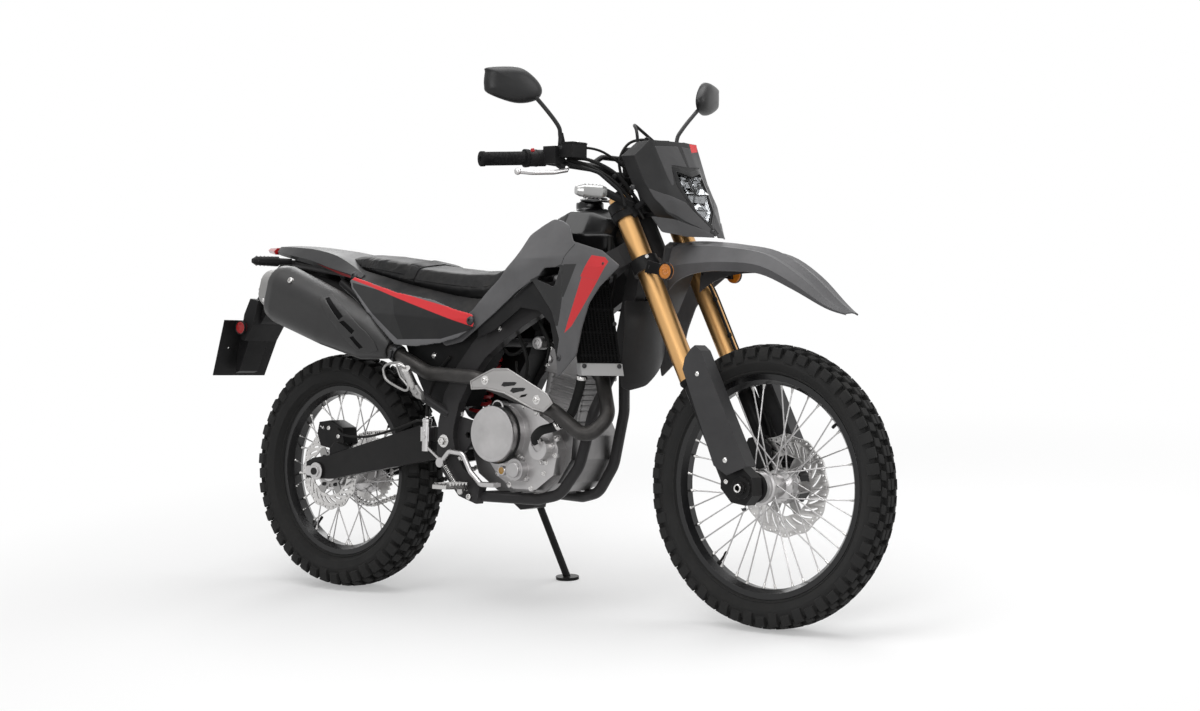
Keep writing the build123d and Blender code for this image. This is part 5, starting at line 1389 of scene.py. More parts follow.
def wavy(radius, wave, lobes, steps):
    """A closed line round the axle with that many waves."""
    turns = [2 * pi * k / steps for k in range(steps)]
    reaches = [radius + wave * cos(lobes * a) for a in turns]
    return [(r * cos(a), r * sin(a)) for r, a in zip(reaches, turns)]


def brake_disc(name, body, axle, y, radius, ring_in, bore, lobes, node):
    """The wavy braking ring with its holes and slots, its arms and the carrier."""
    step = 2 * pi / lobes
    outlines = [wavy(radius - 2.6, 2.5, lobes, lobes * 10), wavy(ring_in, 1.5, lobes, 96)]
    for i in range(lobes):
        for turn, reach, size in ((-0.27, -8.2, 2.8), (0.0, -6.6, 2.8), (0.27, -8.2, 2.8),
                                  (0.5, -13.0, 2.8)):
            outlines.append(hole(radius + reach, (i + turn) * step, size))
        for turn in (0.0, 0.5):
            outlines.append(arc_slot(ring_in + 6, radius - 19, (i + turn) * step, 0.30, 4.6))
    bm = bmesh.new()
    put(bm, plate_mesh(outlines, 4.0, 0.35), upright(axle, y))
    disc = add_piece(name + "_ring", bm, "brake_steel", body, slot="steel")
    arms = []
    for k in range(144):
        a = 2 * pi * k / 144
        share = max(0.0, cos(6 * a)) ** 0.7
        reach = bore + 15 + (ring_in + 5 - bore - 15) * min(1.0, share * 1.25)
        arms.append((reach * cos(a), reach * sin(a)))
    windows = [hole(bore + 11, pi / 6 + i * pi / 3, 4.4, 14) for i in range(6)]
    bore_edge = hole(0, 0, bore, 48)
    bm = bmesh.new()
    put(bm, plate_mesh([arms, bore_edge] + windows, 3.6, 0.5), upright(axle, y))
    carrier = add_piece(name + "_carrier", bm, "arm_steel", body, slot="steel")
    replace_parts(disc, node)
    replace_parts(carrier, node)


brake_disc("front_brake", "front_wheel", FRONT_AXLE, 62.0, 128.0, 74.0, 29.5, 12, "front_disc")
brake_disc("rear_brake", "rear_wheel", REAR_AXLE, -75.0, 110.0, 68.0, 30.5, 12, "rear_disc")

# %% [markdown]
# ## Chain
# A roller chain is pairs of waisted plates, each pair pinned inside the next. The links walk
# round both sprockets by distance, one pitch at a time, so the whole loop comes from one function
# that turns a distance into a place and a direction.

# %% chain
CHAIN_PITCH, CHAIN_Y = 15.875, 83.0
FRONT_SPROCKET = Vector((572.0, 436.0))
REAR_TEETH, FRONT_TEETH = 40, 14
BIG_R, SMALL_R = (CHAIN_PITCH / (2 * sin(pi / teeth)) for teeth in (REAR_TEETH, FRONT_TEETH))


def chain_path():
    """The runs of the chain's centre line and a function from distance to (x, z)."""
    rear, front = Vector((0, REAR_TYRE_R)), FRONT_SPROCKET
    span = front - rear
    slope = atan2(span.y, span.x)
    lead = (BIG_R - SMALL_R) / span.length
    straight = span.length * cos(lead)
    runs = [straight, SMALL_R * (pi - 2 * lead), straight, BIG_R * (pi + 2 * lead)]
    top, low = slope + pi / 2 - lead, slope - pi / 2 + lead

    def spot(distance):
        distance %= sum(runs)
        if distance < runs[0]:
            return rear + Vector((cos(top), sin(top))) * BIG_R + Vector(
                (sin(top), -cos(top))) * distance
        distance -= runs[0]
        if distance < runs[1]:
            angle = top - distance / SMALL_R
            return front + Vector((cos(angle), sin(angle))) * SMALL_R
        distance -= runs[1]
        if distance < runs[2]:
            return front + Vector((cos(low), sin(low))) * SMALL_R + Vector(
                (sin(low), -cos(low))) * distance
        angle = low - (distance - runs[2]) / BIG_R
        return rear + Vector((cos(angle), sin(angle))) * BIG_R

    return sum(runs), spot


def link_plate(bm, a, b, y_low, y_high, wide=6.2, waist=4.3):
    """A waisted side plate between two pins."""
    along = (b - a).normalized()
    square = Vector((-along.y, along.x))
    middle = (a + b) / 2
    outline = []
    for end, way in ((a, 1), (b, -1)):
        for k in range(7):
            angle = pi / 2 + pi * k / 6
            outline.append(end + (along * cos(angle) * wide + square * sin(angle) * wide) * way)
        outline.append(middle - square * waist * way)
    stack(bm, [ring(bm, [(p.x, y, p.y) for p in outline]) for y in (y_low, y_high)])


total, spot = chain_path()
links = 2 * round(total / CHAIN_PITCH / 2)
plates, pins = bmesh.new(), bmesh.new()
for i in range(links):
    a, b = spot(total * i / links), spot(total * (i + 1) / links)
    inner = i % 2 == 0
    for side in SIDES:
        near, far = (3.6, 5.0) if inner else (5.2, 6.6)
        link_plate(plates, a, b, CHAIN_Y + side * near, CHAIN_Y + side * far)
    lathe(pins, (a.x, CHAIN_Y - 7.4, a.y), TO_LEFT,
          [(1.6, 0), (2.4, 0.4), (2.4, 3.4), (4.6, 3.6), (4.6, 11.2), (2.4, 11.4), (2.4, 14.4),
           (1.6, 14.8)], 10)
plate_piece = add_piece("chain_plates", plates, "steel", "chassis")
pin_piece = add_piece("chain_rollers", pins, "dark_bolt", "chassis", slot="steel")
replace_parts(plate_piece, "chain")
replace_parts(pin_piece, "chain")
print("chain links:", links)

# %% [markdown]
# ## Seat
# A motocross style seat is foam under a stretched vinyl cover, so it is crowned where the rider
# sits and drawn in along its base. The CAD solid gives its room. We shrink a copy a little, wrap it
# in a voxel skin and let cloth under pressure swell it, with a limit on how far a point may go.
# Seams and the passenger strap come afterwards, because the voxel skin would swallow them.

# %% cushion
SEAT_VOXEL, SEAT_SWELL = 5.5, 5.0


def cushion(node, name, look, voxel, swell, shrink, pressure=4.0, frames=20):
    """A swollen soft copy of a CAD node."""
    data = skin_of(node, voxel, 6)
    soft = in_scene(name + "_soft", data)
    for v in data.vertices:
        v.co -= v.normal * shrink * MM
    start = [v.co.copy() for v in data.vertices]
    cloth = soft.modifiers.new("cloth", "CLOTH")
    cloth.settings.use_pressure = True
    cloth.settings.uniform_pressure_force = pressure
    cloth.settings.effector_weights.gravity = 0.0
    cloth.settings.tension_stiffness = cloth.settings.compression_stiffness = 30
    cloth.settings.bending_stiffness = 2.0
    cloth.point_cache.frame_start, cloth.point_cache.frame_end = 1, frames
    for f in range(1, frames + 1):
        bpy.context.scene.frame_set(f)
    shaped = final_mesh(soft)
    bpy.context.scene.frame_set(1)
    bm = bmesh.new()
    bm.from_mesh(shaped)
    moved = 0.0
    for v, was in zip(bm.verts, start):
        step = v.co - was
        if step.length > swell * MM:
            step *= swell * MM / step.length
        moved = max(moved, step.length)
        v.co = was + step
    bmesh.ops.subdivide_edges(bm, edges=bm.edges, cuts=1, use_grid_fill=True, smooth=0.6)
    print(name, "swelled by up to", round(moved / MM, 1), "mm")
    return stand_in(name, bm, look, node)


seat = cushion("seat", "seat_cushion", "seat_vinyl", SEAT_VOXEL, SEAT_SWELL, 2.0)

# %% [markdown]
# The cover's welt and the strap lie on the finished cushion. To find it, rays are shot from well
# outside at the bike's middle, and each point is lifted a little off the surface that it hits.

# %% strap and seams
def band_across(bm, surface, x, wide, thick, spread, steps=36):
    """A flat band over the seat at x, from one low edge to the other."""
    edges = []
    for i in range(steps + 1):
        angle = radians(-spread + 2 * spread * i / steps)
        aim = Vector((x, 0, 850))
        out = Vector((0, sin(angle), cos(angle))) * 300
        row = []
        for shift, lift in ((-wide / 2, 0.2), (-wide / 2, thick), (wide / 2, thick),
                            (wide / 2, 0.2)):
            start = aim + out + Vector((shift, 0, 0))
            hit, _ = lay(surface, start, aim + Vector((shift, 0, 0)), lift)
            if hit is None:
                break
            row.append(hit)
        if len(row) == 4:
            edges.append(ring(bm, row))
    stack(bm, edges)


seat_surface = surface_of(seat)
bm = bmesh.new()
band_across(bm, seat_surface, 336, 34, 2.6, 104)
add_piece("passenger_strap", bm, "seat_vinyl", "chassis")


def welt(bm, surface, stations, radius, side):
    """A sewn welt along points (x, y, z) aimed at from the side."""
    line = []
    for x, height in stations:
        hit, _ = lay(surface, (x, side * OUTSIDE, height), (x, 0, height - 30), 0.15)
        if hit is not None:
            line.append(hit)
    tube(bm, line, radius, 8, 4)


bm = bmesh.new()
for side in SIDES:
    welt(bm, seat_surface, [(60, 921), (120, 917), (200, 908), (310, 892)], 1.1, side)
    welt(bm, seat_surface, [(362, 876), (430, 868), (520, 859), (600, 858), (670, 880),
                            (720, 912), (756, 946)], 1.1, side)
add_piece("seat_welts", bm, "seat_vinyl", "chassis")

# %% [markdown]
# ## Engine
# The castings come from CAD. What makes them read as an engine is their fasteners and small
# fittings: flange screws round the covers, the filler cap, the clutch cover's black seal, the oil
# window and the machined faces. Screws of one kind go in one table of places and one piece.

# %% right side of the engine
COVER_Y, CLUTCH_Y, FILTER_Y = -122.0, -166.0, -146.0
CLUTCH = (684.0, 453.0)
RIGHT_SCREWS = [(741, 396), (767, 338), (782, 316), (833, 384), (862, 404), (826, 356), (708, 322),
    (668, 350), (636, 392), (864, 446), (846, 476), (800, 508), (756, 526)]

FILTER, PUMP = (745, 362), (824, 416)
FILTER_EARS, PUMP_EARS = (75, 195, 315), (20, 140, 260)     # degrees


def round_cover(centre, reach, angle, y):
    """A place on a circle round a cover's centre."""
    return centre[0] + reach * cos(radians(angle)), y, centre[1] + reach * sin(radians(angle))


bm = bmesh.new()
for x, z in RIGHT_SCREWS:
    screw(bm, (x, COVER_Y, z), TO_RIGHT, 5.0)
for angle in FILTER_EARS:
    screw(bm, round_cover(FILTER, 33, angle, COVER_Y - 3), TO_RIGHT, 4.4)
for angle in PUMP_EARS:
    screw(bm, round_cover(PUMP, 33, angle, COVER_Y - 2), TO_RIGHT, 4.2)
add_piece("right_cover_screws", bm, "screw_steel", "chassis")

bm = bmesh.new()
for angle in FILTER_EARS:
    lathe(bm, round_cover(FILTER, 31, angle, COVER_Y), TO_RIGHT,
          [(9, -1), (9, 3), (8, 4.5), (5, 4.5)], 20)
for angle in PUMP_EARS:
    lathe(bm, round_cover(PUMP, 31, angle, COVER_Y), TO_RIGHT,
          [(8.5, -1), (8.5, 3), (7.5, 4), (5, 4)], 20)
for x, z in RIGHT_SCREWS:
    lathe(bm, (x, COVER_Y + 14, z), TO_RIGHT, [(9.5, 0), (9.5, 12.5), (8.5, 13.9), (5, 13.9)], 20)
# the clutch cover's machined step, and the one in the middle of the filter's cover
lathe(bm, (CLUTCH[0], CLUTCH_Y, CLUTCH[1]), TO_RIGHT,
      [(73.6, -14), (73.9, -3), (72.4, -0.2), (66, 0.9), (64.5, 0.3), (63, 0.9), (20, 0.9)], 96)
lathe(bm, (FILTER[0], FILTER_Y - 6, FILTER[1]), TO_RIGHT,
      [(19.6, -3), (19.6, -0.4), (18.2, 0.8), (6, 1.0)], 40)
add_piece("cover_bosses", bm, "engine_silver", "chassis")

# %% [markdown]
# The clutch cover stands on a black damper ring. The filler cap is a black plastic knob with two
# finger wings, in a silver collar, and the oil window is a glass with a brass tint behind it.

# %% seal, filler and window
bm = bmesh.new()
collar(bm, (CLUTCH[0], -141, CLUTCH[1]), TO_RIGHT,
      [(73.4, 0), (78.2, 0.2), (78.2, 3.0), (75.2, 4.6), (73.4, 4.6)], 96)
add_piece("clutch_cover_seal", bm, "black_plastic", "chassis")

FILLER, WINDOW = (690, 522), (686, -128, 357)
bm = bmesh.new()
lathe(bm, (FILLER[0], -150, FILLER[1]), TO_RIGHT,
      [(13.5, -2), (14.5, 1), (14.5, 4), (13, 5.5), (6, 6)], 32)
slab(bm, [(FILLER[0] + x, FILLER[1] + z) for x, z in
          ((-11, -3), (11, -3), (12, 0), (11, 3), (-11, 3), (-12, 0))], -154, -164, 1.5)
add_piece("oil_filler_cap", bm, "black_plastic", "chassis")
bm = bmesh.new()
collar(bm, (FILLER[0], -149.5, FILLER[1]), TO_RIGHT,
      [(14.2, -1), (19.5, -1), (19.5, 1), (18, 2), (14.2, 2)], 36)
collar(bm, WINDOW, TO_RIGHT,
      [(9.5, -2), (12.5, -2), (12.5, 0.6), (11.4, 1.4), (9.5, 1.0)], 36)
add_piece("filler_and_window_collars", bm, "silver", "chassis")
bm = bmesh.new()
lathe(bm, WINDOW, TO_RIGHT, [(9.6, -2), (9.6, 0.2), (5, 0.9), (0, 1.1)], 32)
add_piece("oil_window", bm, "gold_window", "chassis", slot="gold")

# %% [markdown]
# The cylinder head: a cover screwed down over the cams, a round plug at the cam's end, a finned
# step on the barrel and the spark plug's lead. The barrel leans forward, so these places are
# worked out along its axis.

# %% cylinder and head
BARREL_FOOT, BARREL_LEAN = Vector((822, 0, 500)), Vector((0.20, 0, 1)).normalized()
BARREL_FORE = Vector((1, 0, -0.20)).normalized()


def on_barrel(up, fore, y):
    return BARREL_FOOT + BARREL_LEAN * up + BARREL_FORE * fore + Vector((0, y, 0))


def block_round(bm, up_low, up_high, half_x, half_y, corner, edge=1.2):
    """A rounded rectangular slice square to the barrel's axis."""
    rings = []
    for up, shrink in ((up_low, edge), (up_low + edge, 0), (up_high - edge, 0), (up_high, edge)):
        points = []
        for sx, sy, start in ((1, 1, 0), (-1, 1, 90), (-1, -1, 180), (1, -1, 270)):
            for k in range(5):
                a = radians(start + 90 * k / 4)
                points.append(on_barrel(up, sx * (half_x - corner) + (corner - shrink) * cos(a),
                                        sy * (half_y - corner) + (corner - shrink) * sin(a)))
        rings.append(ring(bm, points))
    stack(bm, rings)


bm = bmesh.new()
for up in (24, 38, 52, 66, 80, 94):
    block_round(bm, up, up + 4.5, 62, 67, 26)
block_round(bm, 108, 116, 69, 76, 18)
block_round(bm, 178, 186, 64, 73, 20)
add_piece("barrel_ribs_and_flanges", bm, "engine_grey", "chassis")

bm = bmesh.new()
for fore in (-52, 52):
    for y in (-64, 0, 64):
        screw(bm, on_barrel(186, fore, y), BARREL_LEAN, 5.0)
for up, fore in ((124, -54), (124, 54), (168, -54), (168, 54), (146, 0)):
    screw(bm, on_barrel(up, fore, -75), TO_RIGHT, 4.6)
for up, fore in ((124, -54), (124, 54), (168, -54), (168, 54)):
    screw(bm, on_barrel(up, fore, 75), TO_LEFT, 4.6)
add_piece("head_screws", bm, "screw_steel", "chassis")

bm = bmesh.new()
lathe(bm, (776, -96, 690), TO_RIGHT,
      [(16.5, -2), (17, 0), (16, 2), (13.6, 2.6), (13, 1.2), (8.5, 1.2), (8, 3.4), (5, 3.8),
       (4.6, 1.4), (0, 1.4)], 40)
lathe(bm, (800, -76, 648), TO_RIGHT, [(11, -2), (11, 3), (9, 4), (5, 4)], 6)
add_piece("cam_end_plug", bm, "silver", "chassis")

LEADS = [
    ([(846, -70, 668), (838, -92, 676), (812, -104, 704), (790, -96, 742), (776, -70, 770)], 4.2),
    ([(700, -92, 640), (716, -104, 612), (742, -108, 596), (760, -104, 606)], 3.4),
    ([(640, -96, 560), (664, -106, 548), (700, -110, 560), (736, -106, 566)], 3.0),
    ([(742, -96, 690), (722, -108, 664), (694, -112, 660), (668, -104, 676), (654, -90, 700)], 4.5)]
bm = bmesh.new()
for line, radius in LEADS:
    tube(bm, line, radius)
add_piece("engine_leads", bm, "hose_rubber", "chassis")

# %% left side of the engine
bm = bmesh.new()
for x, z in ((664, 360), (714, 320), (808, 322), (862, 380), (862, 450), (804, 504), (690, 504),
             (652, 440)):
    screw(bm, (x, 124, z), TO_LEFT, 5.0)
for x, z in ((546, 410), (566, 386), (640, 384), (640, 488), (562, 484)):
    screw(bm, (x, 112, z), TO_LEFT, 4.4)
add_piece("left_cover_screws", bm, "screw_steel", "chassis")
bm = bmesh.new()
lathe(bm, (768, 152, 412), TO_LEFT,
      [(69.6, -10), (69.8, -1.5), (68, 0.8), (58, 1.0), (56, 0.2), (54, 1.0), (31, 1.0)], 80)
lathe(bm, (768, 158, 412), TO_LEFT,
      [(29.6, -5), (29.6, -0.5), (28, 0.8), (13, 0.8), (12, -1.5), (0, -1.5)], 48)
add_piece("flywheel_cover_rings", bm, "engine_silver", "chassis")
print("engine pieces:", sorted(n for n in made if "screw" in n or "cover" in n))

# %% [markdown]
# ## Fork, brakes and front fender
# The fork's gold outer tubes carry a cap with a seam, a dust seal at the lower end and clamp
# screws in both yokes. All of it lies along the steering axis, so one helper gives the point at a
# height on either tube.

# %% places on the fork
TRAIL, CLAMP_OFFSET, FORK_HALF = 109.0, 28.0, 102.0
STEER_UP = Vector((-sin(RAKE), 0, cos(RAKE)))
STEER_FORE = Vector((cos(RAKE), 0, sin(RAKE)))
LOW_CLAMP, TOP_CLAMP = 872.0, 1017.0


def on_axis(height, ahead=0.0, side=0.0):
    """The point at that height on the steering axis, moved square to it and to the side."""
    return Vector((WHEELBASE + TRAIL - height * tan(RAKE), side, height)) + STEER_FORE * ahead


def on_fork(height, side):
    return on_axis(height, CLAMP_OFFSET, side * FORK_HALF)


# %% fork caps, seals and clamp screws
bm = bmesh.new()
for side in SIDES:
    collar(bm, on_fork(1008, side), STEER_UP,
          [(27.05, -1.5), (27.9, -1.2), (27.9, 1.2), (27.05, 1.5)], 48)
    collar(bm, on_fork(1032, side), STEER_UP,
          [(27.05, -1), (27.6, -0.6), (27.6, 8), (26.6, 9.4), (22.5, 10)], 48)
add_piece("fork_tube_rings", bm, "gold", "steering")
bm = bmesh.new()
for side in SIDES:
    top = on_fork(1049, side)
    lathe(bm, top, STEER_UP, [(20, -1.0), (20, 2.6), (18.5, 3.6), (11, 3.8)], 8)
    lathe(bm, top + STEER_UP * 3.6, STEER_UP,
          [(8, 0), (8, 3.5), (7, 4.3), (3, 4.3), (2.6, 2.4), (0, 2.4)], 20)
add_piece("fork_caps", bm, "dark_bolt", "steering")
bm = bmesh.new()
for side in SIDES:
    collar(bm, on_fork(590, side), -STEER_UP,
          [(21.7, -2), (28.4, -2), (28.4, 4), (26, 8), (23.5, 12), (21.7, 13)], 40)
add_piece("fork_dust_seals", bm, "grip_rubber", "steering")
bm = bmesh.new()
for side in SIDES:
    for height, shifts in ((LOW_CLAMP, (-10, 10)), (TOP_CLAMP, (0,))):
        for shift in shifts:
            at = on_fork(height, side) + STEER_UP * shift + STEER_FORE * 30 + Vector(
                (0, side * 22, 0))
            screw(bm, at, (0.3, side * 0.95, 0.1), 5.0, "socket")
add_piece("clamp_screws", bm, "screw_steel", "steering")

# %% [markdown]
# At the fork's foot are the axle's hollow silver end, the pinch screws and the guards' screws.

# %% fork feet
bm = bmesh.new()
axle = Vector((WHEELBASE, 0, FRONT_TYRE_R))
collar(bm, axle + Vector((0, -140, 0)), TO_RIGHT,
      [(6.7, -4), (10.2, -4), (10.4, 0.6), (9.4, 1.4), (7.4, 1.4), (6.7, 0.6)], 36)
screw_pairs(bm, [((1411, 122, 362), TO_LEFT, 6.2, "socket"),
                 ((1418, 141, 414), TO_LEFT, 5.6, "pan"), ((1330, 141, 620), TO_LEFT, 5.0, "pan")])
add_piece("fork_foot_screws", bm, "screw_steel", "steering")
bm = bmesh.new()
screw_pairs(bm, [((1448, FORK_HALF, z), (0.2, 0, -1), 5.5, "flange") for z in (312, 298)])
add_piece("pinch_screws", bm, "dark_bolt", "steering")

# %% [markdown]
# The front brake's hose runs down the left leg with its bands, and the speed sensor's thin lead
# beside it. Both end in the caliper, which steers with the fork.

# %% hose and lead on the left leg
bm = bmesh.new()
leg = [on_fork(h, 1) + STEER_FORE * 30 + Vector((0, -14, 0)) for h in (800, 720, 640)]
hose = [on_fork(860, 1) + Vector((40, -34, 0))] + leg + [
    Vector((1352, 96, 540)), Vector((1382, 92, 480)), Vector((1392, 90, 430)),
    Vector((1398, 88, 404))]
tube(bm, hose, 3.6)
lead = [p + Vector((9, 4, 0)) for p in hose[:-2]] + [Vector((1412, 76, 470)),
                                                    Vector((1430, 66, 420))]
tube(bm, lead, 2.0, 8)
add_piece("front_brake_hose", bm, "hose_rubber", "steering")
bm = bmesh.new()
for height in (780, 690, 610):
    collar(bm, on_fork(height, 1) + STEER_FORE * 30 + Vector((0, -14, 0)), STEER_UP,
          [(4, -4), (5.6, -4), (5.6, 4), (4, 4)], 16)
add_piece("hose_bands", bm, "black_plastic", "steering")

# %% [markdown]
# Side reflectors: a moulded amber lens made of small prisms, in a dark rim.

# %% front reflectors
def prism_disc(bm, at, way, radius, rings=5, height=1.4):
    """A lens face built of small raised prisms."""
    way, side, other = frame_along(way)
    at = Vector(at)
    rows = [[bm.verts.new(at + way * height)]]
    for k in range(1, rings + 1):
        reach = radius * k / rings
        lift = height * (0.2 if k % 2 else 1.0) if k < rings else 0.0
        rows.append(ring(bm, [at + way * (lift * (0.4 if i % 2 else 1.0)) + (
            side * cos(2 * pi * i / 30) + other * sin(2 * pi * i / 30)) * reach
            for i in range(30)]))
    fan(bm, rows[0][0], rows[1])
    for low, high in zip(rows[1:], rows[2:]):
        bridge(bm, low, high)
    base = ring(bm, [v.co - way * 2.5 for v in rows[-1]])
    bridge(bm, rows[-1], base)
    bm.faces.new(base)


bm = bmesh.new()
for side in SIDES:
    prism_disc(bm, (1229, side * 144, 870), (0, side, 0), 18.6)
add_piece("front_reflector_lenses", bm, "amber_lens", "steering", smooth=radians(5))
bm = bmesh.new()
for side in SIDES:
    collar(bm, (1229, side * 144, 870), (0, side, 0),
          [(18.8, -5), (21.6, -5), (21.6, 1.6), (20.2, 2.4), (18.8, 1.6)], 40)
add_piece("front_reflector_rims", bm, "black_plastic", "steering")

# %% [markdown]
# ## Lamp
# Behind the notched opening sits a chromed reflector of flat facets, a round lower bowl, and a
# clear cover that is flush with the mask. The facets have to be real faces: each one mirrors
# another part of the room.

# %% lamp
MASK_MIDDLE = [(956, 1276), (1026, 1240), (1096, 1202), (1203, 1148)]     # z, x


def mask_front_x(z, inset):
    """How far forward the mask's middle is at a height, less an inset."""
    return line_at(MASK_MIDDLE, z) - inset


LAMP_EDGE = [(0, 1109), (47, 1120), (49, 1080), (32, 1021), (0, 991), (-32, 1021), (-49, 1080),
    (-47, 1120)]


def lamp_shell(bm, outline, depth, dome=0.0):
    """A sheet over the outline that follows the mask's front at some depth behind it."""
    middle = Vector((0, 1056))
    rows = []
    for k in range(5):
        share = 1 - k / 4
        rows.append([bm.verts.new((mask_front_x(middle.y + (z - middle.y) * share, depth)
                                   - abs(y * share) * 0.10 + dome * (1 - share ** 2),
                                   y * share, middle.y + (z - middle.y) * share))
                     for y, z in outline] if share > 0 else
                    [bm.verts.new((mask_front_x(middle.y, depth) + dome, 0, middle.y))])
    for low, high in zip(rows, rows[1:]):
        if len(high) == 1:
            for i in range(len(low)):
                bm.faces.new((low[i], low[(i + 1) % len(low)], high[0]))
        else:
            bridge(bm, low, high)
    return rows[0]


def facet_fan(bm, y0, y1, z0, z1, deep, bulge, columns, rows_of):
    """A patch of flat mirrors over a hollow, each turned its own way."""
    for k in range(rows_of):
        for n in range(columns):
            corners = []
            for u, v in ((n, k), (n + 1, k), (n + 1, k + 1), (n, k + 1)):
                y = y0 + (y1 - y0) * u / columns
                z = z0 + (z1 - z0) * v / rows_of
                hollow = ((u / columns - 0.5) ** 2 + (v / rows_of - 0.5) ** 2) * 4 * bulge
                turn = 5 * (1 if (n + k) % 2 else -1) * (1 if u == n else -1)
                corners.append((mask_front_x(z, deep) + hollow + turn, y, z))
            bm.faces.new(ring(bm, corners))


bm = bmesh.new()
wall = [Vector((mask_front_x(z, 9), y * 0.95, 1056 + (z - 1056) * 0.96)) for y, z in LAMP_EDGE]
bridge(bm, ring(bm, wall), ring(bm, [Vector((p.x - 30, p.y * 0.8, 1056 + (p.z - 1056) * 0.85))
                                     for p in wall]))
for side in SIDES:
    facet_fan(bm, side * 5, side * 44, 1068, 1112, 36, 16, 3, 3)
facet_fan(bm, -36, 36, 1028, 1064, 34, 12, 4, 2)
lathe(bm, (mask_front_x(1008, 36), 0, 1008), (1, 0, 0.3),
      [(3, -2), (9, 0), (15, 6), (20, 15), (22, 20), (23, 18)], 24)
for side in SIDES:
    lathe(bm, (mask_front_x(1090, 32), side * 25, 1090), (1, 0, 0.3),
          [(3, 4), (9, 6), (10, 12), (8, 16), (0, 18)], 20)
lamp = add_piece("lamp_reflector", bm, "lamp_chrome", "steering", smooth=radians(12),
                 slot="clear_lens")
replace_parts(lamp, "headlamp")
bm = bmesh.new()
for rise in (1064, 1026):
    slab(bm, [(mask_front_x(rise, 34), rise - 1.6), (mask_front_x(rise, 12), rise - 1.2),
              (mask_front_x(rise, 12), rise + 1.2), (mask_front_x(rise, 34), rise + 1.6)],
         -36 if rise > 1040 else -26, 36 if rise > 1040 else 26, 0.4)
slab(bm, [(mask_front_x(1112, 34), 1112), (mask_front_x(1112, 12), 1112),
          (mask_front_x(1066, 12), 1066), (mask_front_x(1066, 34), 1066)], -3, 3, 0.4)
add_piece("lamp_dividers", bm, "gloss_black", "steering", slot="black_plastic")

bm = bmesh.new()
front = lamp_shell(bm, LAMP_EDGE, 3.0, dome=1.5)
back = lamp_shell(bm, LAMP_EDGE, 5.4, dome=1.5)
bridge(bm, front, back)
lens = add_piece("lamp_cover", bm, clear_cover, "steering", slot="lamp_glass")
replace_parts(lens, "headlamp")

bm = bmesh.new()
line = [(mask_front_x(z, 3.0) - abs(y) * 0.10, y, z) for y, z in LAMP_EDGE]
sweep(bm, quartered(line), 2.2, 8, closed=True)
bm.faces.new(ring(bm, [(mask_front_x(z, 38), y, z) for y, z in LAMP_EDGE]))
add_piece("lamp_seal", bm, "black_plastic", "steering")

bm = bmesh.new()
screw(bm, (mask_front_x(972, -0.2), 0, 972), (1, 0, 0.4), 4.5, "pan")
screw_pairs(bm, [((1111, 129, 1080), (0.3, 1, 0), 5.5, "pan")])
add_piece("mask_screws", bm, "dark_bolt", "steering")

# %% [markdown]
# ## Handlebar
# The rider's side: ribbed rubber grips, switch pods with their buttons, the brake fluid box with
# its lid and screws, the mirrors' rubber boots and locknuts, and the glasses.

# %% grips
BAR_END, BAR_BEND = Vector((855, -404, 1142)), Vector((906, -280, 1150))
GRIP_LONG = 122.0


def mirrored(point, side):
    """A place given for the right side, moved to the given side."""
    return Vector((point[0], -side * point[1], point[2]))


def grip_line(side):
    """Where a grip starts and ends, and the direction between them."""
    end, bend = mirrored(BAR_END, side), mirrored(BAR_BEND, side)
    along = (end - bend).normalized()
    return end - along * GRIP_LONG, end, along


bm = bmesh.new()
for side in SIDES:
    start, end, along = grip_line(side)
    for k in range(26):
        collar(bm, start + along * (13 + k * 3.9), along,
              [(16.2, -1.3), (17.3, -0.8), (17.3, 0.8), (16.2, 1.3)], 28)
    lathe(bm, end + along * 2.8, along,
          [(18.5, -2), (18.5, 0.5), (16, 2.2), (7, 2.6), (6, 1.2), (0, 1.2)], 32)
add_piece("grip_ribs", bm, "grip_rubber", "steering")

# %% switches, reservoir and levers
bm = bmesh.new()
for side in SIDES:
    start, _, along = grip_line(side)
    pod = start - along * 26
    collar(bm, pod, along, [(21.2, -1.2), (22.0, -1.0), (22.0, 1.0), (21.2, 1.2)], 32)
    collar(bm, pod + along * 22, along, [(21.2, -1.2), (22.4, -1), (22.4, 1), (21.2, 1.2)], 32)
    for shift, out, size in ((-14, (-0.9, 0, 0.45), 6.0), (2, (-0.7, 0, 0.7), 5.0),
                             (10, (-0.98, 0, 0.1), 4.0)):
        lathe(bm, pod + along * shift + Vector(out) * 19.5, out,
              [(size, 0), (size, 4), (size * 0.8, 5.4), (0, 5.6)], 18)
    box_at = mirrored((990, -217.5, 1186), side)
    for rise, grow, thick in ((0, 0, 3), (3, -2, 1.5)):
        x0, x1 = box_at.x - 23 - grow, box_at.x + 23 + grow
        y0, y1 = box_at.y - 28.5 - grow, box_at.y + 28.5 + grow
        stack(bm, [ring(bm, [(x0, y0, z), (x1, y0, z), (x1, y1, z), (x0, y1, z)])
                   for z in (box_at.z + rise, box_at.z + rise + thick)])
add_piece("switch_buttons", bm, "black_plastic", "steering")
bm = bmesh.new()
screw_pairs(bm, [((975, 217.5, 1190.5), (0, 0, 1), 3.4, "pan"),
                 ((1005, 217.5, 1190.5), (0, 0, 1), 3.4, "pan"),
                 ((988, 238, 1125), (0, 0, 1), 5.0, "flange")])
add_piece("control_screws", bm, "screw_steel", "steering")
bm = bmesh.new()
lathe(bm, mirrored((928, -300, 1170), RIGHT), (-0.3, 0, 0.95),
      [(5, -6), (5, 1), (3.5, 2), (0, 2)], 16)
add_piece("stop_switch", bm, "spring_red", "steering")

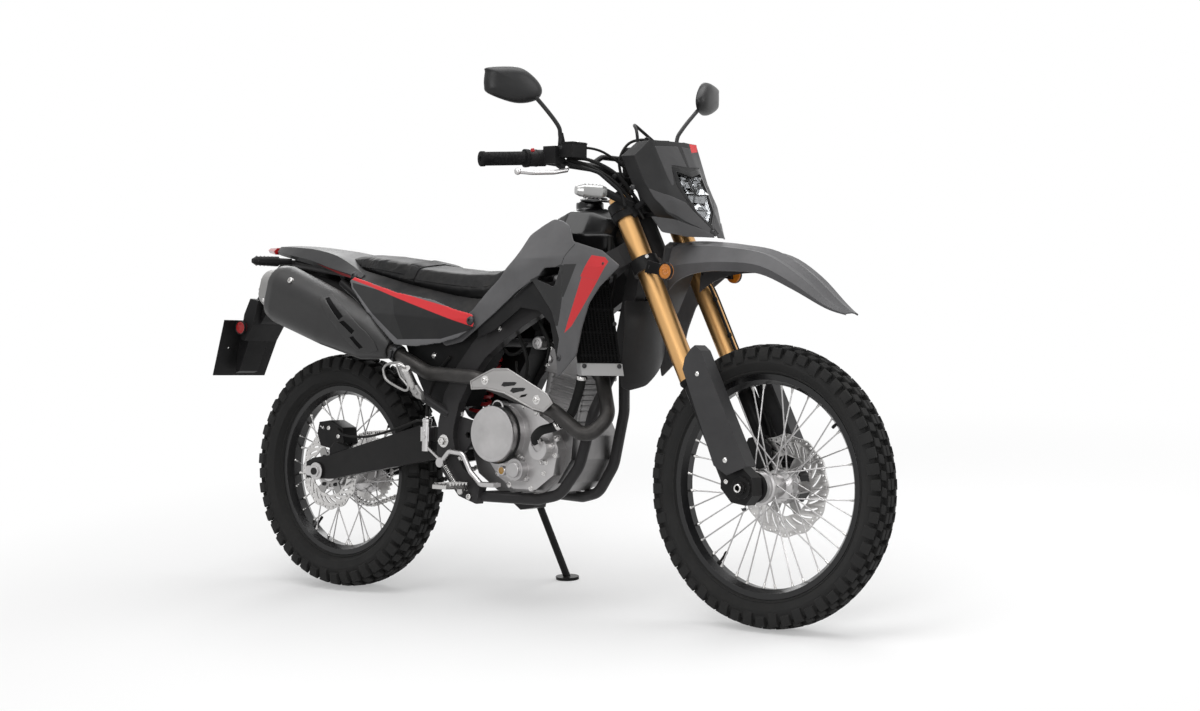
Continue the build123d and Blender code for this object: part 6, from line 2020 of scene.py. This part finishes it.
# %% mirrors: boots, nuts and glass
MIRRORS = [(-1, Vector((905, -356, 1330)),
     [(969, -236, 1160), (972, -246, 1204), (976, -262, 1232), (946, -300, 1290),
      (930, -330, 1318), (926, -338, 1323)]),
    (1, Vector((946, 375, 1354)),
     [(969, 236, 1160), (956, 246, 1228), (960, 266, 1262), (968, 316, 1312),
      (970, 352, 1340), (968, 359, 1344)])]     # side, head, stem
GLASS_EDGE = [(-76, 22), (-71, 34), (-2, 41), (34, 34), (70, 8), (82, -18), (62, -41), (8, -49),
    (-66, -30), (-78, -10)]
MIRROR_TURN = radians(21)
# the back of the head: how far ahead of the glass, and the outline's share of its size there
HEAD_DEPTHS = [(0, 0.965), (1.5, 0.985), (5, 0.99), (10, 0.985), (15, 0.95), (20, 0.885),
    (24, 0.8), (27, 0.68), (29, 0.52), (30.2, 0.34), (30.8, 0.16)]
bodies, boots, nuts, glass = (bmesh.new() for _ in range(4))
for side, head, stem in MIRRORS:
    tube(bodies, stem, 5.4, 14)
    toward = Vector((sin(MIRROR_TURN), -side * cos(MIRROR_TURN), 0))
    ahead = Vector((cos(MIRROR_TURN), side * sin(MIRROR_TURN), 0))
    outline = smooth_line([(u, v, 0) for u, v in GLASS_EDGE], 5, closed=True)
    stack(bodies, [ring(bodies, [head + toward * (p.x * scale) + ahead * depth
                                 + Vector((0, 0, p.y * scale)) for p in outline])
                   for depth, scale in HEAD_DEPTHS])
    foot = Vector(stem[0])
    up = (Vector(stem[1]) - foot).normalized()
    lathe(boots, foot + Vector((0, 0, 22)), up,
          [(9.6, -3), (9.8, 4), (8.6, 12), (7.2, 22), (6.2, 30), (5.4, 32)], 24)
    lathe(nuts, foot + Vector((0, 0, 14)), up, [(11, 0), (12, 1), (12, 8), (11, 9), (6, 9)], 6)
    edge = smooth_line([(u, v, 0) for u, v in GLASS_EDGE], 4, closed=True)
    outer, inner = (ring(glass, [head + toward * (p.x * scale) + Vector((0, 0, p.y * scale))
                                 + ahead * depth for p in edge])
                    for scale, depth in ((0.93, 1.5), (0.91, -0.9)))
    bridge(glass, outer, inner)
    glass.faces.new(inner)
    glass.faces.new(outer)
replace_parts(add_piece("mirror_bodies", bodies, "mirror_black", "steering",
                      slot=node_slot["mirrors"], smooth=radians(50)), "mirrors")
add_piece("mirror_boots", boots, "grip_rubber", "steering")
add_piece("mirror_nuts", nuts, "dark_bolt", "steering")
add_piece("mirror_glasses", glass, "mirror_glass", "steering", slot="steel")

# %% [markdown]
# The instrument is a black glass set in a housing, with four small telltale windows above the
# display. It carries no lettering.

# %% instrument and front signals
bm = bmesh.new()
x_face = 1037.6
stack(bm, [ring(bm, [(x, y * share, z) for y, z in ((-66, 1120), (66, 1120), (66, 1166),
                                                    (-66, 1166))])
           for x, share in ((x_face + 2, 1.0), (x_face - 0.6, 1.0), (x_face - 1.6, 0.96))])
for y in (-48, -16, 16, 48):
    lathe(bm, (x_face + 1, y, 1174), (-1, 0, 0), [(6, 0), (6, 1.6), (5, 2.2), (0, 2.4)], 16)
add_piece("instrument_glass", bm, "black_glass", "steering", slot="black_plastic")

def signal_ribs(root, way, places, profile, steps):
    """Rings round both turn signals; root and way are given for the right one."""
    bm = bmesh.new()
    for side in SIDES:
        start, line = mirrored(root, side), mirrored(way, side).normalized()
        for along in places:
            collar(bm, start + line * along, line, profile, steps)
    return bm


add_piece("front_signal_ribs",
          signal_ribs((1064, -178, 1067), (-0.50, -0.86, 0.03), (16, 26, 36, 46, 56),
                      [(16.5, -1.4), (18.2, 0), (16.5, 1.4)], 22), "clear_lens", "steering")

# %% [markdown]
# ## Radiator, hoses and exhaust
# The radiator's core is a stack of thin fins between flat tubes, seen through the guard. Hoses end
# in worm clamps. The exhaust's heat shield is a pressing with a raised rim and two long slots, and
# it stands off the pipe on two big screws.

# %% radiator fins
bm = bmesh.new()
CORE_FRONT, CORE_ALONG = Vector((1004, -190, 0)), Vector((56, 88, 0))
CORE_OUT = Vector((88, -56, 0)).normalized()


def on_core(share, z, out):
    """A place on the radiator's front face: its share across, its height and distance ahead."""
    return CORE_FRONT + CORE_ALONG * share + CORE_OUT * out + Vector((-(z - 640) * 0.20, 0, z))


for k in range(34):
    z = 646 + k * 5.9
    corners = [on_core(share, z, out) for share, out in ((0.04, -0.5), (0.96, -0.5), (0.96, 0.9),
                                                         (0.04, 0.9))]
    stack(bm, [ring(bm, [p + Vector((0, 0, rise)) for p in corners]) for rise in (0, 1.1)])
add_piece("radiator_fins", bm, "core_black", "chassis")
bm = bmesh.new()
for share, z in ((0.06, 856), (0.94, 856), (0.06, 634), (0.94, 634), (0.97, 740)):
    screw(bm, on_core(share, z, 3.0), CORE_OUT, 4.6, "pan")
add_piece("radiator_screws", bm, "dark_bolt", "chassis")

# %% hoses, clamps and unions
WATER_HOSE = [(960, -136, 612), (956, -134, 590), (944, -136, 548), (930, -144, 508),
    (896, -158, 480), (856, -166, 468), (834, -164, 452), (824, -152, 438)]
bm = bmesh.new()
tube(bm, WATER_HOSE, 12.0, 20, 7)
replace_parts(add_piece("water_hose", bm, "hose_rubber", "chassis", slot=node_slot["coolant_hose"]),
            "coolant_hose")
HOSE_ENDS = [((959, -135, 602), (0.1, 0, 1)), ((828, -157, 444), (-0.2, -0.8, -0.6)),
    ((900, -156, 482), (0.85, 0.3, 0.5))]
bm = bmesh.new()
for at, way in HOSE_ENDS:
    collar(bm, at, way, [(12.2, -5), (13.4, -5), (13.8, -4), (13.8, 4), (13.4, 5), (12.2, 5)], 36)
    _, side_way, other_way = frame_along(way)
    lathe(bm, Vector(at) + side_way * 14.5, other_way,
          [(3.4, -6), (4.2, -5), (4.2, 5), (3.4, 6), (0, 6)], 12)
add_piece("hose_clamps", bm, "screw_steel", "chassis")

# %% heat shield
SHIELD_Y = -212.0
SHIELD = [(654, 569), (650, 588), (690, 606), (728, 621), (777, 622), (910, 561), (928, 540),
    (899, 518), (864, 524), (766, 562), (700, 572)]
bm = bmesh.new()
sweep(bm, quartered([(x, SHIELD_Y + 1.2, z) for x, z in SHIELD]), 2.6, 8, closed=True)
add_piece("heat_shield_rim", bm, shield_steel, "chassis", slot="silver")
# two gloss black slabs where the shield's slots are: painted shade seen through the slots
bm = bmesh.new()
for x, z in ((756, 580), (786, 566)):
    slab(bm, [(x, z), (x + 8, z + 9), (x + 46, z + 10), (x + 54, z + 8), (x + 46, z + 1),
              (x + 10, z - 3)], SHIELD_Y + 1, SHIELD_Y - 0.6, 0.6)
add_piece("heat_shield_slot_shade", bm, "gloss_black", "chassis", slot="black_plastic")
bm = bmesh.new()
for x, z in ((700, 592), (876, 546)):
    lathe(bm, (x, SHIELD_Y, z), TO_RIGHT, [(12, -1), (12, 0.8), (10.5, 1.6), (7, 1.6)], 28)
    screw(bm, (x, SHIELD_Y - 1.4, z), TO_RIGHT, 6.5, "socket")
add_piece("heat_shield_screws", bm, "screw_steel", "chassis")

# %% [markdown]
# The muffler: an end cap with three screws round the outlet, a bolt with a washer near its rear,
# a guard plate with three slots near its front, and the clamp that joins it to the pipe.

# %% muffler fittings
MUFFLER_FOOT, MUFFLER_WAY = Vector((330, -172, 668)), Vector((-0.939, -0.046, 0.343)).normalized()
bm = bmesh.new()
screw(bm, (4, -237.5, 850), (-0.1, -1, 0.35), 8.5, "socket")
screw(bm, (-117, -229, 798), (-0.5, -0.85, -0.1), 5.0, "pan")
end = MUFFLER_FOOT + MUFFLER_WAY * 496
_, side_way, other_way = frame_along(MUFFLER_WAY)
for angle in (40, 160, 280):
    a = radians(angle)
    screw(bm, end + (side_way * cos(a) + other_way * sin(a)) * 30, MUFFLER_WAY, 3.6, "pan")
add_piece("muffler_screws", bm, "screw_steel", "chassis")
bm = bmesh.new()
collar(bm, end - MUFFLER_WAY * 14 + Vector((0, 8, 0)), MUFFLER_WAY,
      [(18, 0), (21.4, 0), (21.8, 15), (20.5, 17), (18.8, 15.5)], 40)
add_piece("outlet_pipe", bm, "exhaust_steel", "chassis")
# near-black plates on the can under the guard's slots: painted shade inside the slots
bm = bmesh.new()
can = surface_of(bpy.data.objects["muffler_skin"])
SLOTS = [[(131, 802), (139, 806), (200, 754), (187, 743), (168, 762)],
    [(188, 738), (203, 743), (240, 716), (228, 706)],
    [(219, 697), (233, 701), (262, 671), (249, 667)]]
for slot_line in SLOTS:
    put(bm, plate_mesh([slot_line], 1.4, 0.3, 9.0, 2.0), laid_on(can, RIGHT, 0.4))
add_piece("muffler_slot_shade", bm, "core_black", "chassis", slot="black_plastic")
bm = bmesh.new()
GUARD = [(112, 806), (138, 815), (206, 768), (276, 712), (300, 684), (306, 664), (284, 656),
    (240, 662), (196, 698), (156, 744)]
put(bm, plate_mesh([GUARD, *SLOTS], 3.0, 0.8, 10.0), laid_on(can, RIGHT, 1.2))
add_piece("muffler_guard", bm, muffler_paint, "chassis", slot="muffler_grey")
bm = bmesh.new()
clamp = Vector((352, -176, 656))
collar(bm, clamp, (-0.9, 0.05, 0.4), [(21, -9), (24, -9), (25, -7), (25, 7), (24, 9), (21, 9)], 40)
lathe(bm, clamp + Vector((0, -28, -2)), (0.3, 0, 1),
      [(4.5, -12), (5.5, -11), (5.5, 11), (4.5, 12), (0, 12)], 6)
add_piece("muffler_clamp", bm, "dark_bolt", "chassis")

# %% [markdown]
# ## Frame, pegs and pedals
# Bolts close every joint of the frame: the swingarm pivot with its big nut, the engine hangers, the
# bracket's holes. The footpegs are cast with teeth, and springs hold the pegs, pedal and stand.

# %% frame bolts
bm = bmesh.new()
for side in SIDES:
    lathe(bm, (505, side * 154, 428), (0, side, 0), [(17, -1), (17, 2), (15, 3), (8, 3)], 30)
    for x, y, z, size, kind in ((505, 157, 428, 11, "flange"), (600, 154, 286, 8, "socket"),
                                (560, 148, 384, 6, "flange"), (700, 154, 724, 6, "socket"),
                                (548, 133, 500, 6, "flange"), (459, 148.2, 653, 6.5, "pan")):
        screw(bm, (x, side * y, z), (0, side, 0), size, kind)
add_piece("frame_bolts", bm, "screw_steel", "chassis")
bm = bmesh.new()
for side in SIDES:
    collar(bm, (0, side * 131, REAR_TYRE_R), (0, side, 0),
          [(10.2, -1), (24, -1), (24, 2), (22, 3), (10.2, 3)], 36)
    collar(bm, (0, side * 134, REAR_TYRE_R), (0, side, 0),
          [(10.2, 0), (17, 0), (17, 4), (15.5, 5), (10.2, 5)], 6)
    slab(bm, [(-46, 316), (-38, 312), (8, 312), (8, 340), (-38, 340), (-46, 336)], side * 124,
         side * 127, 1.0)
    screw(bm, (-47, side * 112, 326), (-1, 0, 0), 6)
add_piece("chain_adjusters", bm, "silver", "chassis")

# %% springs
def coil(bm, start, end, radius, wire, turns):
    """A coil spring between two points."""
    start, end = Vector(start), Vector(end)
    way, side, other = frame_along(end - start)
    count = turns * 12
    line = [start + (end - start) * k / count + (side * cos(2 * pi * k / 12)
            + other * sin(2 * pi * k / 12)) * radius for k in range(count + 1)]
    sweep(bm, line, wire, 6)


bm = bmesh.new()
coil(bm, (522, -168, 366), (560, -166, 318), 5.5, 1.2, 12)
for side in SIDES:
    coil(bm, (592, side * 158, 304), (566, side * 158, 322), 5, 1.1, 6)
add_piece("pedal_springs", bm, "screw_steel", "chassis")
shock_low, shock_high = Vector((474, 0, 488)), Vector((540, 0, 690))
shock_way = (shock_high - shock_low).normalized()
bm = bmesh.new()
coil(bm, shock_low + shock_way * 22, shock_low + shock_way * 186, 29, 5.4, 8)
spring = add_piece("shock_spring", bm, "spring_red", "chassis")
bm = bmesh.new()
lathe(bm, shock_low, shock_way,
      [(12, -4), (20, 0), (31, 12), (33, 16), (33, 20), (19, 22), (14, 24), (14, 184), (30, 186),
       (33, 188), (33, 194), (26, 198), (24, 204), (12, 210)], 40)
lathe(bm, shock_low + Vector((-52, 0, 150)), shock_way,
      [(10, 0), (19, 3), (20, 8), (20, 66), (18, 70), (0, 71)], 32)
body_piece = add_piece("shock_body", bm, "dark_bolt", "chassis", slot="spring_red")
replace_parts(spring, "shock")
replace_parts(body_piece, "shock")

# %% [markdown]
# The rear brake's pump has its reservoir hose and rod, and the caliper on the swingarm its bleed
# screw. On the left the sprocket guard and the stand's switch are small black mouldings.

# %% rear brake fittings
bm = bmesh.new()
lathe(bm, (430, -140, 478), (0, 0, 1),
      [(12, -3), (13.5, -2), (13.5, 5), (11, 7), (5, 8), (5, 14), (3.5, 16), (0, 16)], 24)
lathe(bm, (429, -148, 436), TO_RIGHT, [(7, -1), (7, 5), (5.5, 6), (0, 6)], 6)
lathe(bm, (428, -148, 452), TO_RIGHT, [(5, -1), (5, 4), (4, 5), (0, 5)], 20)
add_piece("rear_pump_fittings", bm, "silver", "chassis")
bm = bmesh.new()
tube(bm, [(430, -140, 490), (440, -146, 540), (470, -150, 600), (520, -150, 650)], 5.0, 12)
tube(bm, [(426, -146, 470), (396, -140, 478), (300, -128, 452), (190, -122, 428),
          (96, -116, 428), (60, -110, 444)], 3.4)
add_piece("rear_brake_hoses", bm, "hose_rubber", "chassis")
bm = bmesh.new()
screw(bm, (28, -108, 446), TO_RIGHT, 6, "socket")
screw(bm, (66, -108, 424), TO_RIGHT, 6, "socket")
lathe(bm, (4, -108, 446), (-0.3, -1, 0.5), [(5, -3), (5, 3), (3, 4), (2.4, 11), (0, 11)], 6)
add_piece("rear_caliper_screws", bm, "screw_steel", "chassis")
bm = bmesh.new()
for z, x in ((436, 1352), (452, 1378)):
    screw(bm, (x, 90, z), TO_LEFT, 5.5, "socket")
add_piece("front_caliper_screws", bm, "screw_steel", "steering")

# %% [markdown]
# ## Tail
# The tail lamp's red cover is ribbed inside, the side reflectors are prisms, the plate carrier
# holds a small lamp over a blank plate, and the rear signals have smoked covers.

# %% tail lamp, plate and signals
bm = bmesh.new()
for side in SIDES:
    prism_disc(bm, (-384, side * 71.2, 722), (0, side, 0), 17.4)
add_piece("side_reflector_lenses", bm, "red_lens", "chassis", smooth=radians(5))
bm = bmesh.new()
for side in SIDES:
    collar(bm, (-384, side * 71, 722), (0, side, 0),
          [(17.6, -6), (20.4, -6), (20.4, 1.4), (19, 2.2), (17.6, 1.2)], 40)
lathe(bm, (-372, 0, 770), (-0.9, 0, -0.4), [(26, -8), (26, 4), (24, 7), (10, 8)], 30)
add_piece("reflector_rims_and_plate_lamp", bm, "black_plastic", "chassis")
bm = bmesh.new()
for k in range(5):
    y = -18 + 9 * k
    slab(bm, [(-313, 939.5), (-311, 939.5), (-311, 950), (-313, 950)], y - 1.4, y + 1.4, 0.4)
add_piece("tail_lamp_ribs", bm, "red_lens", "chassis")
bm = bmesh.new()
plate_way = Vector((-0.930, 0, 0.367))
for y in (-70, 70):
    collar(bm, Vector((-434, y, 663)) + plate_way * 1.5, plate_way,
          [(3.6, 0), (7.5, 0), (7.5, 1.0), (6.5, 1.6), (3.6, 1.6)], 24)
add_piece("plate_grommets", bm, "grip_rubber", "chassis")
add_piece("rear_signal_ribs",
          signal_ribs((-172, -104, 909), (-0.28, -0.96, 0), (24, 36, 48, 60, 72, 84),
                      [(12, -1.2), (14.6, 0), (12, 1.2)], 20),
          "black_glass", "chassis", slot="black_plastic")
bm = bmesh.new()
screw_pairs(bm, [((624, 188, 745), (0, 1, 0.15), 9.5, "pan"),
                 ((138, 131, 866), (0, 1, 0.3), 9.0, "pan"),
                 ((948, 211, 653), TO_LEFT, 6.5, "pan"), ((1100, 226, 886), TO_LEFT, 4.01, "pan")])
add_piece("panel_screws", bm, "dark_bolt", "chassis")

# %% [markdown]
# ## Tank top
# A filler cap with a key flap sits on the tank, in a ring of small screws. Its breather tube, which
# runs forward to the steering stem, is not drawn here.

# %% fuel cap
tank_skin = surface_of(bpy.data.objects["fuel_tank_skin"])
top, up_way = lay(tank_skin, (885, 0, 1300), (885, 0, 0), -1.0)
bm = bmesh.new()
lathe(bm, top, up_way,
      [(40, -2), (40, 2), (37, 4), (31, 4.4), (30, 9), (27, 11), (12, 11.8), (0, 12)], 48)
slab(bm, [(top.x - 16, top.z + 11), (top.x + 16, top.z + 9), (top.x + 15, top.z + 15),
          (top.x - 14, top.z + 17)], -6, 6, 1.5)
add_piece("fuel_cap", bm, "gloss_black", "chassis", slot="black_plastic")
bm = bmesh.new()
_, side_way, other_way = frame_along(up_way)
for at in circle(top, side_way, other_way, 34.5, 6):
    screw(bm, at + up_way * 4, up_way, 2.4, "socket")
add_piece("fuel_cap_screws", bm, "screw_steel", "chassis")

# %% [markdown]
# ## Passenger pegs
# Each peg folds on a bracket plate, and a bent wire loop ahead of it keeps the rider's heel off the
# muffler. The loop is a swept line, the bracket a slab, and the peg's grip is a row of small studs.

# %% wire loops of the passenger pegs
LOOP = [(346, 615), (364, 628), (412, 632), (434, 616), (446, 578), (440, 560), (406, 568),
    (358, 588)]
bm = bmesh.new()
for side in SIDES:
    tube(bm, [(x, side * (232 - 0.1 * abs(x - 430)), z) for x, z in LOOP + LOOP[:1]], 3.4, 12, 5)
    slab(bm, [(398, 622), (420, 626), (486, 556), (490, 536), (470, 540), (420, 584)],
         side * 214, side * 228, 3)
    for step in range(5):
        foot = Vector((424 + step * 12, side * 229, 606 - step * 13))
        lathe(bm, foot, (0, side, 0), [(4.6, -1), (4.6, 2.2), (3.8, 3), (0, 3)], 12)
add_piece("peg_loops", bm, "arm_steel", "chassis")
print("passenger pegs:", made["peg_loops"], "faces")

# %% [markdown]
# ## Cables and wiring
# Throttle, clutch and brake lines leave the controls, cross in front of the bars and dive behind
# the mask. Each is a smoothed line swept with a thin round section; bands hold pairs together.
# They all steer with the fork.

# %% control lines round the bars
LINES = [([(968, -214, 1150), (1000, -170, 1150), (1048, -122, 1118), (1082, -84, 1060),
      (1102, -70, 1018)], 4.6),
    ([(966, -222, 1146), (1004, -186, 1138), (1056, -140, 1098), (1092, -100, 1040),
      (1114, -86, 1004)], 3.8),
    ([(962, -250, 1150), (990, -210, 1176), (1024, -150, 1172), (1052, -84, 1130),
      (1076, -50, 1082), (1098, -36, 1040)], 3.2),
    ([(968, 214, 1150), (1004, 170, 1152), (1050, 124, 1116), (1080, 80, 1056),
      (1102, 66, 1018)], 4.6),
    ([(964, 244, 1148), (996, 204, 1170), (1030, 146, 1160), (1058, 84, 1110),
      (1084, 50, 1052)], 3.6),
    ([(1040, 60, 1150), (1060, 40, 1190), (1062, -10, 1208), (1050, -70, 1196),
      (1040, -96, 1150), (1046, -86, 1096)], 3.6)]
bm = bmesh.new()
for line, radius in LINES:
    tube(bm, line, radius, 12, 8)
add_piece("control_lines", bm, "hose_rubber", "steering")
bm = bmesh.new()
for at, way in (((1052, -130, 1108), (0.6, 0.5, -0.7)), ((1076, -92, 1071), (0.6, 0.5, -0.7)),
                ((1052, 122, 1112), (0.6, -0.5, -0.7)), ((1062, -12, 1207.5), TO_RIGHT)):
    collar(bm, at, way, [(5, -5), (7.4, -5), (7.8, -4), (7.8, 4), (7.4, 5), (5, 5)], 18)
add_piece("line_bands", bm, "black_plastic", "steering")

# %% [markdown]
# Between the tank and the fork sit the main loom, its connectors and the horn: a pressed steel
# bowl with a ring and a bracket. They are fixed to the frame.

# %% loom and horn
LOOM = [([(978, -52, 960), (988, -66, 900), (982, -72, 840), (966, -66, 780)], 6.5),
    ([(972, -44, 966), (994, -50, 910), (998, -56, 850), (986, -60, 790)], 4.2),
    ([(760, -104, 772), (800, -112, 738), (824, -106, 690), (810, -98, 640)], 4.0),
    ([(700, -110, 742), (740, -122, 700), (760, -116, 640), (742, -104, 590)], 4.6),
    ([(680, 108, 742), (730, 118, 700), (756, 112, 640), (738, 100, 590)], 4.6)]
bm = bmesh.new()
for line, radius in LOOM:
    tube(bm, line, radius, 12, 7)
add_piece("wiring_loom", bm, "hose_rubber", "chassis")
bm = bmesh.new()
lathe(bm, (1012, 96, 820), (0.9, 0.3, 0),
      [(10, -22), (30, -14), (37, -8), (38, -3), (38, 1), (33, 3), (12, 5), (8, 8), (0, 9)], 40)
slab(bm, [(980, 824), (1002, 828), (1002, 812), (980, 808)], 86, 90, 0.8)
add_piece("horn", bm, "gloss_black", "chassis", slot="black_plastic")
print("wiring:", made["control_lines"], made["wiring_loom"], "faces")
